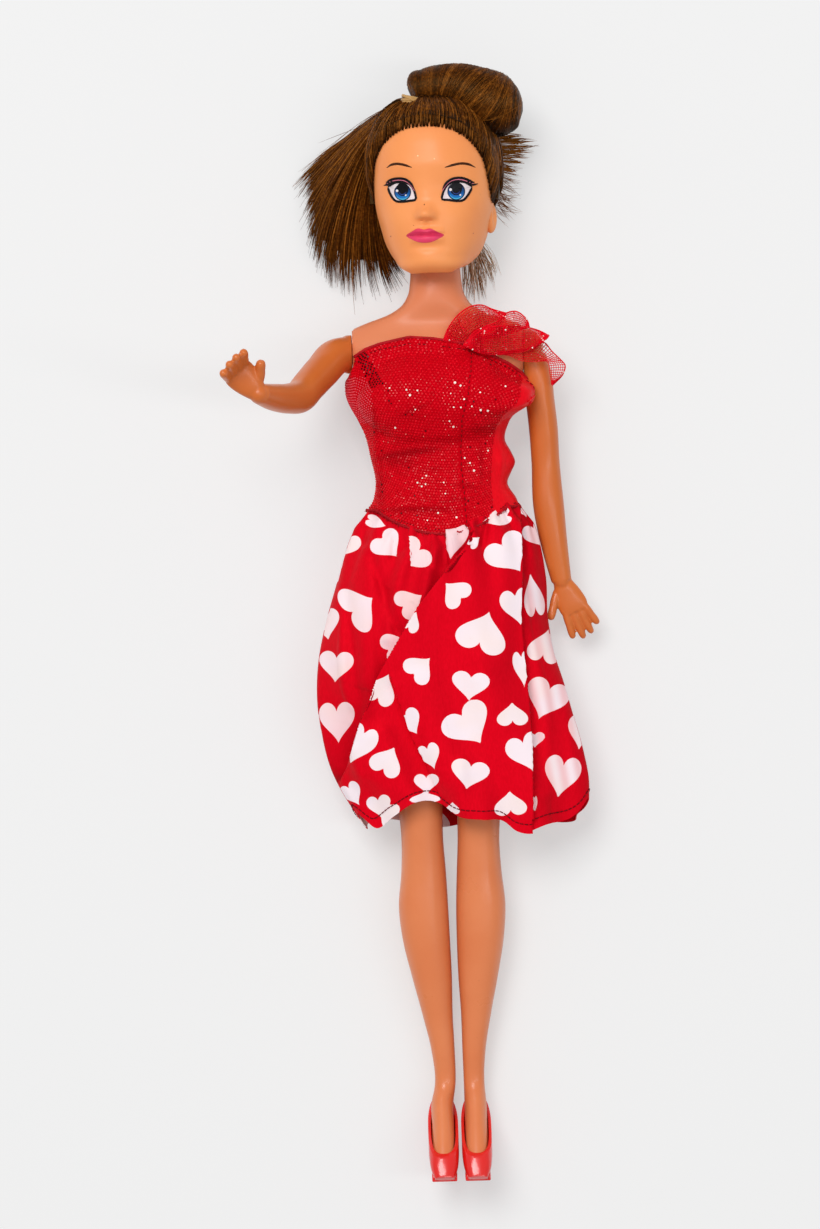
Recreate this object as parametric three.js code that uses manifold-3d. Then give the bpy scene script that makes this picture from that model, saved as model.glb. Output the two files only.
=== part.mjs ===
// A lying 11.5 inch fashion doll: hollow torso, snap-in arms, pinned legs, a head on a ball knob,
// rooted hair, a dress of panels with a gathered skirt, and a pair of pumps.
// X runs to the doll's left, Y up the body from the hip axis, Z up from the table, in millimetres.
import * as THREE from 'three';
import { mergeVertices } from 'three/addons/utils/BufferGeometryUtils.js';
import Module from 'manifold-3d';

const wasm = await Module();
wasm.setup();

// Driving sizes
const clearance = 0.3;
const seamGap = 0.2;
const overrun = 4;
const bodyHeight = 16;
const roundSides = 16;
const bodySides = 26;
const hollowSides = 16;
const limbSides = 12;
const fingerSides = 6;
const limbPower = 2;
const hairPower = 2.2;

// Torso
const torsoLength = 86;
const shoulderHalfWidth = 23;
const torsoHalfDepth = 12.5;
const torsoWall = 1.7;
const torsoPower = 2.3;
const hollowFloor = 16;
const neckHollowDrop = 18.8;
const hollowCeiling = torsoLength - neckHollowDrop;
const bustHalfWidth = 9.6;
const bustHalfHeight = 10.4;
const bustHalfDepth = 8.4;
const bustSpacing = 8.6;
const bustDrop = 35.5;
const bustRise = 6.8;
// Rows of height, half width, front depth and back depth, as shares of the sizes above.
const torsoShares = [
  [-0.151, 0.26, 0.48, 0.48],
  [-0.093, 0.61, 0.84, 0.84],
  [0, 0.76, 0.98, 0.98],
  [0.093, 0.805, 1, 1],
  [0.186, 0.765, 0.9, 0.88],
  [0.279, 0.69, 0.77, 0.69],
  [0.372, 0.66, 0.74, 0.61],
  [0.465, 0.72, 0.8, 0.67],
  [0.558, 0.83, 0.95, 0.8],
  [0.628, 0.92, 0.94, 0.85],
  [0.698, 1.08, 0.8, 0.8],
  [0.767, 1.14, 0.66, 0.7],
  [0.805, 1.03, 0.52, 0.55],
  [0.83, 0.81, 0.48, 0.5],
  [0.849, 0.635, 0.51, 0.53],
  [0.874, 0.475, 0.56, 0.59],
  [0.907, 0.387, 0.61, 0.62],
  [0.953, 0.352, 0.61, 0.61],
  [1, 0.326, 0.59, 0.59],
];

// Neck knob
const knobShaftRadius = 3;
const knobFlangeRadius = 5.2;
const knobFlangeThickness = 1.5;
const knobBallRadius = 5;
const knobBallRise = 7.5;
const knobBallY = torsoLength + knobBallRise;

// Hips
const crotchHalfWidth = 2.7;
const hipRadius = 11.6;
const hipBackCut = 1;
const hipOuter = 17.3;
const pinRadius = 2.4;
const pinBulbRadius = 3.2;
const pinHalfLength = 9.6;
const pinBulbLength = 3;
const pinLeadShare = 0.6;
const legNeckLength = 3.2;
// Rows of distance from the crotch and radius, as shares of the hip's width and radius.
const hipDiscShares = [
  [0, 0],
  [0, 0.94],
  [0.06, 1],
  [0.66, 1],
  [0.83, 0.9],
  [0.95, 0.68],
  [1, 0.4],
  [1, 0],
];

// Legs: rows of distance down the leg, half width and half depth
const legLength = 136;
const thighHalfWidth = 8;
const thighHalfDepth = 10.8;
const ankleHeight = 7.3;
const kneeSpacing = { right: 7.9, left: 7.3 };
const ankleSpacing = { right: 3.6, left: 4.3 };
const footSpacing = 4.5;
const hipSpacing = 10.2;
// Rows of length, sideways travel from hip to knee, travel from knee to ankle, half width, half depth.
const legShares = [
  [0.02, 0, 0, 0.86, 0.98],
  [0.1, 0.12, 0, 0.96, 0.98],
  [0.2, 0.3, 0, 0.95, 0.92],
  [0.32, 0.58, 0, 0.88, 0.81],
  [0.43, 0.85, 0, 0.76, 0.69],
  [0.51, 1, 0, 0.71, 0.6],
  [0.57, 1, 0.02, 0.76, 0.59],
  [0.64, 1, -0.05, 0.84, 0.62],
  [0.7, 1, 0.06, 0.81, 0.61],
  [0.78, 1, 0.36, 0.68, 0.53],
  [0.86, 1, 0.66, 0.51, 0.41],
  [0.93, 1, 0.93, 0.4, 0.32],
  [1, 1, 1, 0.355, 0.29],
];

// Feet and pumps: the foot runs down and forward from the ankle along its own line
const footLength = 25;
const footSlope = 28;
const heelDepth = 9.6;
const footHalfWidth = 3;
// Rows of travel along the foot, top, bottom and half width, as shares of length, heel depth and width.
const footShares = [
  [0, 0, 0.66, 0.96],
  [0.12, 0, 1, 1],
  [0.38, 0, 0.98, 1],
  [0.56, 0, 0.8, 1],
  [0.79, 0.02, 0.56, 0.97],
  [0.94, 0.06, 0.33, 0.8],
  [1, 0.12, 0.22, 0.5],
];
const footPower = 2.4;
const shoeWall = 0.8;
const throatDrop = 17.6;
const counterDrop = 5.8;
const soleThickness = 0.5;
const soleToeShare = 0.22;
const soleBallShares = [0.68, 0.68];
const heelBackShare = 0.14;
const heelFrontShares = [0.4, 1];
const heelTipLength = 2.2;
const heelHalfWidth = 1.6;
const soleHalfWidth = 3.4;

// Arms
const shoulderDrop = 23;
const shoulderY = torsoLength - shoulderDrop;
const shoulderRadius = 5.6;
const armStubRadius = 2.4;
const armKnobRadius = 3.6;
const armKnobThickness = 1.7;
const armKnobLeadShare = 0.7;
const armLength = 64;
const armHalfWidth = 4.6;
// Rows of radius and reach of the rounded shoulder, as shares of its radius.
const shoulderDomeShares = [
  [0, 0],
  [1, 0],
  [1.02, 0.36],
  [0.9, 0.75],
  [0.6, 1.08],
  [0, 1.25],
];
// Rows of outward, downward and forward travel, half width and half depth, in shares.
const leftArmShares = [
  [0.257, 0.03, 0, 0.86, 0.92],
  [0.382, 0.1, -0.004, 0.89, 0.95],
  [0.485, 0.22, -0.015, 0.85, 0.9],
  [0.566, 0.34, -0.03, 0.85, 0.86],
  [0.603, 0.47, -0.045, 0.83, 0.82],
  [0.662, 0.66, -0.05, 0.91, 0.82],
  [0.824, 0.84, -0.06, 0.77, 0.7],
  [1, 0.98, -0.07, 0.6, 0.53],
];
const rightArmShares = [
  [0.03, 0.01, 0.01, 0.9, 0.96],
  [0.06, 0.04, 0.05, 1, 1],
  [0.128, 0.11, 0.156, 1, 1],
  [0.183, 0.164, 0.266, 0.96, 0.98],
  [0.216, 0.195, 0.35, 0.94, 0.96],
  [0.26, 0.203, 0.45, 0.87, 0.87],
  [0.322, 0.2, 0.578, 0.78, 0.76],
  [0.375, 0.19, 0.695, 0.62, 0.58],
];

// Hands
const palmLength = 9.2;
const palmHalfWidth = 3.7;
const palmHalfThickness = 1.55;
const fingerLength = 8.6;
const fingerRadius = 1.02;
const thumbLength = 7.2;
const knuckleShare = 0.92;
// Place of the thumb along and across the palm, and its radius, in shares.
const thumbShares = [0.3, 0.78, 1.15];
// The way that the palm, its thumb side, the fingers and the thumb of each hand point, in shares.
const handWayShares = {
  left: [
    [0.4, -0.91, -0.05],
    [-0.91, -0.4, 0],
    [0.42, -0.88, -0.2],
    [-0.25, -0.95, 0.1],
  ],
  right: [
    [-0.65, 0.69, 0.32],
    [0.73, 0.68, 0],
    [-0.12, 0.36, 0.93],
    [0.1, 0.8, 0.5],
  ],
};
// Rows of travel, half width and half thickness of the palm, in shares.
const palmShares = [
  [-0.16, 0.66, 1.2],
  [0.15, 0.76, 1.14],
  [0.5, 0.95, 1],
  [0.85, 1, 0.86],
  [1, 0.94, 0.7],
];
// Rows of place across the palm, length and spread of each finger, in shares.
const fingerShares = [
  [0.74, 0.86, 0.16],
  [0.25, 1, 0.04],
  [-0.25, 0.96, -0.05],
  [-0.74, 0.78, -0.18],
];
// Rows of travel and radius along one finger, in shares.
const fingerFormShares = [
  [-0.12, 0.85],
  [0.3, 1],
  [0.62, 0.94],
  [0.86, 0.84],
  [0.97, 0.6],
  [1, 0.3],
];

// Head
const chinDrop = 2;
const chinY = torsoLength - chinDrop;
const headLength = 46;
const headTop = chinY + headLength;
const headHalfWidth = 16.2;
const headHalfDepth = 17;
const headForward = 2.5;
const headTurn = -9;
const headWall = 1.8;
const headPower = 2.15;
const neckRecessRadius = 9.9;
const neckRecessRise = 4.2;
const neckRecessTop = chinY + neckRecessRise;
const neckRimThickness = 1.5;
const neckRimRadius = 4.3;
// Rows of height, half width, front and back, as shares of the head's height, width and depth.
const headShares = [
  [0, 0.3, 0.72, -0.32],
  [0.025, 0.47, 0.82, 0.06],
  [0.087, 0.6, 0.89, 0.7],
  [0.174, 0.765, 0.92, 0.87],
  [0.261, 0.885, 0.94, 0.93],
  [0.37, 0.96, 0.955, 0.97],
  [0.5, 1, 0.98, 0.98],
  [0.63, 1, 1, 0.98],
  [0.761, 0.95, 0.96, 0.94],
  [0.87, 0.81, 0.81, 0.8],
  [0.957, 0.57, 0.55, 0.55],
  [1, 0.3, 0.28, 0.28],
];
const noseDrop = 22;
const noseLength = 11.4;
const noseHalfWidth = 2.5;
const noseRise = 2.4;
// Rows of travel down the nose, half width and rise over the face, in shares.
const noseShares = [
  [0, 0.42, 0.02],
  [0.34, 0.46, 0.3],
  [0.66, 0.62, 0.72],
  [0.86, 1, 1],
  [0.96, 0.94, 0.8],
  [1, 0.6, 0.3],
];
const earRise = 14.8;
const earHalfHeight = 4.4;
const earHalfDepth = 2.4;
const earReach = 1.9;
const lipsRiseFromChin = 9.4;
const lipsY = chinY + lipsRiseFromChin;
const lipsHalfWidth = 4.6;
const lipsHalfHeight = 1.5;
const lipsHalfDepth = 1.9;
const lipsRise = 0.8;

// Hair
const hairThickness = 2.4;
const hairCapRise = 9;
const hairCapBottom = chinY + hairCapRise;
const hairlineDrop = 6.4;
const hairlineTop = headTop - hairlineDrop;
const hairlineHalfWidth = 15.6;
const hairlineFront = 3;
const hairlineMiddleRise = 24;
const hairlineMiddle = chinY + hairlineMiddleRise;
const earClearRise = 20;
const earClearTop = chinY + earClearRise;
const earClearBack = 4;
const bunRadius = 8.6;
const bunHeight = 5;
const bandRadius = 2.9;
const bandThickness = 0.8;
const tailHalfWidth = 12;
const tailHalfThickness = 5.6;
const tailLength = 54;
const tailRootX = -9.4;
const tailRootRise = 2.4;
const tailRootY = headTop + tailRootRise;
const tuftHalfWidth = 10;
const tuftHalfThickness = 2.8;
// Rows of place across, up and forward and of radius, as shares of the bun's radius.
const bunShares = [
  [-0.66, 0.02, 0, 0.14],
  [-0.56, 0.06, 0, 0.42],
  [-0.2, 0.12, 0.02, 0.6],
  [0.35, 0.14, 0.04, 0.72],
  [0.95, 0.02, 0.05, 0.86],
  [1.55, -0.26, 0.04, 0.98],
  [2.05, -0.46, 0, 1],
  [2.5, -0.52, -0.04, 0.82],
  [2.78, -0.52, -0.06, 0.46],
  [2.88, -0.52, -0.06, 0.15],
];
// Rows of sideways, downward and backward travel, half width and half thickness, in shares.
const tailShares = [
  [0.021, -0.015, -0.021, 0.17, 0.36],
  [-0.07, 0.05, 0.07, 0.2, 0.42],
  [-0.17, 0.14, 0.15, 0.44, 0.66],
  [-0.25, 0.29, 0.23, 0.66, 0.86],
  [-0.27, 0.5, 0.294, 0.82, 1],
  [-0.24, 0.72, 0.294, 0.92, 1],
  [-0.19, 0.9, 0.294, 0.84, 0.9],
  [-0.17, 0.98, 0.294, 0.7, 0.86],
];
// Rows of each tuft's place across and above the chin, half width and half thickness, in shares.
const sideTuftShares = [
  [1.05, 2.8, 0.86, 1],
  [1.75, 3.05, 0.6, 0.9],
  [2.2, 3.2, 0.34, 0.6],
  [2.4, 3.25, 0.14, 0.3],
];
const napeTuftShares = [
  [0.52, 0.95, 0.36, 0.9],
  [0.74, 0.35, 0.4, 0.9],
  [0.96, -0.2, 0.32, 0.6],
  [1.06, -0.45, 0.16, 0.3],
];

// Dress
const clothThickness = 0.9;
const bodiceBackDrop = 35;
const bodiceBackTop = torsoLength - bodiceBackDrop;
const waistY = 21;
const waistDip = 7;
const princessSeam = 6.2;
const sideSeam = 14.4;
const closureWidth = 5;
const closureThickness = 0.8;
const closureTopInset = 4;
const closureTop = bodiceBackTop - closureTopInset;
const closureBottomInset = 3;
const closureBottom = waistY + closureBottomInset;
// The front neckline, as shares of the shoulder's half width and the shoulder's height.
const necklineShares = [
  [-1.2, 0.93],
  [-0.99, 0.984],
  [-0.68, 1.03],
  [-0.33, 1.059],
  [0.3, 1.025],
  [0.65, 0.967],
  [0.94, 0.905],
  [1.2, 0.8],
];

// Skirt
const skirtThickness = 0.9;
const skirtLength = 83;
const skirtHalfWidth = 35;
const skirtTopHeight = 31;
const skirtSides = 42;
const skirtPower = 1.9;
const foldDepth = 1.3;
const foldCount = 9;
const foldDrift = 1.6;
const hemWave = 1.6;
const hemWaveCount = 5;
const dipPower = 3;
const hemSlope = 0.1;
const flatDepth = 0.5;
// Rows of travel down the skirt, left edge, right edge, top and lift off the table, in shares.
const skirtShares = [
  [0.03, -0.625, 0.63, 0.94, 0.3],
  [0.09, -0.7, 0.7, 0.965, 0.12],
  [0.17, -0.78, 0.75, 0.985, 0],
  [0.26, -0.845, 0.782, 1, 0],
  [0.37, -0.92, 0.79, 0.99, 0],
  [0.49, -0.975, 0.84, 0.965, 0],
  [0.61, -0.985, 0.92, 0.94, 0],
  [0.73, -0.95, 0.98, 0.91, 0],
  [0.85, -0.88, 1.03, 0.88, 0],
  [0.94, -0.78, 1.05, 0.85, 0],
  [1, -0.7, 1.04, 0.83, 0],
];

// The left arm spreads until its hand hangs beside the skirt; the right arm spreads by its own length
const handRowShare = 0.815;
const handGap = 3.48;
const armSpread = {
  left: skirtHalfWidth * handRowShare + handGap - shoulderHalfWidth - clearance,
  right: armLength,
};

// Shoulder ruffle
const ruffleThickness = 0.7;
const ruffleLift = 1.3;
const ruffleWave = 1;
const ruffleWaves = 7;
const ruffleColumns = 22;
const ruffleRows = 5;
// Rows of bottom edge and top edge, each across and up, as shares of the shoulder's width and height.
const ruffleEdgeShares = [
  [0.08, 1.055, 0.1, 1.075],
  [0.2, 1.043, 0.17, 1.125],
  [0.33, 1.02, 0.34, 1.18],
  [0.5, 0.998, 0.52, 1.195],
  [0.68, 0.979, 0.8, 1.154],
  [0.92, 0.96, 1.07, 1.092],
  [1.14, 0.935, 1.28, 1.055],
  [1.28, 0.87, 1.4, 0.985],
  [1.34, 0.84, 1.45, 0.93],
];

// Materials
function material(color, roughness) {
  return new THREE.MeshStandardMaterial({ color, roughness, metalness: 0 });
}
const materials = {
  body: material(0xda805b, 0.45),
  leg: material(0xdb7b51, 0.38),
  arm: material(0xd07a3c, 0.4),
  face: material(0xfda161, 0.45),
  plastic: material(0xd8d2c4, 0.5),
  hair: material(0x4e2c0c, 0.5),
  band: material(0xb58a4a, 0.6),
  foil: material(0xc8101c, 0.45),
  satin: material(0xdd081e, 0.4),
  mesh: material(0xd5223c, 0.6),
  shoe: material(0xf0201e, 0.3),
  strip: material(0xd0202a, 0.8),
};

const vector = (x, y, z) => new THREE.Vector3(x, y, z);
const sideSign = { right: -1, left: 1 };

// Geometry from points and triangles, turned to face outward
function closedGeometry(points, triangles) {
  let volume = 0;
  for (const [a, b, c] of triangles) {
    volume += points[a].dot(vector(0, 0, 0).crossVectors(points[b], points[c]));
  }
  const geometry = new THREE.BufferGeometry();
  const ordered = volume < 0 ? triangles.map(([a, b, c]) => [a, c, b]) : triangles;
  const numbers = points.flatMap((point) => point.toArray());
  geometry.setAttribute('position', new THREE.Float32BufferAttribute(numbers, 3));
  geometry.setIndex(ordered.flat());
  geometry.computeVertexNormals();
  return geometry;
}

// The walls between successive rings of equal counts
function ringWalls(ringCount, sides, wraps) {
  const triangles = [];
  const last = wraps ? ringCount : ringCount - 1;
  for (let i = 0; i < last; i += 1) {
    for (let j = 0; j < sides; j += 1) {
      const a = i * sides + j;
      const b = i * sides + ((j + 1) % sides);
      const c = ((i + 1) % ringCount) * sides + j;
      const d = ((i + 1) % ringCount) * sides + ((j + 1) % sides);
      triangles.push([a, b, d], [a, d, c]);
    }
  }
  return triangles;
}

// A solid through rings of points, closed by a fan over each end
function loft(rings) {
  const sides = rings[0].length;
  const points = rings.flat();
  const triangles = ringWalls(rings.length, sides, false);
  for (const [ringIndex, flip] of [[0, true], [rings.length - 1, false]]) {
    const centre = vector(0, 0, 0);
    rings[ringIndex].forEach((point) => centre.add(point));
    points.push(centre.divideScalar(sides));
    for (let j = 0; j < sides; j += 1) {
      const a = ringIndex * sides + j;
      const b = ringIndex * sides + ((j + 1) % sides);
      triangles.push(flip ? [points.length - 1, b, a] : [points.length - 1, a, b]);
    }
  }
  return closedGeometry(points, triangles);
}

// A shell whose rings run down the outside and back up the inside
function shell(rings) {
  return closedGeometry(rings.flat(), ringWalls(rings.length, rings[0].length, true));
}

// A thick sheet between two grids of points, with walls along its borders
function thickSheet(upper, lower) {
  const rows = upper.length;
  const columns = upper[0].length;
  const points = [...upper.flat(), ...lower.flat()];
  const at = (layer, i, j) => layer * rows * columns + i * columns + j;
  const triangles = [];
  for (let i = 0; i < rows - 1; i += 1) {
    for (let j = 0; j < columns - 1; j += 1) {
      triangles.push([at(0, i, j), at(0, i, j + 1), at(0, i + 1, j + 1)]);
      triangles.push([at(0, i, j), at(0, i + 1, j + 1), at(0, i + 1, j)]);
      triangles.push([at(1, i, j), at(1, i + 1, j + 1), at(1, i, j + 1)]);
      triangles.push([at(1, i, j), at(1, i + 1, j), at(1, i + 1, j + 1)]);
    }
  }
  const border = [];
  for (let j = 0; j < columns - 1; j += 1) border.push([0, j]);
  for (let i = 0; i < rows - 1; i += 1) border.push([i, columns - 1]);
  for (let j = columns - 1; j > 0; j -= 1) border.push([rows - 1, j]);
  for (let i = rows - 1; i > 0; i -= 1) border.push([i, 0]);
  border.forEach(([i, j], place) => {
    const [k, l] = border[(place + 1) % border.length];
    triangles.push([at(0, i, j), at(1, k, l), at(0, k, l)]);
    triangles.push([at(0, i, j), at(1, i, j), at(1, k, l)]);
  });
  return closedGeometry(points, triangles);
}

// One rounded section: a superellipse with its own reach above and below the centre
function section(centre, across, up, halfWidth, above, below, sides, power) {
  const ring = [];
  for (let i = 0; i < sides; i += 1) {
    const angle = (i / sides) * Math.PI * 2;
    const c = Math.cos(angle);
    const s = Math.sin(angle);
    const x = Math.sign(c) * Math.abs(c) ** (2 / power) * halfWidth;
    const z = Math.sign(s) * Math.abs(s) ** (2 / power) * (s > 0 ? above : below);
    ring.push(centre.clone().addScaledVector(across, x).addScaledVector(up, z));
  }
  return ring;
}

const xAxis = vector(1, 0, 0);
const yAxis = vector(0, 1, 0);
const zAxis = vector(0, 0, 1);

// A form along the body, through level sections; grow moves its surface out or in
function bodyForm(rows, grow, forward, power, sides) {
  const rings = rows.map((row, i) => {
    const end = i === 0 ? -grow : i === rows.length - 1 ? grow : 0;
    const centre = vector(0, row.y + end, forward + (row.front - row.back) / 2);
    const half = (row.front + row.back) / 2 + grow;
    return section(centre, xAxis, zAxis, row.halfWidth + grow, half, half, sides, power);
  });
  return toSolid(loft(rings));
}

// A limb through stations along a path, its sections square to the path
function limb(stations, reference, sides, power) {
  const rings = stations.map((station, i) => {
    const before = stations[Math.max(i - 1, 0)].at;
    const after = stations[Math.min(i + 1, stations.length - 1)].at;
    const tangent = station.facing ?? after.clone().sub(before).normalize();
    const across = vector(0, 0, 0).crossVectors(reference, tangent).normalize();
    const up = vector(0, 0, 0).crossVectors(tangent, across).normalize();
    return section(station.at, across, up, station.halfWidth, station.above, station.below, sides, power);
  });
  return toSolid(loft(rings));
}

// Solids for cutting and joining
function toSolid(geometry) {
  const bare = geometry.clone();
  for (const name of Object.keys(bare.attributes)) {
    if (name !== 'position') bare.deleteAttribute(name);
  }
  const merged = mergeVertices(bare);
  const mesh = new wasm.Mesh({
    numProp: 3,
    vertProperties: new Float32Array(merged.attributes.position.array),
    triVerts: new Uint32Array(merged.index.array),
  });
  return new wasm.Manifold(mesh);
}

function toGeometry(solid) {
  const mesh = solid.getMesh();
  const geometry = new THREE.BufferGeometry();
  geometry.setAttribute('position', new THREE.Float32BufferAttribute(mesh.vertProperties, mesh.numProp));
  geometry.setIndex([...mesh.triVerts]);
  geometry.computeVertexNormals();
  return geometry;
}

function boxSolid(low, high) {
  const size = high.clone().sub(low);
  const geometry = new THREE.BoxGeometry(size.x, size.y, size.z);
  geometry.translate((low.x + high.x) / 2, (low.y + high.y) / 2, (low.z + high.z) / 2);
  return toSolid(geometry);
}

// A revolved profile of [radius, travel] points, with its axis along X or Y
function revolved(profile, axis, sides = roundSides) {
  const geometry = new THREE.LatheGeometry(profile.map(([r, t]) => new THREE.Vector2(r, t)), sides);
  if (axis === 'x') geometry.rotateZ(-Math.PI / 2);
  return toSolid(geometry);
}

// A rod from one travel to another along X or Y
function rod(radius, from, to, axis) {
  return revolved([[0, from], [radius, from], [radius, to], [0, to]], axis);
}

function ellipsoid(centre, radii, sides = roundSides) {
  const geometry = new THREE.SphereGeometry(1, sides, sides / 2);
  geometry.scale(radii.x, radii.y, radii.z);
  geometry.translate(centre.x, centre.y, centre.z);
  return toSolid(geometry);
}

// A prism of an outline in X and Y between two heights
function prism(outline, low, high) {
  const shape = new THREE.Shape(outline.map(([x, y]) => new THREE.Vector2(x, y)));
  const geometry = new THREE.ExtrudeGeometry(shape, { depth: high - low, bevelEnabled: false });
  geometry.translate(0, 0, low);
  return toSolid(geometry);
}

// A prism of an outline in Y and Z, as thick along X as two half widths about a centre
function prismAcross(outline, centre, halfWidth) {
  const shape = new THREE.Shape(outline.map(([y, z]) => new THREE.Vector2(y, z)));
  const geometry = new THREE.ExtrudeGeometry(shape, { depth: halfWidth * 2, bevelEnabled: false });
  geometry.translate(0, 0, -halfWidth);
  geometry.applyMatrix4(new THREE.Matrix4().makeBasis(yAxis, zAxis, xAxis));
  geometry.translate(centre, 0, 0);
  return toSolid(geometry);
}

const wide = torsoLength + legLength;
const doll = new THREE.Group();
const groups = {};
for (const name of ['body', 'head', 'arms', 'legs', 'dress']) {
  groups[name] = new THREE.Group();
  doll.add(groups[name]);
}

function addPiece(name, solid, kind, group) {
  const mesh = new THREE.Mesh(toGeometry(solid), materials[kind]);
  mesh.name = name;
  groups[group].add(mesh);
}

// Torso
const torsoRows = torsoShares.map(([y, width, front, back]) => ({
  y: y * torsoLength,
  halfWidth: width * shoulderHalfWidth,
  front: front * torsoHalfDepth,
  back: back * torsoHalfDepth,
}));

function torsoForm(grow, sides = bodySides) {
  let form = bodyForm(torsoRows, grow, bodyHeight, torsoPower, sides);
  for (const sign of [-1, 1]) {
    const centre = vector(sign * bustSpacing, torsoLength - bustDrop, bodyHeight + bustRise);
    const reach = vector(bustHalfWidth + grow, bustHalfHeight + grow, bustHalfDepth + grow);
    form = form.add(ellipsoid(centre, reach));
  }
  const side = shoulderHalfWidth + Math.min(grow, 0);
  return form.intersect(boxSolid(vector(-side, -wide, -wide), vector(side, wide, wide)));
}

// Space that each leg needs: its round top, the swing to the front and the swing to the back
function hipSpace(sign) {
  const inner = crotchHalfWidth;
  const outer = shoulderHalfWidth + overrun;
  const low = Math.min(sign * inner, sign * outer);
  const high = Math.max(sign * inner, sign * outer);
  const disc = rod(hipRadius + clearance, low, high, 'x').translate([0, 0, bodyHeight]);
  const front = boxSolid(vector(low, -wide, bodyHeight), vector(high, hipRadius + clearance, wide));
  const back = boxSolid(vector(low, -wide, -wide), vector(high, hipBackCut, bodyHeight));
  return disc.add(front).add(back);
}

function torsoShells() {
  const insideHalfWidth = shoulderHalfWidth - torsoWall;
  const socket = rod(armKnobRadius + clearance, -insideHalfWidth, insideHalfWidth, 'x');
  const hollow = torsoForm(-torsoWall, hollowSides)
    .intersect(boxSolid(vector(-wide, hollowFloor, -wide), vector(wide, hollowCeiling, wide)))
    .add(socket.translate([0, shoulderY, bodyHeight]));
  let body = torsoForm(0).subtract(hollow);
  body = body.subtract(hipSpace(-1)).subtract(hipSpace(1));
  body = body.subtract(rod(pinRadius + clearance, -wide, wide, 'x').translate([0, 0, bodyHeight]));
  const armHole = rod(armStubRadius + clearance, -wide, wide, 'x').translate([0, shoulderY, bodyHeight]);
  body = body.subtract(armHole);
  const neckBore = rod(knobShaftRadius + clearance, hollowCeiling - overrun, wide, 'y');
  body = body.subtract(neckBore.translate([0, 0, bodyHeight]));
  const half = seamGap / 2;
  const front = boxSolid(vector(-wide, -wide, bodyHeight + half), vector(wide, wide, wide));
  const back = boxSolid(vector(-wide, -wide, -wide), vector(wide, wide, bodyHeight - half));
  addPiece('torso_front_shell', body.intersect(front), 'body', 'body');
  addPiece('torso_back_shell', body.intersect(back), 'body', 'body');
}

// The pin that the legs swing on, with a bulb inside each leg
function hipPin() {
  const bulbStart = pinHalfLength - pinBulbLength;
  const profile = [
    [0, -pinHalfLength],
    [pinBulbRadius * pinLeadShare, -pinHalfLength],
    [pinBulbRadius, -pinHalfLength + pinBulbLength / 2],
    [pinRadius, -bulbStart],
    [pinRadius, bulbStart],
    [pinBulbRadius, pinHalfLength - pinBulbLength / 2],
    [pinBulbRadius * pinLeadShare, pinHalfLength],
    [0, pinHalfLength],
  ];
  addPiece('hip_pin', revolved(profile, 'x').translate([0, 0, bodyHeight]), 'plastic', 'body');
}

// The knob that joins head and neck: a flange in the torso, a shaft and a ball in the head
function neckKnob() {
  const flangeTop = hollowCeiling - clearance;
  const flange = rod(knobFlangeRadius, flangeTop - knobFlangeThickness, flangeTop, 'y');
  const shaft = rod(knobShaftRadius, flangeTop - knobFlangeThickness, knobBallY, 'y');
  const ball = ellipsoid(vector(0, knobBallY, 0), vector(knobBallRadius, knobBallRadius, knobBallRadius));
  const knob = flange.add(shaft).add(ball).translate([0, 0, bodyHeight]);
  addPiece('neck_knob', knob, 'plastic', 'head');
}

// Legs
const slope = THREE.MathUtils.degToRad(footSlope);
const footAlong = vector(0, -Math.cos(slope), Math.sin(slope));
const footDown = vector(0, -Math.sin(slope), -Math.cos(slope));
const ankleHalfDepth = legShares.at(-1)[4] * thighHalfDepth;

function footStart(side) {
  return vector(sideSign[side] * footSpacing, -legLength, ankleHeight + ankleHalfDepth);
}

function footStations(side, grow, straight) {
  const start = footStart(side);
  return footShares.map(([along, top, bottom, width], i) => {
    const deepest = straight && i === 0 ? footShares[1] : [along, top, bottom, width];
    const upper = deepest[1] * heelDepth - grow;
    const lower = deepest[2] * heelDepth + grow;
    let travel = along * footLength;
    if (straight && i === 0) travel = -heelDepth;
    if (i === footShares.length - 1) travel += grow;
    const middle = (upper + lower) / 2;
    return {
      at: start.clone().addScaledVector(footAlong, travel).addScaledVector(footDown, middle),
      facing: footAlong,
      halfWidth: deepest[3] * footHalfWidth + grow,
      above: (lower - upper) / 2,
      below: (lower - upper) / 2,
    };
  });
}

function legStations(side) {
  const sign = sideSign[side];
  const rows = legShares.map(([down, toKnee, toAnkle, width, depth]) => {
    const upper = THREE.MathUtils.lerp(hipSpacing, kneeSpacing[side], toKnee);
    const x = upper + (ankleSpacing[side] - kneeSpacing[side]) * toAnkle;
    return {
      at: vector(sign * x, -down * legLength, THREE.MathUtils.lerp(bodyHeight, ankleHeight, down)),
      facing: vector(0, -1, 0),
      halfWidth: width * thighHalfWidth,
      above: depth * thighHalfDepth,
      below: depth * thighHalfDepth,
    };
  });
  return [...rows, ...footStations(side, 0, false).slice(1)];
}

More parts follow.
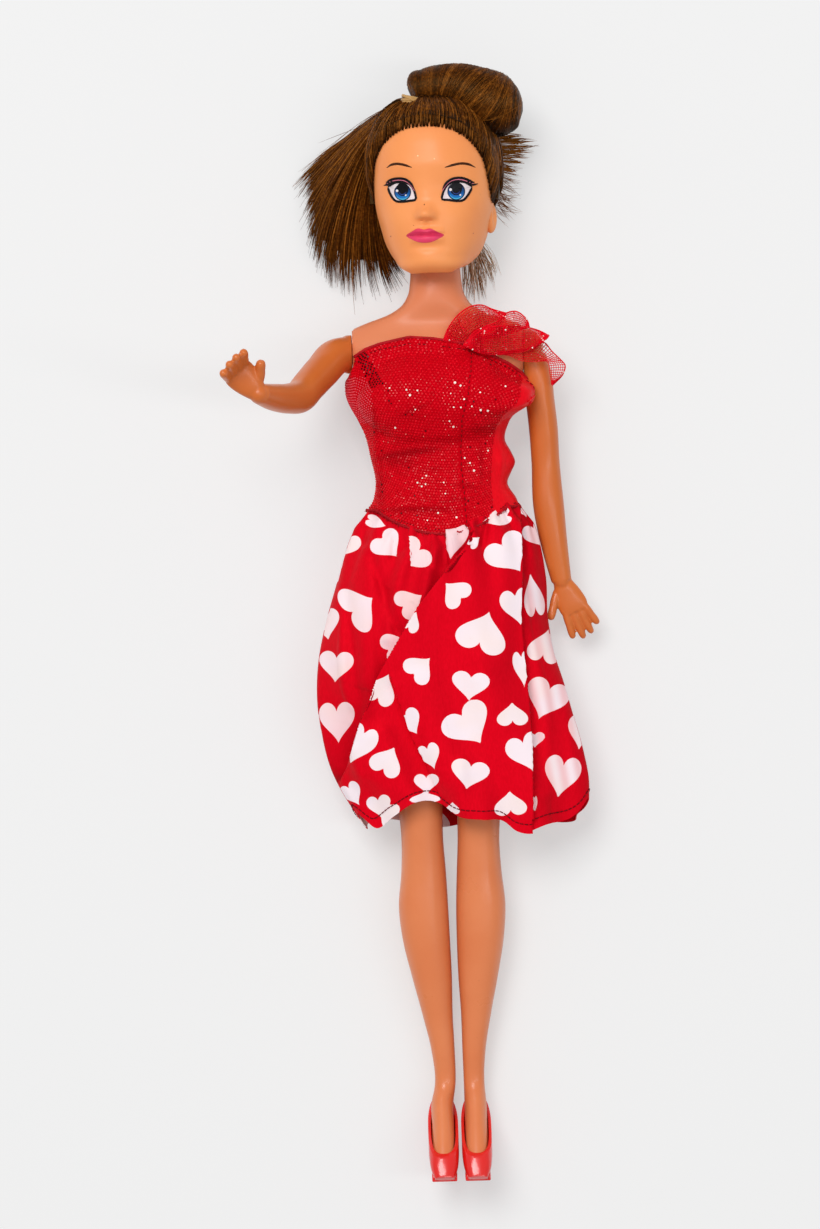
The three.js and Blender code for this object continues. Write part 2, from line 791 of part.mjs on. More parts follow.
function legPiece(side) {
  const sign = sideSign[side];
  const inner = crotchHalfWidth + clearance;
  const profile = hipDiscShares.map(([travel, radius]) => [
    radius * hipRadius,
    sign * (inner + travel * (hipOuter - inner)),
  ]);
  const disc = revolved(sign > 0 ? profile : profile.reverse(), 'x').translate([0, 0, bodyHeight]);
  let leg = disc.add(limb(legStations(side), zAxis, limbSides, limbPower));
  const insideLow = sign > 0 ? -wide : -inner;
  const insideHigh = sign > 0 ? inner : wide;
  const insidePlane = boxSolid(
    vector(insideLow, -hipRadius - overrun, bodyHeight - hipRadius - overrun),
    vector(insideHigh, hipRadius + overrun, bodyHeight + hipRadius + overrun),
  );
  leg = leg.subtract(insidePlane);
  const boreStart = sign * (inner - overrun);
  const boreEnd = sign * (inner + legNeckLength);
  const chamberEnd = sign * (pinHalfLength + clearance + seamGap);
  const ordered = (a, b) => [Math.min(a, b), Math.max(a, b)];
  const bore = rod(pinRadius + clearance, ...ordered(boreStart, boreEnd + sign * seamGap), 'x');
  const chamber = rod(pinBulbRadius + clearance, ...ordered(boreEnd, chamberEnd), 'x');
  leg = leg.subtract(bore.add(chamber).translate([0, 0, bodyHeight]));
  addPiece(`${side}_leg`, leg, 'leg', 'legs');
}

// A pump: the foot's form with a wall, open above the rim, on a sole and a heel
function shoePiece(side) {
  const centre = sideSign[side] * footSpacing;
  const place = (along, down) => {
    const point = footStart(side).addScaledVector(footAlong, along * footLength);
    return point.addScaledVector(footDown, down * heelDepth);
  };
  const [toe, ball] = [place(1, soleToeShare), place(soleBallShares[0], soleBallShares[1])];
  const [heelBack, heelFront] = [place(heelBackShare, 1), place(heelFrontShares[0], heelFrontShares[1])];
  const groundY = toe.y - clearance - shoeWall - soleThickness;
  const outer = limb(footStations(side, clearance + shoeWall, true), zAxis, roundSides, footPower);
  const cavity = limb(footStations(side, clearance, true), zAxis, roundSides, footPower);
  const sole = prismAcross(
    [
      [ball.y, ball.z],
      [toe.y, toe.z],
      [groundY, toe.z],
      [groundY, ball.z],
    ],
    centre,
    soleHalfWidth,
  );
  const heel = prismAcross(
    [
      [heelBack.y, heelBack.z],
      [heelFront.y, heelFront.z],
      [groundY, heelBack.z + heelTipLength],
      [groundY, heelBack.z],
    ],
    centre,
    heelHalfWidth,
  );
  const rimBack = vector(0, -legLength - counterDrop, heelBack.z);
  const rimFront = vector(0, -legLength - throatDrop, toe.z);
  const rimRun = rimFront.clone().sub(rimBack);
  const rimLow = rimBack.clone().sub(rimRun);
  const rimHigh = rimFront.clone().add(rimRun);
  const above = prismAcross(
    [[rimLow.y, rimLow.z], [rimHigh.y, rimHigh.z], [0, rimHigh.z], [0, rimLow.z]],
    centre,
    footHalfWidth + overrun,
  );
  const shoe = outer.add(sole).add(heel).subtract(cavity).subtract(above);
  addPiece(`${side}_shoe`, shoe, 'shoe', 'legs');
}

// A hand: a palm, four fingers and a thumb on the wrist
function handForm(wrist, along, thumbSide, fingerWay, thumbWay) {
  const back = vector(0, 0, 0).crossVectors(along, thumbSide);
  const palmStations = palmShares.map(([travel, width, thickness]) => ({
    at: wrist.clone().addScaledVector(along, travel * palmLength),
    facing: along,
    halfWidth: width * palmHalfWidth,
    above: thickness * palmHalfThickness,
    below: thickness * palmHalfThickness,
  }));
  let hand = limb(palmStations, back, limbSides, limbPower);
  const digit = (root, way, length, radius) => {
    const stations = fingerFormShares.map(([travel, size]) => ({
      at: root.clone().addScaledVector(way, travel * length),
      facing: way,
      halfWidth: size * radius,
      above: size * radius,
      below: size * radius,
    }));
    return limb(stations, thumbSide, fingerSides, limbPower);
  };
  for (const [place, length, spread] of fingerShares) {
    const root = wrist.clone().addScaledVector(along, palmLength * knuckleShare);
    root.addScaledVector(thumbSide, place * palmHalfWidth);
    const way = fingerWay.clone().addScaledVector(thumbSide, spread).normalize();
    hand = hand.add(digit(root, way, length * fingerLength, fingerRadius));
  }
  const thumbRoot = wrist.clone().addScaledVector(along, palmLength * thumbShares[0]);
  thumbRoot.addScaledVector(thumbSide, palmHalfWidth * thumbShares[1]);
  return hand.add(digit(thumbRoot, thumbWay, thumbLength, fingerRadius * thumbShares[2]));
}

// An arm: a knob that snaps into the torso, a rounded shoulder, the limb and its hand
function armPiece(side, shares, reference) {
  const sign = sideSign[side];
  const face = shoulderHalfWidth + clearance;
  const along = (travel) => sign * travel;
  const dome = shoulderDomeShares.map(([radius, reach]) => [
    radius * shoulderRadius,
    along(face + reach * shoulderRadius),
  ]);
  const knobOuter = shoulderHalfWidth - torsoWall - clearance;
  const knob = [
    [0, along(knobOuter - armKnobThickness)],
    [armKnobRadius * armKnobLeadShare, along(knobOuter - armKnobThickness)],
    [armKnobRadius, along(knobOuter)],
    [armStubRadius, along(knobOuter)],
    [armStubRadius, along(face + seamGap)],
    [0, along(face + seamGap)],
  ];
  const turned = (profile) => revolved(sign > 0 ? profile : profile.reverse(), 'x');
  const shoulder = vector(along(face), shoulderY, bodyHeight);
  const stations = shares.map(([out, down, forward, width, depth], i) => ({
    at: vector(along(out) * armSpread[side], -down * armLength, forward * armLength).add(shoulder),
    facing: i === 0 ? vector(along(1), 0, 0) : undefined,
    halfWidth: width * armHalfWidth,
    above: depth * armHalfWidth,
    below: depth * armHalfWidth,
  }));
  const round = turned(dome).add(turned(knob)).translate([0, shoulderY, bodyHeight]);
  const wrist = stations.at(-1).at;
  const faceSide = boxSolid(
    vector(Math.min(along(face), along(-wide)), -wide, -wide),
    vector(Math.max(along(face), along(-wide)), wide, wide),
  );
  const ways = handWayShares[side].map((way) => vector(...way).normalize());
  const arm = limb(stations, reference, limbSides, limbPower).add(handForm(wrist, ...ways));
  addPiece(`${side}_arm`, round.add(arm.subtract(faceSide)), 'arm', 'arms');
}

// Head
const headRows = headShares.map(([y, width, front, back]) => ({
  y: chinY + y * (headTop - chinY),
  halfWidth: width * headHalfWidth,
  front: front * headHalfDepth,
  back: back * headHalfDepth,
}));

function skullForm(grow, sides = bodySides) {
  return bodyForm(headRows, grow, headForward, headPower, sides);
}

// Height of the face over the neck's axis at a distance up the head
function faceHeight(y) {
  const next = Math.max(headRows.findIndex((row) => row.y >= y), 1);
  const [low, high] = [headRows[next - 1], headRows[next]];
  return headForward + THREE.MathUtils.mapLinear(y, low.y, high.y, low.front, high.front);
}

function headForm() {
  const noseStations = noseShares.map(([down, width, rise]) => {
    const y = headTop - noseDrop - down * noseLength;
    const half = width * noseHalfWidth;
    return {
      at: vector(0, y, faceHeight(y) + rise * noseRise - half),
      facing: vector(0, -1, 0),
      halfWidth: half,
      above: half,
      below: half,
    };
  });
  const nose = limb(noseStations, zAxis, limbSides, limbPower);
  const lips = ellipsoid(
    vector(0, lipsY, faceHeight(lipsY) + lipsRise - lipsHalfDepth),
    vector(lipsHalfWidth, lipsHalfHeight, lipsHalfDepth),
    limbSides,
  );
  let form = skullForm(0).add(nose).add(lips);
  for (const sign of [-1, 1]) {
    const ear = ellipsoid(
      vector(sign * (headHalfWidth - earReach / 2), chinY + earRise, headForward - earHalfDepth),
      vector(earReach, earHalfHeight, earHalfDepth),
      limbSides,
    );
    form = form.add(ear);
  }
  return form;
}

// Turns a form about the neck's axis and lifts it to the doll's height
function turned(form) {
  return form.rotate([0, headTurn, 0]).translate([0, 0, bodyHeight]);
}

function headShell() {
  const hollow = skullForm(-headWall, hollowSides).intersect(
    boxSolid(vector(-wide, neckRecessTop + neckRimThickness, -wide), vector(wide, wide, wide)),
  );
  const recess = rod(neckRecessRadius, -wide, neckRecessTop, 'y');
  const rimHole = rod(neckRimRadius, -wide, neckRecessTop + neckRimThickness + seamGap, 'y');
  const head = headForm().subtract(hollow).subtract(recess).subtract(rimHole);
  addPiece('head_shell', turned(head), 'face', 'head');
}

const tableTop = boxSolid(vector(-wide, -wide, 0), vector(wide, wide, wide));

function hairCap() {
  const arc = [];
  for (let i = 0; i <= roundSides; i += 1) {
    const angle = (i / roundSides) * Math.PI;
    const reach = hairlineTop - hairlineMiddle;
    arc.push([Math.cos(angle) * hairlineHalfWidth, hairlineMiddle + Math.sin(angle) * reach]);
  }
  const faceOpening = prism(
    [...arc, [-hairlineHalfWidth, chinY], [hairlineHalfWidth, chinY]],
    hairlineFront,
    wide,
  );
  const earLow = vector(-wide, -wide, headForward - earClearBack);
  const earSpace = boxSolid(earLow, vector(wide, earClearTop, wide));
  const below = boxSolid(vector(-wide, -wide, -wide), vector(wide, hairCapBottom, wide));
  const hair = skullForm(hairThickness).subtract(headForm().add(skullForm(clearance)));
  const cap = hair.subtract(faceOpening).subtract(earSpace).subtract(below);
  addPiece('hair_cap', turned(cap).intersect(tableTop), 'hair', 'head');
}

// The hair below and beside the cap keeps clear of it
function capSpace() {
  return turned(skullForm(hairThickness + clearance));
}

function hairBun() {
  const base = vector(0, headTop + hairThickness + seamGap, bodyHeight + bunHeight);
  const stations = bunShares.map(([across, up, forward, radius]) => ({
    at: vector(across, up, forward).multiplyScalar(bunRadius).add(base),
    halfWidth: radius * bunRadius,
    above: radius * bunRadius,
    below: radius * bunRadius,
  }));
  return limb(stations, zAxis, roundSides, limbPower).subtract(capSpace());
}

const tailRoot = vector(tailRootX, tailRootY, bodyHeight + bunHeight);

function hairBand() {
  const ring = new THREE.TorusGeometry(bandRadius, bandThickness / 2, fingerSides, roundSides);
  const way = vector(...tailShares[1].slice(0, 3)).sub(vector(...tailShares[0].slice(0, 3)));
  way.set(way.x, -way.y, -way.z).normalize();
  ring.applyQuaternion(new THREE.Quaternion().setFromUnitVectors(zAxis, way));
  ring.translate(tailRoot.x, tailRoot.y, tailRoot.z);
  return toSolid(ring).subtract(capSpace());
}

function hairPieces() {
  const bun = hairBun();
  const band = hairBand();
  const bandSpace = ellipsoid(tailRoot, vector(1, 1, 1).multiplyScalar(bandRadius + bandThickness));
  addPiece('hair_bun', bun.subtract(bandSpace), 'hair', 'head');
  addPiece('hair_band', band, 'band', 'head');
  const tailStations = tailShares.map(([across, down, back, width, thickness]) => ({
    at: vector(across, -down, -back).multiplyScalar(tailLength).add(tailRoot),
    halfWidth: width * tailHalfWidth,
    above: thickness * tailHalfThickness,
    below: thickness * tailHalfThickness,
  }));
  const tail = limb(tailStations, zAxis, roundSides, hairPower).subtract(capSpace());
  addPiece('hair_tail', tail.intersect(tableTop), 'hair', 'head');
  const tufts = { hair_side_tuft: sideTuftShares, hair_nape_tuft: napeTuftShares };
  for (const [name, shares] of Object.entries(tufts)) {
    const stations = shares.map(([across, up, width, thickness]) => ({
      at: vector(across * tuftHalfWidth, chinY + up * tuftHalfWidth, tuftHalfThickness - flatDepth),
      halfWidth: width * tuftHalfWidth,
      above: thickness * tuftHalfThickness,
      below: thickness * tuftHalfThickness,
    }));
    const tuft = limb(stations, zAxis, limbSides, limbPower).subtract(capSpace());
    addPiece(name, tuft.intersect(tableTop), 'hair', 'head');
  }
}

// Dress
function torsoSection(y) {
  const next = Math.max(torsoRows.findIndex((row) => row.y >= y), 1);
  const [low, high] = [torsoRows[next - 1], torsoRows[next]];
  const share = (y - low.y) / (high.y - low.y);
  return {
    halfWidth: THREE.MathUtils.lerp(low.halfWidth, high.halfWidth, share),
    front: THREE.MathUtils.lerp(low.front, high.front, share),
    back: THREE.MathUtils.lerp(low.back, high.back, share),
  };
}

const waistHalfWidth = torsoSection(waistY).halfWidth + clearance + clothThickness;

// The seam between bodice and skirt: level behind, dipping to a point in front
function waistSeam(x) {
  const share = Math.min(Math.abs(x) / waistHalfWidth, 1);
  return waistY - waistDip * (1 - share ** 2);
}

function bodicePanels() {
  const inside = torsoForm(clearance);
  const cloth = torsoForm(clearance + clothThickness).subtract(inside);
  const bottom = [];
  for (let i = 0; i <= bodySides; i += 1) {
    const x = (i / bodySides) * 2 * waistHalfWidth - waistHalfWidth;
    bottom.push([x, waistSeam(x) + clearance + seamGap]);
  }
  const neckline = necklineShares.map(([x, y]) => [x * shoulderHalfWidth, y * shoulderY]);
  const side = waistY + clearance + seamGap;
  const outline = [[neckline[0][0], side], ...bottom, [neckline.at(-1)[0], side], ...neckline.reverse()];
  const front = cloth.intersect(prism(outline, bodyHeight + seamGap / 2, wide));
  const half = seamGap / 2;
  const strip = (low, high) => boxSolid(vector(low, -wide, -wide), vector(high, wide, wide));
  const middlePanel = front.intersect(strip(-wide, princessSeam - half));
  const princessPanel = front.intersect(strip(princessSeam + half, sideSeam - half));
  const sidePanel = front.intersect(strip(sideSeam + half, wide));
  addPiece('bodice_front_panel', middlePanel, 'foil', 'dress');
  addPiece('bodice_princess_panel', princessPanel, 'foil', 'dress');
  addPiece('bodice_side_panel', sidePanel, 'satin', 'dress');

  const backSpace = boxSolid(
    vector(-wide, waistY + clearance, -wide),
    vector(wide, bodiceBackTop, bodyHeight - half),
  );
  const back = cloth.intersect(backSpace);
  addPiece('bodice_back_right_panel', back.intersect(strip(-wide, -half)), 'foil', 'dress');
  const layer = (from, to) => torsoForm(to).subtract(torsoForm(from));
  const closureSpace = (low, high) =>
    boxSolid(vector(low, closureBottom, -wide), vector(high, closureTop, bodyHeight - half));
  const loopStart = clearance + clothThickness + seamGap;
  const hookStart = loopStart + closureThickness + seamGap;
  const flapStart = hookStart + closureThickness + seamGap;
  const stripSpace = closureSpace(-closureWidth, -closureThickness);
  const loopStrip = layer(loopStart, loopStart + closureThickness).intersect(stripSpace);
  addPiece('closure_loop_strip', loopStrip, 'strip', 'dress');
  const hookStrip = layer(hookStart, hookStart + closureThickness).intersect(stripSpace);
  addPiece('closure_hook_strip', hookStrip, 'strip', 'dress');
  const flapEnd = flapStart + clothThickness;
  const flap = layer(flapStart, flapEnd).intersect(closureSpace(-closureWidth, closureThickness));
  const riser = layer(clearance, flapEnd).intersect(closureSpace(half, closureThickness));
  const leftBack = back.intersect(strip(half, wide)).add(flap).add(riser);
  addPiece('bodice_back_left_panel', leftBack, 'foil', 'dress');
}

// One ring of the skirt; inset moves it inside the cloth
function skirtRing(share, left, right, top, lift, inset) {
  const ring = [];
  for (let i = 0; i < skirtSides; i += 1) {
    const angle = (i / skirtSides) * Math.PI * 2;
    const c = Math.cos(angle);
    const s = Math.sin(angle);
    const across = Math.sign(c) * Math.abs(c) ** (2 / skirtPower);
    const rise = Math.sign(s) * Math.abs(s) ** (2 / skirtPower);
    const wave = foldDepth * share * Math.cos(foldCount * angle + foldDrift * share * Math.PI);
    const middle = ((left + right) / 2) * skirtHalfWidth;
    const halfWidth = ((right - left) / 2) * skirtHalfWidth - inset + wave;
    const above = top * skirtTopHeight - bodyHeight - inset + wave;
    const floor = lift * bodyHeight + inset;
    const below = bodyHeight - lift * bodyHeight - inset + flatDepth;
    const x = middle + across * halfWidth;
    const z = Math.max(bodyHeight + rise * (s > 0 ? above : below), floor);
    const dip = s > 0 ? (waistY - waistSeam(x)) * (1 - share) ** dipPower : 0;
    const hem = share ** dipPower * (hemSlope * x + hemWave * Math.cos(hemWaveCount * angle));
    ring.push(vector(x, waistY - share * skirtLength - dip + hem, z));
  }
  return ring;
}

// The gathered edge follows the torso at the waist seam
function waistRing(grow) {
  const ring = [];
  for (let i = 0; i < skirtSides; i += 1) {
    const angle = (i / skirtSides) * Math.PI * 2;
    const c = Math.cos(angle);
    const s = Math.sin(angle);
    let y = waistY;
    let x = 0;
    let z = 0;
    for (let pass = 0; pass < 2; pass += 1) {
      const { halfWidth, front, back } = torsoSection(y);
      x = Math.sign(c) * Math.abs(c) ** (2 / torsoPower) * (halfWidth + grow);
      z = Math.sign(s) * Math.abs(s) ** (2 / torsoPower) * ((s > 0 ? front : back) + grow);
      y = s > 0 ? waistSeam(x) : waistY;
    }
    ring.push(vector(x, y, bodyHeight + z));
  }
  return ring;
}

function skirt() {
  const outer = skirtShares.map((row) => skirtRing(...row, 0));
  const inner = skirtShares.map((row) => skirtRing(...row, skirtThickness));
  const rings = [waistRing(clearance + skirtThickness), ...outer, ...inner.reverse(), waistRing(clearance)];
  addPiece('skirt', toSolid(shell(rings)), 'satin', 'dress');
}

// Height of the torso's or the arm's front under a point of the ruffle
function frontHeight(x, y) {
  const inSection = torsoSection(Math.min(y, torsoRows.at(-1).y));
  const share = Math.min(Math.abs(x) / inSection.halfWidth, 1);
  const chest = inSection.front * (1 - share ** torsoPower) ** (1 / torsoPower);
  return bodyHeight + Math.max(chest, shoulderRadius);
}

function shoulderRuffle() {
  const upper = [];
  const lower = [];
  for (let i = 0; i <= ruffleRows; i += 1) {
    const up = i / ruffleRows;
    const rowUpper = [];
    const rowLower = [];
    for (let j = 0; j <= ruffleColumns; j += 1) {
      const across = (j / ruffleColumns) * (ruffleEdgeShares.length - 1);
      const low = Math.min(Math.floor(across), ruffleEdgeShares.length - 2);
      const mix = (index) =>
        THREE.MathUtils.lerp(ruffleEdgeShares[low][index], ruffleEdgeShares[low + 1][index], across - low);
      const x = THREE.MathUtils.lerp(mix(0), mix(2), up) * shoulderHalfWidth;
      const y = THREE.MathUtils.lerp(mix(1), mix(3), up) * shoulderY;
      const wave = (1 + Math.cos((j / ruffleColumns) * ruffleWaves * Math.PI * 2)) * ruffleWave * up;
      const z = frontHeight(x, y) + clearance + seamGap + ruffleLift * up + wave;
      rowLower.push(vector(x, y, z));
      rowUpper.push(vector(x, y, z + ruffleThickness));
    }
    upper.push(rowUpper);
    lower.push(rowLower);
  }
  addPiece('shoulder_ruffle', toSolid(thickSheet(upper, lower)), 'mesh', 'dress');
}

torsoShells();
hipPin();
neckKnob();
headShell();
hairCap();
hairPieces();
armPiece('left', leftArmShares, zAxis);
armPiece('right', rightArmShares, yAxis);
for (const side of ['right', 'left']) {
  legPiece(side);
  shoePiece(side);
}
bodicePanels();
skirt();
shoulderRuffle();

export default doll;
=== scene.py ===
import math

import bpy
import numpy as np
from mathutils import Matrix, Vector
from mathutils.bvhtree import BVHTree


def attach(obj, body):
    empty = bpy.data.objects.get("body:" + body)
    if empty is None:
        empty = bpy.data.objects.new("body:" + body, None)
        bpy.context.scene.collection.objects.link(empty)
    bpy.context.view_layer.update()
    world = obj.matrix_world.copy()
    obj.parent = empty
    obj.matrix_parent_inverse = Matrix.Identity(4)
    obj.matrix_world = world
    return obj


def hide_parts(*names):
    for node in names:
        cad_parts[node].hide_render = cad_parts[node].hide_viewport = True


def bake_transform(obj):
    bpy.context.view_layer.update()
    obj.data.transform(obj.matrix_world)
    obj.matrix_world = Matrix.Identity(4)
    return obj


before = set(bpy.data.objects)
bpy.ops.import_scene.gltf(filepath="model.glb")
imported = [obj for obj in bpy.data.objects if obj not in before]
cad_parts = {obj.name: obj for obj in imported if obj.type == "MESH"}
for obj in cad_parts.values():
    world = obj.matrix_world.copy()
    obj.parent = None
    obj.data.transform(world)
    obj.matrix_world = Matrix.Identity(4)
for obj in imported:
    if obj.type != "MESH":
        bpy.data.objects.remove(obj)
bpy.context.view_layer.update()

bl_info = {
    "name": "Fashion doll in a red dress",
    "version": (1, 0, 0),
    "blender": (4, 5, 0),
    "location": "3D View > Sidebar > Doll",
    "description": "Builds a lying fashion doll with rooted hair, a foil dress with a net ruffle, and pumps",
    "category": "Object",
}

MM = 0.001
# The body's middle line lies this high over the table, and the head is turned a little to its right.
BODY_HEIGHT = 16.0
HEAD_TURN = math.radians(-9)
# Where the photograph was taken from, and how its pixels lie on the plane that it is sharpest in.
CAMERA_SPOT = (-9.5, -7.7)
CAMERA_HEIGHT = 1200.0
FOCUS_HEIGHT = 17.0
IMAGE_TILT = 0.0287
IMAGE_ROWS = 1229
MM_PER_PIXEL = 0.27
HIP_PIXEL = (444.5, 585.0)
SENSOR = 36.0


# Sizes and colours that a user would change

def paint(red, green, blue):
    """Turn a colour written as 0 to 255 values into the linear values that a shader takes."""
    shares = [value / 255 for value in (red, green, blue)]
    return tuple(s / 12.92 if s <= 0.04045 else ((s + 0.055) / 1.055) ** 2.4 for s in shares)


def colour_property(name, description, default):
    return bpy.props.FloatVectorProperty(
        name=name, description=description, subtype="COLOR", size=3, min=0, max=1, default=paint(*default))


def size_property(name, description, default):
    return bpy.props.FloatProperty(
        name=name, description=description, default=default * MM, min=0, precision=5, unit="LENGTH")


class DollSkin(bpy.types.PropertyGroup):
    """Colours of the moulded body."""
    face: colour_property("Face", "Vinyl of the head", (251, 158, 92))
    torso: colour_property("Torso", "Hard plastic of the torso", (225, 133, 90))
    arms: colour_property("Arms", "Soft vinyl of the arms", (214, 113, 50))
    legs: colour_property("Legs", "Hard plastic of the legs", (229, 132, 82))
    seam: size_property("Seam", "Width of the seam round the torso", 0.2)


class DollHair(bpy.types.PropertyGroup):
    """Colours and fibre of the rooted hair."""
    dark: colour_property("Dark", "Fibre in the shade of the roll and at the roots", (44, 18, 2))
    middle: colour_property("Middle", "Most of the fibre", (90, 44, 5))
    light: colour_property("Light", "Fibre that catches the light", (142, 84, 26))
    nape: colour_property("Nape", "Worn fibre behind the neck", (150, 112, 78))
    fibre: size_property("Fibre", "Half width of one drawn lock", 0.17)


class DollDress(bpy.types.PropertyGroup):
    """Colours and sizes of the dress and the pumps."""
    satin: colour_property("Satin", "Red of the skirt", (227, 5, 29))
    heart: colour_property("Heart", "Printed hearts", (255, 240, 246))
    foil: colour_property("Foil", "Red of the bodice", (216, 3, 22))
    net: colour_property("Net", "Red of the ruffle's net", (236, 10, 34))
    thread: colour_property("Thread", "Sewing thread", (112, 4, 12))
    pump: colour_property("Pump", "Vinyl of the pumps", (234, 26, 22))
    dot_spacing: size_property("Dot spacing", "Distance between foil dots", 0.87)
    dot_radius: size_property("Dot radius", "Half width of one foil dot", 0.3)
    net_thread: size_property("Net thread", "Thickness of the net's threads", 0.27)
    net_spacing: size_property("Net spacing", "Distance between threads of the net", 0.62)


class DollStage(bpy.types.PropertyGroup):
    """The table, the light and the camera."""
    table: colour_property("Table", "Colour of the table", (241, 241, 241))
    key: bpy.props.FloatProperty(name="Key", description="Power of the main lamp", default=38.0, min=0, unit="POWER")
    sky: bpy.props.FloatProperty(name="Sky", description="Strength of the light from all sides", default=0.4, min=0)
    wash: bpy.props.FloatProperty(
        name="Wash", description="How much of the table's seen colour takes no shadow", default=0.5, min=0, max=1)
    camera_height: size_property("Camera height", "Height of the camera over the table", CAMERA_HEIGHT)


# Small tools of the bench

def deselect_all():
    if bpy.context.object and bpy.context.object.mode != "OBJECT":
        bpy.ops.object.mode_set(mode="OBJECT")
    bpy.ops.object.select_all(action="DESELECT")


def pick(piece):
    """Make one piece the only one that operators act on."""
    deselect_all()
    piece.select_set(True)
    bpy.context.view_layer.objects.active = piece
    return piece


def new_piece(name, points, faces):
    """Make a mesh piece of points in millimetres."""
    mesh = bpy.data.meshes.new(name)
    mesh.from_pydata((np.asarray(points, float) * MM).tolist(), [], faces)
    mesh.update()
    piece = bpy.data.objects.new(name, mesh)
    bpy.context.collection.objects.link(piece)
    return piece


def modify(piece, kind, **settings):
    """Add a modifier, set it and apply it."""
    pick(piece)
    change = piece.modifiers.new(kind.title(), kind)
    for key, value in settings.items():
        setattr(change, key, value)
    bpy.ops.object.modifier_apply(modifier=change.name)
    return piece


def cut(piece, tool, operation="DIFFERENCE"):
    """Use up a tool solid on a piece."""
    modify(piece, "BOOLEAN", object=tool, operation=operation, solver="EXACT")
    bpy.data.objects.remove(tool)
    return piece


def merge(pieces, name):
    """Join pieces to one object with one mesh."""
    deselect_all()
    for piece in pieces:
        piece.select_set(True)
    bpy.context.view_layer.objects.active = pieces[0]
    if len(pieces) > 1:
        bpy.ops.object.join()
    pieces[0].name = name
    pieces[0].data.name = name
    return pieces[0]


def outward(piece):
    """Turn the faces of closed solids outwards."""
    pick(piece)
    bpy.ops.object.mode_set(mode="EDIT")
    bpy.ops.mesh.select_all(action="SELECT")
    bpy.ops.mesh.normals_make_consistent(inside=False)
    bpy.ops.object.mode_set(mode="OBJECT")
    return piece


def smooth(piece, angle=None):
    pick(piece)
    if angle is None:
        bpy.ops.object.shade_smooth()
    else:
        bpy.ops.object.shade_smooth_by_angle(angle=math.radians(angle))
    return piece


def settle(piece):
    """Leave the piece's place in its mesh, with its object at the origin."""
    pick(piece)
    bpy.ops.object.transform_apply(location=True, rotation=True, scale=True)
    return piece


def rod(radius, low, high, axis, centre, sides=48):
    """A round bar between two places on an axis, in millimetres."""
    turn = {"x": (0, math.pi / 2, 0), "y": (math.pi / 2, 0, 0), "z": (0, 0, 0)}[axis]
    spot = list(centre)
    spot["xyz".index(axis)] = (low + high) / 2
    deselect_all()
    bpy.ops.mesh.primitive_cylinder_add(
        vertices=sides, radius=radius * MM, depth=(high - low) * MM,
        location=[value * MM for value in spot], rotation=turn)
    return settle(bpy.context.object)


def block(low, high):
    """A box between two corners, in millimetres."""
    low, high = np.asarray(low, float), np.asarray(high, float)
    deselect_all()
    bpy.ops.mesh.primitive_cube_add(size=1, location=((low + high) / 2 * MM).tolist(),
                                    scale=((high - low) * MM).tolist())
    return settle(bpy.context.object)


def unit(vectors):
    """Vectors of length one in the same directions."""
    vectors = np.asarray(vectors, float)
    return vectors / np.maximum(np.linalg.norm(vectors, axis=-1, keepdims=True), 1e-12)


def through(place, values, at):
    """Read a smooth curve through table values at new places."""
    place, values, at = np.asarray(place, float), np.asarray(values, float), np.asarray(at, float)
    slope = np.gradient(values, place, axis=0)
    i = np.clip(np.searchsorted(place, at, side="right") - 1, 0, len(place) - 2)
    run = (place[i + 1] - place[i])[..., None]
    t = (at - place[i])[..., None] / run
    first, last, start, end = values[i], values[i + 1], slope[i] * run, slope[i + 1] * run
    return (first * (1 + 2 * t) * (1 - t) ** 2 + start * t * (1 - t) ** 2
            + last * t * t * (3 - 2 * t) + end * t * t * (t - 1))


def lengths_along(line):
    """How far along a line each of its points lies."""
    return np.concatenate([[0], np.cumsum(np.linalg.norm(np.diff(line, axis=0), axis=1))])


def on_line(spots, place, line):
    """The points of a line at distances along it."""
    return np.stack([np.interp(spots, place, line[:, i]) for i in range(3)], axis=1)


def along_path(rows, count):
    """Spread count rows evenly along the path of the rows' first three columns."""
    rows = np.asarray(rows, float)
    place = lengths_along(rows[:, :3])
    return through(place, rows, np.linspace(0, place[-1], count))


def full_turn(count):
    """Angles spread evenly round a full turn."""
    return np.arange(count) / count * 2 * math.pi


def oval(width, above, below, power, turn):
    """Points of a superellipse at the given turns."""
    c, s = np.cos(turn), np.sin(turn)
    across = np.sign(c) * np.abs(c) ** (2 / power) * width
    rise = np.sign(s) * np.abs(s) ** (2 / power) * np.where(s > 0, above, below)
    return across, rise


def ring_faces(rings, sides, wrap=True, start=0):
    """Quads between rings of equal counts."""
    i, j = np.meshgrid(np.arange(rings - 1), np.arange(sides if wrap else sides - 1), indexing="ij")
    step = (j + 1) % sides
    corners = [i * sides + j, i * sides + step, (i + 1) * sides + step, (i + 1) * sides + j]
    return (np.stack([corner.ravel() for corner in corners], axis=1) + start).tolist()


def loft(name, rings):
    """A closed solid through rings of points, with a fan over each end."""
    rings = np.asarray(rings, float)
    count, sides, _ = rings.shape
    points = np.concatenate([rings.reshape(-1, 3), rings[[0, -1]].mean(axis=1)])
    faces = ring_faces(count, sides)
    first, last = count * sides, count * sides + 1
    for j in range(sides):
        step = (j + 1) % sides
        faces.append([first, step, j])
        faces.append([last, (count - 1) * sides + j, (count - 1) * sides + step])
    return outward(new_piece(name, points, faces))


def straight_bar(name, corners):
    """A bar between two like outlines, whose corners follow one another."""
    count = len(corners) // 2
    faces = [list(range(count)), list(range(count, 2 * count))]
    faces += [[i, (i + 1) % count, count + (i + 1) % count, count + i] for i in range(count)]
    return outward(new_piece(name, corners, faces))


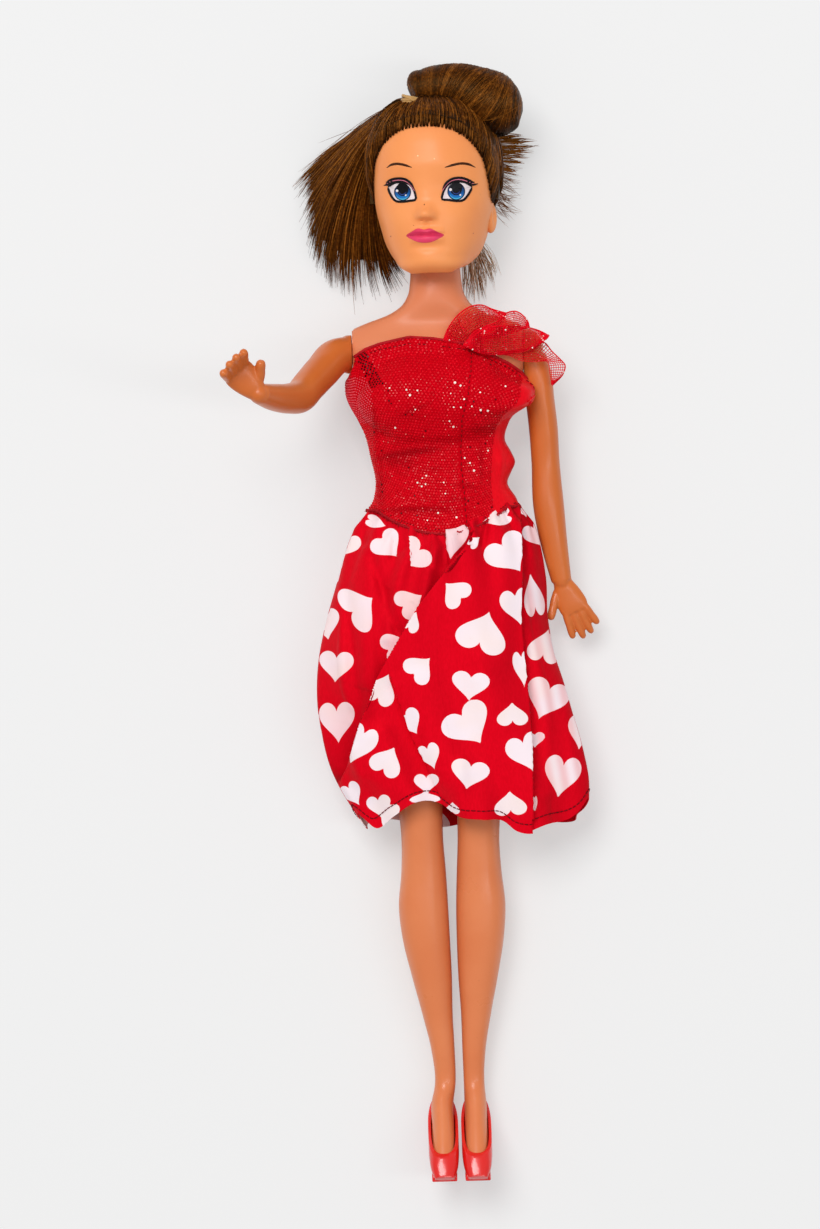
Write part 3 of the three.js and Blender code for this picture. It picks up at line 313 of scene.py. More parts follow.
def limb_rings(rows, reference, power, sides, facing=None):
    """Rings across a path whose rows hold its points, half width, upper and lower half depth."""
    rows = np.asarray(rows, float)
    tangent = unit(np.gradient(rows[:, :3], axis=0)) if facing is None else unit(facing)
    across = unit(np.cross(reference, tangent))
    up = np.cross(tangent, across)
    turn = full_turn(sides)
    rings = []
    for row, side, rise in zip(rows, across, up):
        x, z = oval(row[3], row[4], row[5], power, turn)
        rings.append(row[:3] + x[:, None] * side + z[:, None] * rise)
    return np.array(rings)


def turned_rings(profile, centre, sides=48):
    """Rings of a form that is round about the X axis; its rows hold place and radius."""
    turn = full_turn(sides)
    ring = np.stack([np.zeros(sides), np.cos(turn), np.sin(turn)], axis=1)
    return np.array([ring * radius + [place, centre[0], centre[1]] for place, radius in profile])


def melt(pieces, name, voxel, passes):
    """Fuse overlapping solids to one smooth moulding."""
    piece = merge(pieces, name)
    modify(piece, "REMESH", mode="VOXEL", voxel_size=voxel * MM, use_smooth_shade=True)
    modify(piece, "SMOOTH", factor=0.5, iterations=passes)
    return piece


def camera_point(pixel_x, pixel_y, height):
    """The place, in millimetres, that a photograph's pixel shows at a height over the table."""
    dx, dy = pixel_x - HIP_PIXEL[0], HIP_PIXEL[1] - pixel_y
    x = (dx + dy * IMAGE_TILT) * MM_PER_PIXEL
    y = (dy - dx * IMAGE_TILT) * MM_PER_PIXEL
    share = (CAMERA_HEIGHT - height) / (CAMERA_HEIGHT - FOCUS_HEIGHT)
    return CAMERA_SPOT[0] + (x - CAMERA_SPOT[0]) * share, CAMERA_SPOT[1] + (y - CAMERA_SPOT[1]) * share


def write_attribute(piece, name, values, kind="FLOAT"):
    """Store one value or colour for each point of a piece."""
    layer = piece.data.attributes.new(name, kind, "POINT")
    values = np.asarray(values, np.float32)
    layer.data.foreach_set("value" if kind == "FLOAT" else "color", values.ravel())


def points_of(piece):
    """The points of a piece, in millimetres."""
    values = np.empty(len(piece.data.vertices) * 3)
    piece.data.vertices.foreach_get("co", values)
    return values.reshape(-1, 3) / MM


def move_points(piece, points):
    piece.data.vertices.foreach_set("co", (np.asarray(points) * MM).ravel())
    piece.data.update()


# Finishes

class Finish:
    """A node material, with short ways to add what a finish needs."""

    def __init__(self, name, colour, roughness, **sockets):
        self.material = bpy.data.materials.new(name)
        self.material.use_nodes = True
        self.tree = self.material.node_tree
        self.surface = self.tree.nodes["Principled BSDF"]
        self.surface.inputs["Base Color"].default_value = (*colour, 1)
        self.surface.inputs["Roughness"].default_value = roughness
        for socket, value in sockets.items():
            self.surface.inputs[socket.replace("_", " ")].default_value = value

    def node(self, kind, inputs=None, **settings):
        node = self.tree.nodes.new(kind)
        for key, value in settings.items():
            setattr(node, key, value)
        for key, value in (inputs or {}).items():
            if isinstance(value, bpy.types.NodeSocket):
                self.tree.links.new(value, node.inputs[key])
            else:
                node.inputs[key].default_value = value
        return node

    def place(self, scale=(1, 1, 1)):
        """Object coordinates, drawn out along an axis where a scale is small."""
        where = self.node("ShaderNodeTexCoord").outputs["Object"]
        return self.node("ShaderNodeMapping", {"Vector": where, "Scale": scale}).outputs["Vector"]

    def noise(self, scale, detail=3.0, stretch=(1, 1, 1)):
        return self.node("ShaderNodeTexNoise", {
            "Vector": self.place(stretch), "Scale": scale, "Detail": detail}).outputs["Fac"]

    def attribute(self, name, output="Fac"):
        return self.node("ShaderNodeAttribute", attribute_name=name).outputs[output]

    def span(self, value, low, high, first=0.0, last=1.0):
        return self.node("ShaderNodeMapRange", {
            "Value": value, "From Min": low, "From Max": high, "To Min": first, "To Max": last}).outputs["Result"]

    def maths(self, operation, first, second=0.0):
        return self.node("ShaderNodeMath", {0: first, 1: second}, operation=operation).outputs[0]

    def mix(self, share, first, last, kind="MIX"):
        colours = [(*c, 1) if isinstance(c, (tuple, list)) and len(c) == 3 else c for c in (first, last)]
        node = self.node("ShaderNodeMix", {0: share, 6: colours[0], 7: colours[1]},
                         data_type="RGBA", blend_type=kind)
        return node.outputs[2]

    def ramp(self, value, stops):
        node = self.node("ShaderNodeValToRGB", {"Fac": value})
        while len(node.color_ramp.elements) < len(stops):
            node.color_ramp.elements.new(0.5)
        for element, (spot, colour) in zip(node.color_ramp.elements, stops):
            element.position = spot
            element.color = (*colour, 1)
        return node.outputs["Color"]

    def colour(self, output):
        self.tree.links.new(output, self.surface.inputs["Base Color"])
        return self

    def roughness(self, output):
        self.tree.links.new(output, self.surface.inputs["Roughness"])
        return self

    def mottle(self, scale, detail, first, last):
        """Let the colour wander between two."""
        return self.colour(self.mix(self.noise(scale, detail), first, last))

    def patchy(self, scale, detail, first, last):
        """Let the roughness wander between two values."""
        return self.roughness(self.span(self.noise(scale, detail), 0.3, 0.7, first, last))

    def bump(self, height, depth, strength=1.0):
        """Raise the surface by a height of 0 to 1 times a depth in millimetres."""
        node = self.node("ShaderNodeBump", {"Height": height, "Distance": depth * MM, "Strength": strength})
        self.tree.links.new(node.outputs["Normal"], self.surface.inputs["Normal"])
        return self

    def on(self, *pieces):
        for piece in pieces:
            piece.data.materials.clear()
            piece.data.materials.append(self.material)
        return self


def darker(colour, share):
    return tuple(value * share for value in colour)


def toned(colour, red=1.0, green=1.0, blue=1.0):
    return (min(colour[0] * red, 1), min(colour[1] * green, 1), min(colour[2] * blue, 1))


def moulded_finish(name, colour, roughness, coat=0.25):
    """Doll plastic: faint mottling, fine pores and a film of gloss with handling marks."""
    finish = Finish(name, colour, roughness, Specular_IOR_Level=0.3, Coat_Weight=coat * 0.6, Coat_Roughness=0.2)
    cloud = finish.noise(55, 4)
    warm = finish.mix(finish.span(cloud, 0.35, 0.7), toned(colour, 0.97, 0.92, 0.88), toned(colour, 1.02, 1.05, 1.08))
    specks = finish.span(finish.noise(900, 2), 0.72, 0.78)
    finish.colour(finish.mix(finish.maths("MULTIPLY", specks, 0.25), warm, darker(colour, 0.72)))
    finish.roughness(finish.span(finish.noise(130, 5), 0.3, 0.75, roughness - 0.06, roughness + 0.1))
    finish.bump(finish.noise(1400, 3), 0.02, 0.5)
    return finish


# Stage

def build_stage(context):
    settings = context.scene.doll_stage
    deselect_all()
    bpy.ops.mesh.primitive_plane_add(size=6, location=(0, 0, 0))
    table = context.object
    table.name = "table"
    colour = tuple(settings.table)
    finish = Finish("table_white", colour, 0.9, Specular_IOR_Level=0.0)
    finish.bump(finish.noise(300, 3), 0.02, 0.2)
    lit = finish.node("ShaderNodeEmission", {"Color": (*colour, 1), "Strength": 1.0})
    seen = finish.maths("MULTIPLY", finish.node("ShaderNodeLightPath").outputs["Is Camera Ray"], settings.wash)
    both = finish.node("ShaderNodeMixShader", {0: seen, 1: finish.surface.outputs[0], 2: lit.outputs[0]})
    finish.tree.links.new(both.outputs[0], finish.tree.nodes["Material Output"].inputs["Surface"])
    finish.on(table)

    world = bpy.data.worlds.new("studio")
    context.scene.world = world
    world.use_nodes = True
    sky = world.node_tree.nodes["Background"]
    sky.inputs["Color"].default_value = (1, 1, 1, 1)
    sky.inputs["Strength"].default_value = settings.sky

    for name, spot, size, power in (
            ("key_lamp", (-0.6, 1.0, 2.3), (1.2, 1.2), settings.key),
            ("strip_lamp", (0.62, -0.1, 1.5), (0.16, 1.3), settings.key * 0.1)):
        lamp = bpy.data.lights.new(name, "AREA")
        lamp.shape = "RECTANGLE"
        lamp.size, lamp.size_y = size
        lamp.energy = power
        holder = bpy.data.objects.new(name, lamp)
        holder.location = spot
        holder.rotation_euler = (Vector((0, 0, 0.02)) - Vector(spot)).to_track_quat("-Z", "Y").to_euler()
        context.collection.objects.link(holder)

    lens = bpy.data.cameras.new("overhead_camera")
    lens.sensor_fit = "VERTICAL"
    lens.sensor_height = SENSOR
    height = settings.camera_height / MM
    lens.lens = SENSOR * (height - FOCUS_HEIGHT) / (IMAGE_ROWS * MM_PER_PIXEL)
    lens.clip_end = 20
    camera = bpy.data.objects.new("overhead_camera", lens)
    camera.location = (CAMERA_SPOT[0] * MM, CAMERA_SPOT[1] * MM, settings.camera_height)
    camera.rotation_euler = (0, 0, -math.asin(IMAGE_TILT))
    context.collection.objects.link(camera)
    context.scene.camera = camera
    context.scene.view_settings.view_transform = "Standard"


# Torso

TORSO_ROWS = np.array([
    [-.151, .26, .48, .48], [-.093, .61, .84, .84], [0, .76, .98, .98], [.093, .805, 1, 1],
    [.186, .765, .9, .88], [.279, .69, .77, .69], [.372, .66, .74, .61], [.465, .72, .8, .67],
    [.558, .83, .95, .8], [.628, .92, .94, .85], [.698, 1.08, .8, .8], [.767, 1.14, .66, .7],
    [.805, 1.03, .52, .55], [.83, .81, .48, .5], [.849, .6, .51, .53], [.874, .435, .56, .59],
    [.907, .342, .58, .6], [.953, .303, .56, .58], [1, .29, .54, .56],
]) * [86, 23, 12.5, 12.5]
TORSO_POWER = 2.3
SHOULDER_SIDE = 23.0
SHOULDER_Y = 63.0
HIP_RADIUS = 11.6


def torso_row(y):
    """Half width, front and back depth of the torso at heights along the body."""
    return through(TORSO_ROWS[:, 0], TORSO_ROWS[:, 1:], y)


def soft_max(first, second, width):
    """The higher of two surfaces, with a soft crease of the given width where they meet."""
    share = np.clip(0.5 + (second - first) / (2 * width), 0, 1)
    return first * (1 - share) + second * share + width * share * (1 - share)


def bust_height(x, y, grow):
    """Height of the bust over the body's middle, or a low value beside it."""
    best = np.full(np.shape(x), -99.0)
    for side in (-8.6, 8.6):
        out = ((x - side) / (9.6 + grow)) ** 2 + ((y - 50.5) / (10.4 + grow)) ** 2
        rise = np.where(out < 1, 6.8 + (8.4 + grow) * np.sqrt(np.maximum(1 - out, 0)), -99.0)
        best = np.maximum(best, rise)
    return best


def torso_front(x, y, grow):
    """Height over the table of the torso's front at places on it."""
    width, front, _ = torso_row(np.ravel(y)).T
    share = np.clip(np.abs(np.ravel(x)) / (width + grow), 0, 0.9999)
    rise = (front + grow) * (1 - share ** TORSO_POWER) ** (1 / TORSO_POWER)
    return rise.reshape(np.shape(y)) + BODY_HEIGHT


def torso_ring(y, grow, turn, side=SHOULDER_SIDE):
    """The outline of the torso at a height, with its flat sides at the shoulders."""
    width, front, back = torso_row(np.array([y]))[0]
    x, z = oval(width + grow, front + grow, back + grow, TORSO_POWER, turn)
    z = np.where(z > 0, soft_max(z, bust_height(x, y, grow), 0.9), z)
    return np.stack([np.clip(x, -side, side), np.full(len(turn), float(y)), z + BODY_HEIGHT], axis=1)


def torso_form(name, grow, low, high, count, sides, side):
    turn = full_turn(sides)
    return loft(name, [torso_ring(y, grow, turn, side) for y in np.linspace(low, high, count)])


def build_torso(context):
    skin = context.scene.doll_skin
    body = torso_form("torso", 0, TORSO_ROWS[0, 0], 86, 130, 110, SHOULDER_SIDE)
    cut(body, torso_form("hollow", -1.7, 16, 67.2, 60, 60, SHOULDER_SIDE - 1.7))
    centre = (0, SHOULDER_Y, BODY_HEIGHT)
    cut(body, rod(2.7, -30, 30, "x", centre))
    cut(body, rod(3.9, -21.3, 21.3, "x", centre))
    cut(body, rod(3.3, 60, 90, "y", (0, 0, BODY_HEIGHT)))
    cut(body, rod(2.7, -30, 30, "x", (0, 0, BODY_HEIGHT)))
    for side in (-1, 1):
        low, high = sorted((side * 2.7, side * 27))
        cut(body, rod(HIP_RADIUS + 0.3, low, high, "x", (0, 0, BODY_HEIGHT), 64))
        cut(body, block((low, -60, BODY_HEIGHT), (high, HIP_RADIUS + 0.3, 60)))
        cut(body, block((low, -60, -20), (high, 1, BODY_HEIGHT)))
    finish = moulded_finish("torso_plastic", tuple(skin.torso), 0.42, 0.15)
    half = skin.seam / MM / 2
    for name, low, high in (("torso_front", BODY_HEIGHT + half, 60), ("torso_back", -20, BODY_HEIGHT - half)):
        shell = body.copy()
        shell.data = body.data.copy()
        bpy.context.collection.objects.link(shell)
        shell.name = name
        cut(shell, block((-60, -60, low), (60, 120, high)), "INTERSECT")
        modify(shell, "BEVEL", width=0.12 * MM, segments=1, limit_method="ANGLE", angle_limit=math.radians(50))
        smooth(shell, 40)
        finish.on(shell)
        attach(shell, "torso")
        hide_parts(name + "_shell")
    bpy.data.objects.remove(body)
    nylon = Finish("knob_nylon", paint(216, 210, 196), 0.5)
    nylon.bump(nylon.noise(600, 3), 0.02, 0.4)
    nylon.mottle(120, 3, paint(206, 199, 184), paint(224, 219, 207))
    for node in ("hip_pin", "neck_knob"):
        nylon.on(bpy.data.objects[node])


# Arms

ARM_ROWS = {
    "left": [[.257, .03, 0, .86, .92], [.382, .1, -.004, .89, .95], [.485, .22, -.015, .85, .9],
             [.566, .34, -.03, .85, .86], [.603, .47, -.045, .83, .82], [.662, .66, -.05, .91, .82],
             [.824, .84, -.06, .77, .7], [1, .98, -.07, .6, .53]],
    "right": [[.03, .0, .02, 1, 1.02], [.06, .008, .05, 1.06, 1.04], [.128, .078, .156, 1.02, 1.02],
              [.183, .144, .266, .97, .98], [.216, .187, .35, .94, .96], [.26, .201, .45, .87, .87],
              [.322, .2, .578, .78, .76], [.375, .19, .695, .62, .58]],
}
ARM_LENGTH = 64.0
ARM_SPREAD = {"left": 8.705, "right": 64.0}
ARM_HALF_WIDTH = 4.6
HAND_WAYS = {
    "left": ([.4, -.91, -.05], [-.91, -.4, 0], [.42, -.88, -.2], [-.25, -.95, .1]),
    "right": ([-.65, .69, .32], [.73, .68, 0], [-.12, .36, .93], [.1, .8, .5]),
}
PALM_ROWS = [[-.12, .52, .72], [.15, .76, 1.05], [.5, 1, 1], [.85, 1.08, .86], [1, 1, .7]]
FINGERS = [[.74, .86, .16], [.25, 1, .04], [-.25, .96, -.05], [-.74, .78, -.18]]
FINGER_ROWS = [[-.12, .85], [.3, 1], [.5, .93], [.62, .96], [.86, .86], [.97, .6], [1, .3]]
PALM_LENGTH = 9.2
PALM_REACH = 3.7
# half width and half depth of the palm, then length and half width of the fingers and of the thumb
HAND_SIZES = {"left": (3.7, 1.55, 8.6, 1.08, 7.2, 1.22), "right": (3.9, 1.85, 7.9, 1.3, 5.4, 1.4)}
DOME_RADIUS = {"left": 5.6, "right": 5.25}
# share of the radius, and share of the way out from the shoulder's face
DOME_ROWS = [(1, 0), (.98, .3), (.84, .62), (.56, .86), (.25, .96)]
KNOB_ROWS = [(19.3, 2.5), (21, 3.6), (21.02, 2.4), (24, 2.4)]


def digit_form(root, way, length, radius, reference, curl):
    """One finger, bent a little towards the palm."""
    rows = [[*(root + way * travel * length + curl * travel ** 2 * length), *[size * radius] * 3]
            for travel, size in FINGER_ROWS]
    return loft("digit", limb_rings(along_path(rows, 24), reference, 2, 20))


def hand_forms(side, wrist):
    """The palm, the four fingers and the thumb, as solids that overlap."""
    along, thumb_side, finger_way, thumb_way = unit(HAND_WAYS[side])
    wide, thick, finger, finger_radius, thumb, thumb_radius = HAND_SIZES[side]
    back = np.cross(along, thumb_side)
    rows = [[*(wrist + along * travel * PALM_LENGTH), spread * wide, depth * thick, depth * thick]
            for travel, spread, depth in PALM_ROWS]
    forms = [loft("palm", limb_rings(along_path(rows, 24), back, 2.3, 36))]
    bend = back * (0.1 if side == "left" else -0.14)
    for place, length, spread in FINGERS:
        root = wrist + along * PALM_LENGTH * 0.92 + thumb_side * place * PALM_REACH
        way = unit(finger_way + thumb_side * spread)
        forms.append(digit_form(root, way, length * finger, finger_radius, thumb_side, bend))
    root = wrist + along * PALM_LENGTH * 0.3 + thumb_side * PALM_REACH * 0.78
    forms.append(digit_form(root, thumb_way, thumb, thumb_radius, thumb_side, np.zeros(3)))
    return forms


def build_arms(context):
    skin = context.scene.doll_skin
    for side, sign, reference in (("left", 1, (0, 0, 1)), ("right", -1, (0, 1, 0))):
        face = SHOULDER_SIDE + 0.12
        scale = [sign * ARM_SPREAD[side], -ARM_LENGTH, ARM_LENGTH, ARM_HALF_WIDTH, ARM_HALF_WIDTH]
        rows = np.array(ARM_ROWS[side]) * scale
        rows = np.column_stack([rows, rows[:, 4]])
        rows[:, :3] += [sign * face, SHOULDER_Y, BODY_HEIGHT]
        wrist, size = rows[-1, :3], 0.97 * rows[-1, 4]
        joint = [(wrist[0] - size * math.cos(a), size * math.sin(a)) for a in np.linspace(0.05, math.pi - 0.05, 16)]
        arm = loft("arm", limb_rings(along_path(rows, 70), reference, 2.05, 48))
        low, high = sorted((sign * face, sign * -60))
        cut(arm, block((low, -90, -90), (high, 120, 120)))
        ball = DOME_RADIUS[side]
        dome = [(sign * (face + reach * ball), radius * ball) for radius, reach in DOME_ROWS]
        knob = [(sign * x, radius) for x, radius in KNOB_ROWS]
        forms = [arm, loft("dome", turned_rings(dome, (SHOULDER_Y, BODY_HEIGHT))),
                 loft("knob", turned_rings(knob, (SHOULDER_Y, BODY_HEIGHT)))]
        forms += hand_forms(side, wrist) + [loft("wrist", turned_rings(joint, wrist[1:]))]
        moulding = melt(forms, side + "_arm_moulding", 0.26, 7)
        moulded_finish(side + "_arm_vinyl", tuple(skin.arms), 0.36, 0.45).on(moulding)
        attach(moulding, side + "_arm")
        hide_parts(side + "_arm")


# Legs and pumps

LEG_ROWS = [
    [.02, 0, 0, .86, .98], [.1, .12, 0, .96, .98], [.2, .3, 0, .95, .92], [.32, .58, 0, .88, .81],
    [.43, .85, 0, .76, .69], [.51, 1, 0, .71, .6], [.57, 1, .02, .76, .59], [.64, 1, -.05, .84, .62],
    [.7, 1, .06, .81, .61], [.78, 1, .36, .68, .53], [.86, 1, .66, .51, .41], [.93, 1, .93, .4, .32],
    [1, 1, 1, .355, .29],
]
LEG_LENGTH = 136.0
THIGH_WIDTH = 8.0
THIGH_DEPTH = 10.8
HIP_X = 10.2
KNEE_X = {"right": 7.9, "left": 7.3}
ANKLE_X = {"right": 3.6, "left": 4.3}
ANKLE_HEIGHT = 7.3
FOOT_X = 4.5
HIP_ROWS = [[0, .94], [.06, 1], [.3, 1], [.66, 1], [.83, .9], [.95, .68], [1, .4]]
FOOT_ROWS = [[0, 0, .66, .96], [.12, 0, 1, 1], [.38, 0, .98, 1], [.56, 0, .8, 1], [.79, .02, .56, .97],
             [.94, .06, .33, .8], [1, .12, .22, .5]]
FOOT_SLOPE = math.radians(28)
FOOT_ALONG = np.array([0, -math.cos(FOOT_SLOPE), math.sin(FOOT_SLOPE)])
FOOT_DOWN = np.array([0, -math.sin(FOOT_SLOPE), -math.cos(FOOT_SLOPE)])
FOOT_LENGTH = 25.0
HEEL_DEPTH = 9.6


def foot_start(sign):
    """The middle of the ankle's top edge, where the foot starts."""
    return np.array([sign * FOOT_X, -LEG_LENGTH, ANKLE_HEIGHT + LEG_ROWS[-1][4] * THIGH_DEPTH])


def foot_place(sign, along, down):
    """A place on the foot, at shares of its length and of the heel's depth."""
    return foot_start(sign) + FOOT_ALONG * along * FOOT_LENGTH + FOOT_DOWN * down * HEEL_DEPTH


def foot_rows(sign, grow, straight):
    """Rows along the foot; a pump starts straight back behind the heel."""
    rows = []
    for i, (along, top, bottom, width) in enumerate(FOOT_ROWS):
        travel = along * FOOT_LENGTH
        if straight and i == 0:
            top, bottom, width = FOOT_ROWS[1][1:]
            travel = -HEEL_DEPTH
        if i == len(FOOT_ROWS) - 1:
            travel += grow
        upper, lower = top * HEEL_DEPTH - grow, bottom * HEEL_DEPTH + grow
        spot = foot_start(sign) + FOOT_ALONG * travel + FOOT_DOWN * (upper + lower) / 2
        half = (lower - upper) / 2
        rows.append([*spot, width * 3 + grow, half, half])
    return rows


def leg_form(side, sign):
    """The solid of one leg and its foot."""
    rows, facing = [], []
    for down, knee, ankle, width, depth in LEG_ROWS:
        x = HIP_X + (KNEE_X[side] - HIP_X) * knee + (ANKLE_X[side] - KNEE_X[side]) * ankle
        height = BODY_HEIGHT + (ANKLE_HEIGHT - BODY_HEIGHT) * down
        half = depth * THIGH_DEPTH
        rows.append([sign * x, -down * LEG_LENGTH, height, width * THIGH_WIDTH, half, half])
        facing.append([0, -1, 0])
    for row in foot_rows(sign, 0, False)[1:]:
        rows.append(row)
        facing.append(FOOT_ALONG)
    path = along_path(np.column_stack([rows, facing]), 110)
    return loft("leg", limb_rings(path[:, :6], (0, 0, 1), 2.1, 56, path[:, 6:]))


def build_legs(context):
    skin = context.scene.doll_skin
    for side, sign in (("right", -1), ("left", 1)):
        hip = [(sign * (3 + travel * 14.3), radius * HIP_RADIUS) for travel, radius in HIP_ROWS]
        disc = loft("hip", turned_rings(hip, (0, BODY_HEIGHT), 64))
        moulding = melt([leg_form(side, sign), disc], side + "_leg_moulding", 0.5, 5)
        low, high = sorted((sign * 3, sign * -40))
        cut(moulding, block((low, -15.6, -20), (high, 15.6, 60)))
        for radius, near, far in ((2.7, 0.5, 6.4), (3.5, 6.2, 10.1)):
            low, high = sorted((sign * near, sign * far))
            cut(moulding, rod(radius, low, high, "x", (0, 0, BODY_HEIGHT)))
        smooth(moulding, 50)
        moulded_finish(side + "_leg_plastic", tuple(skin.legs), 0.33, 0.4).on(moulding)
        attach(moulding, side + "_leg")
        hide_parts(side + "_leg")


def bar_across(points, sign, half):
    """A bar across the pump, with the given outline seen from the side."""
    return straight_bar("bar", [[sign * FOOT_X + x, y, z] for x in (-half, half) for y, z in points])


def pump_form(sign, grow, name):
    """The body of a pump, grown round the foot."""
    rows = foot_rows(sign, grow, True)
    facing = np.tile(FOOT_ALONG, (60, 1))
    return loft(name, limb_rings(along_path(rows, 60), (0, 0, 1), 2.4, 64, facing))


def build_pumps(context):
    vinyl = tuple(context.scene.doll_dress.pump)
    for side, sign in (("right", -1), ("left", 1)):
        toe, ball, heel_back, heel_front = (
            foot_place(sign, along, down) for along, down in ((1, .22), (.68, .68), (.14, 1), (.4, 1)))
        ground = toe[1] - 0.3 - 0.8 - 0.5
        pump = pump_form(sign, 1.1, "pump")
        sole = [(ball[1], ball[2]), (toe[1], toe[2]), (ground, toe[2]), (ground, ball[2])]
        heel = [(heel_back[1], heel_back[2]), (heel_front[1], heel_front[2]),
                (ground, heel_back[2] + 2.2), (ground, heel_back[2])]
        for outline, half in ((sole, 3.4), (heel, 1.6)):
            bar = bar_across(outline, sign, half)
            modify(bar, "BEVEL", width=0.35 * MM, segments=3)
            cut(pump, bar, "UNION")
        cut(pump, pump_form(sign, 0.3, "foot_space"))
        low, high = np.array([-141.8, heel_back[2]]), np.array([-153.6, toe[2]])
        run = high - low
        rim = [tuple(low - run), tuple(high + run), (0, high[1] + run[1]), (0, low[1] - run[1])]
        cut(pump, bar_across(rim, sign, 12))
        pump.name = side + "_pump"
        modify(pump, "BEVEL", width=0.14 * MM, segments=2, limit_method="ANGLE", angle_limit=math.radians(45))
        smooth(pump, 35)
        finish = Finish(side + "_pump_vinyl", vinyl, 0.24, Coat_Weight=0.6, Coat_Roughness=0.12)
        finish.mottle(90, 3, toned(vinyl, 0.93, 0.8, 0.8), toned(vinyl, 1.03, 1.4, 1.3))
        finish.bump(finish.noise(500, 3), 0.03, 0.5)
        finish.on(pump)
        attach(pump, side + "_shoe")
        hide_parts(side + "_shoe")


# Head

CHIN_Y = 84.0
HEAD_LENGTH = 46.0
HEAD_TOP = CHIN_Y + HEAD_LENGTH
HEAD_ROWS = np.array([
    [0, .34, .72, -.32], [.025, .5, .82, .06], [.087, .675, .89, .7], [.174, .815, .92, .87],
    [.261, .89, .94, .93], [.37, .965, .955, .97], [.5, 1, .98, .98], [.63, 1, 1, .98],
    [.761, .95, .96, .94], [.87, .81, .81, .8], [.957, .57, .55, .55], [1, .3, .28, .28],
]) * [HEAD_LENGTH, 16.2, 17, 17] + [CHIN_Y, 0, 0, 0]
HEAD_FORWARD = 2.5
HEAD_SHIFT = 0.7
HEAD_POWER = 2.15
NOSE_ROWS = np.array([[0, .9, 0], [.3, .95, .03], [.52, .95, .12], [.68, .98, .5], [.8, 1.02, .95], [.88, 1.02, 1],
                      [.96, .98, .72], [1, .9, .25]])


def turned_head(points):
    """Move points of the straight head to where the turned head has them."""
    points = np.asarray(points, float)
    c, s = math.cos(HEAD_TURN), math.sin(HEAD_TURN)
    x, y, z = points[..., 0], points[..., 1], points[..., 2]
    return np.stack([x * c + z * s + HEAD_SHIFT, y, z * c - x * s + BODY_HEIGHT], axis=-1)


def skull_ring(y, grow, turn):
    """The outline of the straight skull at a height, grown on all sides."""
    height = np.clip((y - CHIN_Y + grow) / (HEAD_LENGTH + 2 * grow), 0, 1) * HEAD_LENGTH + CHIN_Y
    width, front, back = through(HEAD_ROWS[:, 0], HEAD_ROWS[:, 1:], np.array([height]))[0]
    x, z = oval(width + grow, (front + back) / 2 + grow, (front + back) / 2 + grow, HEAD_POWER, turn)
    return np.stack([x, np.full(len(turn), float(y)), z + HEAD_FORWARD + (front - back) / 2], axis=1)


def skull_rings(grow, count, sides):
    """The outlines of the straight skull from chin to crown."""
    turn = full_turn(sides)
    return np.array([skull_ring(y, grow, turn) for y in np.linspace(CHIN_Y - grow, HEAD_TOP + grow, count)])


# place beside the middle and along the body, reach both ways, height and power of each form on both sides of the face
FACE_PAIRS = ((6.6, 105.2, 4.4, 3.4, -1.0, 2.0), (6.8, 112.2, 5.5, 2.2, 0.35, 2.0), (8.8, 97.2, 4.6, 4.2, 0.55, 2.0),
              (1.95, 98.2, 1.15, 1.1, 0.62, 2.2), (1.1, 97.0, 0.55, 0.4, -0.4, 2.0))
NOSE_TOP = 107.4
NOSE_LENGTH = 10.4
EAR_SIZE = (1.9, 4.3, 2.6)


def bump_of(x, y, centre, reach, power=2.0):
    """A round swelling of height one."""
    return np.exp(-np.abs((x - centre[0]) / reach[0]) ** power - np.abs((y - centre[1]) / reach[1]) ** power)


def face_relief(x, y):
    """How far the moulded features stand out of the skull or lie in it."""
    relief = np.zeros_like(x)
    for side in (-1, 1):
        for beside, along, wide, tall, height, power in FACE_PAIRS:
            relief += height * bump_of(x, y, (side * beside, along), (wide, tall), power)
    down = (NOSE_TOP - y) / NOSE_LENGTH
    inside = (down > -0.05) & (down < 1.12)
    rows = through(NOSE_ROWS[:, 0], NOSE_ROWS[:, 1:], np.clip(down, 0, 1))
    width = rows[..., 0] * 1.95
    fade = np.clip((1.12 - down) / 0.14, 0, 1) * np.clip((down + 0.05) / 0.1, 0, 1)
    relief += np.where(inside, rows[..., 1] * 2.8 * np.exp(-np.abs(x / width) ** 2.3) * fade, 0)
    lips = np.clip(1 - (np.abs(x) / 4.9) ** 2, 0, 1)
    upper_y = 94.35 - 0.35 * np.exp(-(x / 0.9) ** 2) - 0.06 * np.abs(x)
    relief += 0.85 * lips ** 0.7 * np.exp(-np.abs((y - upper_y) / 0.85) ** 2.2)
    relief += 1.0 * lips ** 0.8 * np.exp(-np.abs((y - 92.1) / 1.0) ** 2.2)
    relief -= 0.45 * lips ** 0.5 * np.exp(-((y - 93.3) / 0.32) ** 2)
    relief -= 0.25 * np.exp(-(x / 0.7) ** 2) * np.exp(-((y - 95.9) / 0.8) ** 2)
    relief -= 0.45 * bump_of(x, y, (0, 89.9), (4.2, 1.0))
    relief += 0.5 * bump_of(x, y, (0, 87.0), (4.6, 2.2))
    return relief


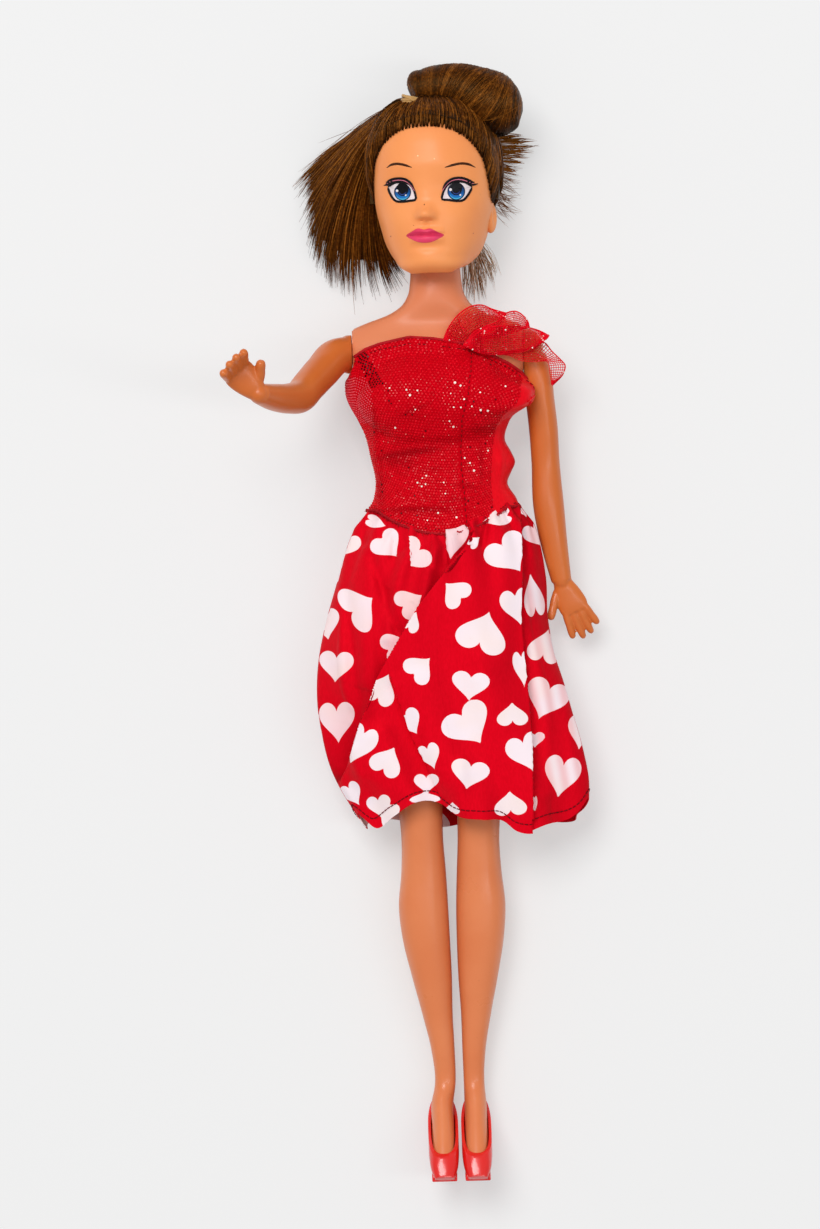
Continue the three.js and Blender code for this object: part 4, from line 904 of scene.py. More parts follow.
def build_head(context):
    skin = context.scene.doll_skin
    front = np.linspace(-0.3, math.pi + 0.3, 170)
    rest = np.linspace(math.pi + 0.3, 2 * math.pi - 0.3, 62)[1:-1]
    turn = np.concatenate([front, rest])
    rings = np.array([skull_ring(y, 0, turn) for y in np.linspace(CHIN_Y, HEAD_TOP, 126)])
    x, y, z = rings[..., 0], rings[..., 1], rings[..., 2]
    forward = np.clip((z - 9) / 4, 0, 1)
    rings[..., 2] += face_relief(x, y) * forward
    rings[..., 1] -= 0.7 * np.exp(-((y - CHIN_Y) / 4) ** 2) * forward
    head = loft("head", turned_head(rings))
    cut(head, loft("hollow", turned_head(skull_rings(-1.8, 40, 40)[4:])))
    cut(head, rod(9.9, 70, 88.2, "y", (0, 0, BODY_HEIGHT), 64))
    cut(head, rod(4.3, 70, 92, "y", (0, 0, BODY_HEIGHT), 48))
    ears = [head]
    for side in (-1, 1):
        deselect_all()
        bpy.ops.mesh.primitive_uv_sphere_add(segments=40, ring_count=24, radius=MM, location=(0, 0, 0))
        ear = context.object
        local = points_of(ear) * EAR_SIZE
        dish = np.exp(-(local[:, 1] / 2.6) ** 2 - ((local[:, 2] - 0.9) / 1.1) ** 2)
        local[:, 0] -= 0.9 * dish * (local[:, 0] > 0)
        local[:, 2] += 0.12 * local[:, 1]
        local *= [side, 1, 1]
        move_points(ear, turned_head(local + [14.7 if side > 0 else -13.7, 98.8, 0.4]))
        ears.append(outward(ear))
    head = merge(ears, "vinyl_head")
    smooth(head, 45)
    moulded_finish("face_vinyl", tuple(skin.face), 0.44, 0.12).on(head)
    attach(head, "head")
    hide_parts("head_shell")
    paint_face(head)


BROWS = (((387, 168), (391, 165.2), (397, 164), (404, 165), (412, 167.6)),
         ((445, 167.6), (453, 165.2), (462, 163.6), (469, 164.6), (475.5, 167.6)))
LASH_LINES = (((386.6, 184.4), (388, 182), (392.5, 179.6), (396.6, 178.7), (401, 178.5), (406.6, 179.9), (411.5, 183.8),
               (414.8, 189.8)),
              ((442.4, 189.7), (445.2, 184.5), (450.8, 179.6), (457.8, 177.9), (462, 178.2), (465.5, 179.2), (470, 181),
               (474, 183)))
EYES = (
    dict(white=((388.6, 187.2), (394, 182.4), (401, 181.2), (408, 182.2), (412.6, 187), (415.8, 195.2), (416.2, 199.4),
                (410, 201), (402, 202), (396, 201.2), (392.2, 196.8), (389.4, 191)),
         iris=(402.9, 192.4, 8.5), pupil=(402.9, 189.2, 5.9, 7.0), spark=((397.6, 190.9, 1.35), (406.2, 195.5, 0.85))),
    dict(white=((471.8, 187.2), (467, 182.4), (459, 180.6), (451.5, 181.4), (446.2, 186.6), (442.6, 194.6),
                (442, 199.2), (449, 200.2), (456, 201.2), (463, 200.4), (467.6, 195.6), (470.6, 190.4)),
         iris=(456.3, 191.5, 8.9), pupil=(456.1, 188.6, 6.0, 7.0), spark=((450.6, 189.9, 1.45), (460.3, 195.3, 0.9))),
)
LASHES = (((391.5, 186.4), (388, 184.8), (384.4, 185.6)), ((391.8, 184.9), (388.8, 182.6), (386.4, 182.0)),
          ((394.2, 183.6), (391.4, 181.2), (389.6, 180.2)),
          ((469.6, 185.6), (473.6, 184.8), (477.6, 183.9)), ((468.6, 184.4), (472, 182.4), (474.2, 182.2)),
          ((466.4, 183.0), (469.4, 180.8), (470.8, 179.9)))


class PaintFilm:
    """Thin painted shapes that lie on the face, collected as one mesh."""

    def __init__(self, head):
        mesh = head.data
        self.tree = BVHTree.FromPolygons([v.co for v in mesh.vertices], [p.vertices for p in mesh.polygons])
        self.points, self.faces, self.colours = [], [], []

    def land(self, pixel_x, pixel_y, lift):
        """The place on the face under a pixel, lifted off by the paint's thickness."""
        high = camera_point(pixel_x, pixel_y, 60)
        low = camera_point(pixel_x, pixel_y, 0)
        start = Vector((high[0], high[1], 60)) * MM
        way = (Vector((low[0], low[1], 0)) * MM - start).normalized()
        spot, normal, _, _ = self.tree.ray_cast(start, way)
        return np.array(spot) / MM + np.array(normal) * lift

    def sheet(self, grid, colours, lift):
        """Add a grid of pixels, rows by columns, as one patch of paint."""
        rows, columns = grid.shape[:2]
        start = len(self.points)
        for i in range(rows):
            for j in range(columns):
                self.points.append(self.land(grid[i, j, 0], grid[i, j, 1], lift))
                self.colours.append((*colours[i, j], 1))
        self.faces += ring_faces(rows, columns, False, start)

    def stroke(self, path, width, colour, lift, taper=0.25):
        """A brush line whose ends run thin."""
        path = along_path(np.column_stack([path, np.zeros(len(path))]), 34)[:, :2]
        side = unit(np.gradient(path, axis=0))[:, ::-1] * [-1, 1]
        share = np.linspace(0, 1, len(path))
        shape = np.clip(np.minimum(share, 1 - share) / max(taper, 1e-3), 0.12, 1) ** 0.6
        across = np.linspace(-0.5, 0.5, 4)
        grid = path[:, None] + side[:, None] * (across[None, :, None] * width * shape[:, None, None])
        self.sheet(grid, np.tile(colour, (len(path), 4, 1)), lift)

    def blob(self, outline, centre, shade, lift, rings=9):
        """A filled shape; shade gives the colour at a share from its middle and a pixel."""
        outline, centre = np.asarray(outline, float), np.asarray(centre, float)
        share = np.linspace(0, 1, rings)
        grid = centre + (outline[None] - centre) * share[:, None, None]
        grid = np.concatenate([grid, grid[:, :1]], axis=1)
        colours = np.array([[shade(share[i], grid[i, j]) for j in range(grid.shape[1])] for i in range(rings)])
        self.sheet(grid, colours, lift)

    def finished(self, name):
        film = new_piece(name, self.points, self.faces)
        write_attribute(film, "paint", self.colours, "FLOAT_COLOR")
        mesh = film.data
        if sum(p.normal.z for p in mesh.polygons) < 0:
            mesh.flip_normals()
        return film


def closed_curve(corners, count):
    """A smooth closed line through corners."""
    corners = np.asarray(corners, float)
    wrapped = np.concatenate([corners[-3:], corners, corners[:3]])
    place = lengths_along(wrapped)
    return through(place, wrapped, np.linspace(place[3], place[3 + len(corners)], count, endpoint=False))


def oval_pixels(centre, width, height, count=48):
    turn = full_turn(count)
    return np.stack([centre[0] + np.cos(turn) * width, centre[1] + np.sin(turn) * height], axis=1)


def between(first, last, share):
    """A colour at a share of the way from the first to the last."""
    share = min(max(share, 0), 1)
    return tuple(a + (b - a) * share for a, b in zip(first, last))


def clipped_to(points, outline, centre):
    """Pull points that lie outside a star-shaped outline back to it."""
    points, outline = np.array(points, float), np.asarray(outline, float) - centre
    reach = np.arctan2(outline[:, 1], outline[:, 0])
    order = np.argsort(reach)
    lengths = np.linalg.norm(outline, axis=1)[order]
    out = points - centre
    angle = np.arctan2(out[:, 1], out[:, 0])
    limit = np.interp(angle, reach[order], lengths, period=2 * math.pi)
    length = np.linalg.norm(out, axis=1)
    return centre + out * np.minimum(1, limit / np.maximum(length, 1e-9))[:, None]


def paint_face(head):
    """Brush the brows, the eyes, the lips and the few specks on the head."""
    film = PaintFilm(head)
    black, white = paint(14, 9, 14), paint(246, 238, 240)
    for path in BROWS:
        film.stroke(path, 2.4, paint(66, 32, 6), 0.05)
    for eye, line in zip(EYES, LASH_LINES):
        rim = closed_curve(eye["white"], 72)
        middle = rim.mean(axis=0)
        film.blob(rim, middle, lambda share, spot: between(white, paint(226, 206, 208), share * 0.8), 0.04, 18)
        x, y, radius = eye["iris"]
        disc = clipped_to(oval_pixels((x, y), radius, radius), rim, middle)

        def iris_shade(share, spot, top=y - radius, size=radius * 2):
            low = (spot[1] - top) / size
            deep = between(paint(8, 18, 56), paint(30, 116, 200), (low - 0.2) * 1.5)
            glow = between(deep, paint(16, 140, 150), (low - 0.78) * 4 if share > 0.55 else 0)
            return between(glow, paint(8, 14, 40), (share - 0.84) * 9)
        film.blob(disc, (x, y), iris_shade, 0.09, 18)
        px, py, wide, tall = eye["pupil"]
        pupil = clipped_to(oval_pixels((px, py), wide, tall), rim, middle)
        film.blob(pupil, (px, py), lambda share, spot: paint(8, 8, 16), 0.13)
        crescent = [(px + math.cos(a) * wide * 0.72, py + math.sin(a) * tall * 0.8)
                    for a in np.linspace(0.45, math.pi - 0.45, 14)]
        film.stroke(crescent, 0.8, paint(46, 74, 150), 0.16, 0.4)
        ring = [(x + math.cos(a) * radius * 0.8, y + math.sin(a) * radius * 0.84)
                for a in np.linspace(0.5, math.pi - 0.5, 16)]
        film.stroke(ring, 0.95, paint(80, 180, 220), 0.12, 0.4)
        for sx, sy, size in eye["spark"]:
            film.blob(oval_pixels((sx, sy), size, size, 20), (sx, sy), lambda share, spot: white, 0.19, 3)
        film.stroke(np.concatenate([rim, rim[:1]]), 2.3, black, 0.16, 0.001)
        film.stroke(sorted(p for p in eye["white"] if p[1] < 188), 4.0, black, 0.17, 0.2)
        inner = np.array(line) + [0, 1.35]
        film.stroke(inner, 1.5, paint(238, 128, 152), 0.18, 0.15)
        film.stroke(line, 2.5, black, 0.2, 0.18)
    for path in LASHES:
        film.stroke(path, 2.2, black, 0.21, 0.5)
    mouth = closed_curve([(406.4, 235.9), (412, 231.6), (417.8, 228.6), (424, 229.6), (430.4, 228.6), (437, 231.6),
                          (444.2, 235.2), (438, 239.4), (431, 242.3), (424.8, 243), (418, 242.2), (411.6, 239.6)], 80)

    def lip_shade(share, spot):
        base = between(paint(232, 62, 100), paint(206, 44, 88), abs(spot[0] - 424) / 22)
        lower = between(base, paint(244, 74, 116), (spot[1] - 236) / 5)
        line = between(lower, paint(176, 34, 66), 0.75 - abs(spot[1] - 235.2) / 0.9)
        return between(line, paint(222, 84, 84), (share - 0.88) * 5)
    film.blob(mouth, (424.6, 235.8), lip_shade, 0.03, 26)
    for x, y, size, colour in ((424.5, 204.7, 0.55, (120, 60, 30)), (418, 156, 0.9, (255, 214, 160)),
                               (434.5, 159, 0.8, (255, 206, 150)), (413.8, 225.6, 0.5, (196, 104, 60)),
                               (391, 236.5, 0.7, (204, 112, 70)), (473.4, 233.4, 0.5, (210, 112, 80))):
        film.blob(oval_pixels((x, y), size, size, 16), (x, y), lambda share, spot, c=colour: paint(*c), 0.04, 3)
    mask = film.finished("face_paint")
    modify(mask, "SOLIDIFY", thickness=0.02 * MM, offset=-1)
    smooth(mask)
    finish = Finish("eye_and_lip_paint", (0.5, 0.1, 0.1), 0.4, Specular_IOR_Level=0.2)
    print_grain = finish.span(finish.noise(700, 2), 0.3, 0.7, 0.92, 1.06)
    finish.colour(finish.mix(1.0, finish.attribute("paint", "Color"), print_grain, "MULTIPLY"))
    finish.on(mask)
    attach(mask, "head")


# Hair

def skull_tree():
    """A search tree of the bare skull, and the point that its surface is seen from."""
    form = loft("skull", turned_head(skull_rings(0, 80, 90)))
    tree = BVHTree.FromPolygons([v.co / MM for v in form.data.vertices], [p.vertices for p in form.data.polygons])
    bpy.data.objects.remove(form)
    return tree, turned_head(np.array([0, 110, 1.0]))


def on_skull(tree, centre, ways, lift):
    """Points over the skull in the given directions, lifted off it."""
    points = np.empty_like(ways)
    for index, (way, rise) in enumerate(zip(ways.reshape(-1, 3), np.ravel(lift))):
        spot = tree.ray_cast(Vector(centre + way * 80), Vector(-way))[0]
        points.reshape(-1, 3)[index] = np.array(spot) + way * rise
    return points


class Locks:
    """Many thin drawn locks, collected as one mesh with a tone for each point."""

    def __init__(self, seed):
        self.points, self.faces, self.tones = [], [], []
        self.chance = np.random.default_rng(seed)
        self.count = 0

    def add(self, paths, radius, tone, sides=3):
        """Tubes along paths (locks by points by 3); radius and tone are given for each point."""
        paths = np.asarray(paths, float)
        number, length, _ = paths.shape
        radius = np.broadcast_to(radius, (number, length))
        tone = np.broadcast_to(tone, (number, length))
        tangent = unit(np.gradient(paths, axis=1))
        across = unit(np.cross(tangent, [0.37, 0.22, 0.9]))
        up = np.cross(tangent, across)
        turn = full_turn(sides)
        ring = across[:, :, None] * np.cos(turn)[:, None] + up[:, :, None] * np.sin(turn)[:, None]
        points = paths[:, :, None] + ring * radius[:, :, None, None]
        i, j, k = np.meshgrid(np.arange(number), np.arange(length - 1), np.arange(sides), indexing="ij")
        row, step = (i * length + j) * sides + self.count, (k + 1) % sides
        quads = np.stack([row + k, row + sides + k, row + sides + step, row + step], axis=-1).reshape(-1, 4)
        self.faces += quads.tolist()
        starts = np.arange(number) * length * sides + self.count
        self.faces += (starts[:, None] + np.arange(sides)).tolist()
        self.faces += (starts[:, None] + (length - 1) * sides + np.arange(sides)[::-1]).tolist()
        self.points.append(points.reshape(-1, 3))
        self.tones.append(np.repeat(tone.reshape(-1), sides))
        self.count += number * length * sides

    def taper(self, length, thick, root=0.7, tip=0.35):
        """Half widths along a lock that is thinner at its root and tip."""
        share = np.linspace(0, 1, length)
        return thick * np.minimum(1, np.minimum(root + share * 4, tip + (1 - share) * 4))

    def finished(self, name, floor=0.05):
        points = np.concatenate(self.points)
        points[:, 2] = np.maximum(points[:, 2], floor)
        piece = new_piece(name, points, self.faces)
        write_attribute(piece, "tone", np.concatenate(self.tones))
        return smooth(piece)


def hair_finish(name, dark, middle, light, gloss=0.34, fleck=0.16):
    """Drawn nylon fibre: the tone of each lock, finer streaks in it and a soft sheen."""
    finish = Finish(name, middle, gloss, Specular_IOR_Level=0.3, Specular_Tint=(0.95, 0.55, 0.2, 1))
    tone = finish.attribute("tone")
    fine = finish.span(finish.noise(1500, 3), 0.3, 0.7, -fleck, fleck)
    shade = finish.ramp(finish.maths("ADD", tone, fine), [
        (0.0, darker(dark, 0.3)), (0.25, dark), (0.55, middle), (0.8, light), (1.0, toned(light, 1.35, 1.3, 1.3))])
    finish.colour(shade)
    finish.patchy(300, 2, gloss, gloss + 0.2)
    finish.bump(finish.noise(2600, 2), 0.03, 0.5)
    return finish


def add_base(locks_piece, base, tone, name):
    """Fuse the form under the locks with the locks as one piece."""
    # The form is given one dark tone: painted shade in the depths under the locks.
    write_attribute(base, "tone", np.full(len(base.data.vertices), tone))
    return merge([base, locks_piece], name)


def prism(outline, low, high):
    """A bar along Z with the given outline."""
    return straight_bar("prism", [[x, y, z] for z in (low, high) for x, y in outline])


HAIRLINE = [(-15.7, 103.4), (-15.4, 108), (-14.2, 113.8), (-11.2, 118.2), (-6.6, 121.1), (0, 122.0), (6.6, 121.1),
            (11.4, 118.1), (14.4, 113.4), (15.5, 107.6), (15.9, 101.5)]
GATHER = np.array([
    (0, -7.5, 130.2, 25), (.2, -7, 130.5, 25.5), (.33, -5.5, 130.9, 26), (.42, -3.2, 131.3, 26.3),
    (.5, -.2, 131.6, 26.6), (.58, 3.4, 131.4, 26.6), (.67, 7, 130.6, 26), (.8, 11.5, 127.8, 24.5),
    (1, 14.5, 124.5, 22)])


def face_depth(x, y):
    """Height of the straight skull's front at places on it."""
    width, front, back = through(HEAD_ROWS[:, 0], HEAD_ROWS[:, 1:], y).T
    share = np.clip(np.abs(x) / width, 0, 0.9999)
    half = (front + back) / 2
    return HEAD_FORWARD + (front - back) / 2 + half * (1 - share ** HEAD_POWER) ** (1 / HEAD_POWER)


def swept(first, last, steps):
    """Directions that turn evenly from first to last."""
    angle = np.arccos(np.clip((first * last).sum(axis=-1), -1, 1))[:, None, None]
    share = steps[None, :, None]
    angle = np.maximum(angle, 1e-4)
    return unit((np.sin((1 - share) * angle) * first[:, None] + np.sin(share * angle) * last[:, None]) / np.sin(angle))


def cap_base():
    """The layer of hair under the drawn locks, open over the face and the ears."""
    turn = np.linspace(0, math.pi, 40)
    layers = []
    for grow, inset in ((1.5, 3.4), (0.4, 1.5)):
        layer = loft("cap", skull_rings(grow, 60, 72))
        cut(layer, loft("skull", skull_rings(0.15, 60, 72)))
        arch = [(math.cos(a) * (15.5 + inset), 108 + math.sin(a) * (14.0 + inset)) for a in turn]
        cut(layer, prism(arch + [(-15.5 - inset, 80), (15.5 + inset, 80)], 3, 60))
        cut(layer, block((-60, 60, -7), (60, 103.5, 60)))
        cut(layer, block((-60, 60, -11), (60, 99.5, 60)))
        cut(layer, block((-60, 60, -60), (60, 93, 60)))
        layers.append(layer)
    base = merge(layers, "cap")
    points = turned_head(points_of(base))
    points[:, 2] = np.maximum(points[:, 2], 0.05)
    move_points(base, points)
    return smooth(base, 50)


def build_cap(context, finish):
    """Root the hair behind the hairline and at the nape, and comb it up to the roll."""
    tree, centre = skull_tree()
    locks = Locks(11)
    chance = locks.chance
    length = 13
    steps = np.linspace(0, 1, length)
    line = np.array(HAIRLINE)
    place = lengths_along(line)
    for row, (inset, number, lift) in enumerate(((0.0, 60, 1.6), (1.5, 60, 1.85), (3.6, 58, 2.1), (7.0, 44, 2.1))):
        plugs = (np.arange(number) + 0.5 * (row % 2)) / number
        each = 14 if row < 2 else 11
        u = np.repeat(plugs, each)
        spread = chance.uniform(-0.5, 0.5, len(u)) / number
        roots = through(place, line, np.clip(u + spread * (0.42 if row < 2 else 0.9), 0, 1) * place[-1])
        way = unit(np.column_stack([roots[:, 0] / 15.6, (roots[:, 1] - 106) / 17.6]))
        roots = roots + way * inset + chance.normal(0, 0.1, roots.shape)
        width = through(HEAD_ROWS[:, 0], HEAD_ROWS[:, 1:], roots[:, 1])[:, 0]
        x = np.clip(roots[:, 0], -width + 0.05, width - 0.05)
        z = face_depth(x, roots[:, 1])
        over = np.maximum(np.abs(roots[:, 0]) - width + 0.05, 0)
        starts = turned_head(np.column_stack([x, roots[:, 1], z - over * 3]))
        share = np.clip(u + spread * 1.6, 0, 1)
        goal = through(GATHER[:, 0], GATHER[:, 1:], share) + chance.normal(0, 0.35, (len(u), 3))
        ways = swept(unit(starts - centre), unit(goal - centre), steps)
        bow = np.minimum(1, 0.1 + steps * 3.4)[None]
        rise = bow * (lift + chance.normal(0, 0.2, (len(u), 1))) + 0.1
        paths = on_skull(tree, centre, ways, rise)
        tone = 0.54 + chance.normal(0, 0.14, (len(u), 1)) + 0.1 * np.sin(u * number * 2.1)[:, None]
        # Painted shade: locks are drawn darker at their roots and where they run in under the roll.
        fade = 0.42 * np.exp(-steps / 0.06) + 0.62 * np.clip((steps - 0.7) / 0.24, 0, 1)
        radius = context.scene.doll_hair.fibre / MM * chance.uniform(0.7, 1.15, (len(u), 1))
        locks.add(paths, locks.taper(length, 1) * radius, tone - fade)
    number = 620
    around = chance.uniform(math.pi + 0.35, 2 * math.pi - 0.85, number)
    low = chance.uniform(93.5, 96, number)
    ring = np.array([skull_ring(y, 0, np.array([a]))[0] for y, a in zip(low, around)])
    starts = turned_head(ring)
    goal = np.column_stack([chance.normal(1, 3.4, number), np.full(number, 131.0), chance.normal(15, 2.6, number)])
    ways = swept(unit(starts - centre), unit(goal - centre), steps)
    rise = np.minimum(1, 0.3 + steps * 3)[None] * (1.8 + chance.normal(0, 0.25, (number, 1)))
    tone = 0.46 + chance.normal(0, 0.13, (number, 1))
    locks.add(on_skull(tree, centre, ways, rise), locks.taper(length, 0.24), tone)
    cap = add_base(locks.finished("locks"), cap_base(), 0.14, "rooted_cap")
    finish.on(cap)
    return cap


BUN_ROWS = np.array([
    [-.66, .02, 0, .14], [-.56, .06, 0, .42], [-.2, .12, .02, .6], [.35, .14, .04, .72], [.95, .02, .05, .86],
    [1.55, -.26, .04, .98], [2.05, -.46, 0, 1], [2.5, -.52, -.04, .82], [2.78, -.52, -.06, .46],
    [2.88, -.52, -.06, .15],
]) * 8.6 + [0, 132.6, 21, 0]


def build_roll(context, finish):
    """The big roll of hair on top of the head."""
    rows = along_path(np.column_stack([BUN_ROWS, BUN_ROWS[:, 3], BUN_ROWS[:, 3]]), 60)
    shrunk = rows * [1, 1, 1, .955, .955, .955]
    base = loft("roll", limb_rings(shrunk, (0, 0, 1), 2, 48))
    smooth(base)
    tangent = unit(np.gradient(rows[:, :3], axis=0))
    across = unit(np.cross((0, 0, 1), tangent))
    up = np.cross(tangent, across)
    frame_rows = np.column_stack([rows[:, :4], across, up])
    place = np.linspace(0, 1, len(rows))
    locks = Locks(23)
    chance = locks.chance
    number, length = 1350, 16
    start = chance.uniform(-0.02, 0.97, number)
    steps = np.linspace(0, 1, length)
    lean = 0.05 + 0.3 * np.sin(np.clip(start * 1.25 - 0.12, 0, 1) * math.pi) ** 1.2
    turn = 4.1 - steps[None] * (5.1 + chance.normal(0, 0.1, (number, 1)))
    spot = start[:, None] + lean[:, None] * (steps[None] - 0.35) + 0.012 * np.sin(steps * 6 + start[:, None] * 30)
    spot = np.clip(spot, 0.01, 0.99)
    values = through(place, frame_rows, spot.ravel()).reshape(number, length, -1)
    radius = values[..., 3] * (0.965 + chance.uniform(0, 0.035, (number, 1)))
    paths = (values[..., :3] + values[..., 4:7] * (np.cos(turn) * radius)[..., None]
             + values[..., 7:10] * (np.sin(turn) * radius)[..., None])
    # Painted shade: locks are drawn darker in the crease where the roll turns under.
    crease = np.clip((turn - 2.1) / 0.8, 0, 1)
    gold = 0.16 * np.clip((start - 0.4) / 0.4, 0, 1)[:, None] * (np.sin(start * 73)[:, None] > 0.2)
    tone = (0.5 + chance.normal(0, 0.11, (number, 1)) + 0.1 * np.sin(start * 46 + 1)[:, None] + gold
            + 0.07 * np.sin(start * 117)[:, None] - 0.55 * crease + 0.08 * np.sin(steps * 7 + 1.2)[None])
    thick = context.scene.doll_hair.fibre / MM * chance.uniform(0.65, 1.05, (number, 1))
    locks.add(paths, locks.taper(length, 1, 0.6, 0.6) * thick, tone)
    number, length = 46, 12
    begin = chance.uniform(0.3, 0.95, number)
    steps = np.linspace(0, 1, length)
    spot = np.clip(begin[:, None] + chance.normal(0.1, 0.08, (number, 1)) * steps, 0.01, 0.99)
    values = through(place, frame_rows, spot.ravel()).reshape(number, length, -1)
    turn = chance.uniform(1.2, 2.6, (number, 1)) - chance.uniform(0.5, 2.4, (number, 1)) * steps
    radius = values[..., 3] + 0.2
    paths = (values[..., :3] + values[..., 4:7] * (np.cos(turn) * radius)[..., None]
             + values[..., 7:10] * (np.sin(turn) * radius)[..., None])
    locks.add(paths, locks.taper(length, 0.06), 0.78)
    roll = add_base(locks.finished("locks"), base, 0.12, "hair_roll")
    finish.on(roll)
    return roll


# share across, then two bends and the tip in the photograph's pixels
FAN_WAYS = np.array([
    (0, 375, 115, 340, 138, 299.5, 179.7), (.15, 372, 118, 333, 150, 304, 202), (.3, 370, 122, 328, 170, 308, 231),
    (.45, 369, 124, 326, 186, 315, 259), (.6, 370, 125, 332, 200, 330, 279), (.74, 374, 124, 346, 212, 352, 294),
    (.84, 375, 124, 358, 220, 377, 291), (.92, 376, 124, 364, 230, 396, 289), (1, 376, 124, 368, 240, 410, 282)])
# heights of the root, the two bends and the tip
FAN_TOP = (24.5, 20.5, 11.5, 5.0)
FAN_UNDER = (20.5, 10.0, 0.9, 0.4)


def fan_paths(share, level, steps, reach=1.0):
    """Paths of fibres in the fan, at a share across it and a level from the table to its top."""
    share, level = np.asarray(share, float), np.asarray(level, float)
    bends = through(FAN_WAYS[:, 0], FAN_WAYS[:, 1:], share).reshape(-1, 3, 2)
    root = np.stack([404.5 + 3 * (share - 0.4), 102.5 + 2.5 * np.abs(share - 0.5)], axis=-1)
    corners = np.concatenate([root[:, None], bends], axis=1)
    level = level * np.sqrt(1 - (2 * share - 1) ** 2 * 0.7)
    heights = np.array(FAN_UNDER) + (np.array(FAN_TOP) - FAN_UNDER) * level[:, None]
    t = (steps[None] * np.reshape(reach, (-1, 1)))[..., None]
    weights = ((1 - t) ** 3, 3 * t * (1 - t) ** 2, 3 * t ** 2 * (1 - t), t ** 3)
    pixel = sum(w * corners[:, i, None] for i, w in enumerate(weights))
    height = sum(w[..., 0] * heights[:, i, None] for i, w in enumerate(weights))
    x, y = camera_point(pixel[..., 0], pixel[..., 1], height)
    return np.stack([x, y, height], axis=-1)


def build_fan(context, finish):
    """The loose fan of hair that lies beside the head."""
    across, down = np.linspace(0.05, 0.95, 26), np.linspace(0.02, 0.86, 34)
    top, under = fan_paths(across, np.full(26, 0.72), down), fan_paths(across, np.full(26, 0.02), down)
    rings = np.concatenate([top, under[::-1]]).transpose(1, 0, 2)
    base = smooth(outward(loft("fan", rings)))
    locks = Locks(37)
    chance = locks.chance
    number, length = 1650, 15
    steps = np.linspace(0, 1, length)
    clump = chance.integers(0, 70, number)
    middle = (np.arange(70) + 0.5) / 70 + chance.normal(0, 0.006, 70)
    ends = chance.uniform(0.82, 0.99, 70)
    share = middle[clump] + chance.normal(0, 0.011, number)
    level = np.where(chance.random(number) < 0.74, chance.uniform(0.6, 1, number), chance.uniform(0.02, 0.6, number))
    reach = ends[clump] + chance.normal(0, 0.035, number)
    paths = fan_paths(np.clip(share, 0, 1), level, steps, reach)
    sway = chance.normal(0, 0.6, (number, 1)) * steps ** 3
    sway = sway + 0.22 * np.sin(steps * 9 + chance.uniform(0, 6, (number, 1)))
    tangent = unit(np.gradient(paths, axis=1))
    paths += unit(np.cross(tangent, (0, 0, 1))) * (sway * steps)[..., None]
    # Painted shade: locks of the lower layers and all locks near the band are drawn darker; the tone also rises toward
    # the tips and toward the fan's upper, outer edge.
    tone = (0.5 + chance.normal(0, 0.13, (number, 1)) + chance.normal(0, 0.09, 70)[clump][:, None]
            + 0.12 * (0.5 - share)[:, None] - 0.18 * (level < 0.6)[:, None] + 0.1 * steps
            - 0.25 * np.exp(-steps / 0.05))
    thick = context.scene.doll_hair.fibre / MM * chance.uniform(0.6, 1.1, (number, 1))
    locks.add(paths, locks.taper(length, 1, 0.5, 0.2) * thick, tone)
    number = 230
    share, level, reach = (chance.uniform(low, 1, number) for low in (0, 0.2, 0.75))
    paths = fan_paths(share, level, steps, reach)
    stray = chance.normal(0, 2.0, (number, 1)) * steps ** 3 + chance.normal(0, 0.7, (number, 1)) * np.sin(steps * 4)
    paths += unit(np.cross(unit(np.gradient(paths, axis=1)), (0, 0, 1))) * stray[..., None]
    locks.add(paths, locks.taper(length, 0.065, 0.5, 0.3), 0.62 + chance.normal(0, 0.1, (number, 1)))
    fan = add_base(locks.finished("locks"), base, 0.14, "hair_fan")
    finish.on(fan)
    return fan


def spray(locks, roots, tips, number, thick, tone, bend, spread, length=11):
    """Clumps of locks from roots to pointed tips."""
    chance = locks.chance
    steps = np.linspace(0, 1, length)[None, :, None]
    for root, tip in zip(roots, tips):
        root, tip = np.array(root, float), np.array(tip, float)
        starts = root + chance.normal(0, spread, (number, 3)) * [1, 1, 0.5]
        ends = tip + chance.normal(0, spread * 0.45, (number, 3)) * [1, 1, 0.3]
        ends = starts + (ends - starts) * chance.uniform(0.72, 1.05, (number, 1))
        side = unit(np.cross(tip - root, (0, 0, 1)))
        bow = side * (bend + chance.normal(0, 0.35, (number, 1)))
        paths = starts[:, None] * (1 - steps) + ends[:, None] * steps + bow[:, None] * np.sin(steps * math.pi)
        shade = tone + chance.normal(0, 0.1, (number, 1))
        locks.add(paths, locks.taper(length, thick, 0.9, 0.15), shade)


def photo_places(pixels, height):
    """Places in millimetres under pixels of the photograph, at one height."""
    return [(*camera_point(px, py, height), height) for px, py in pixels]


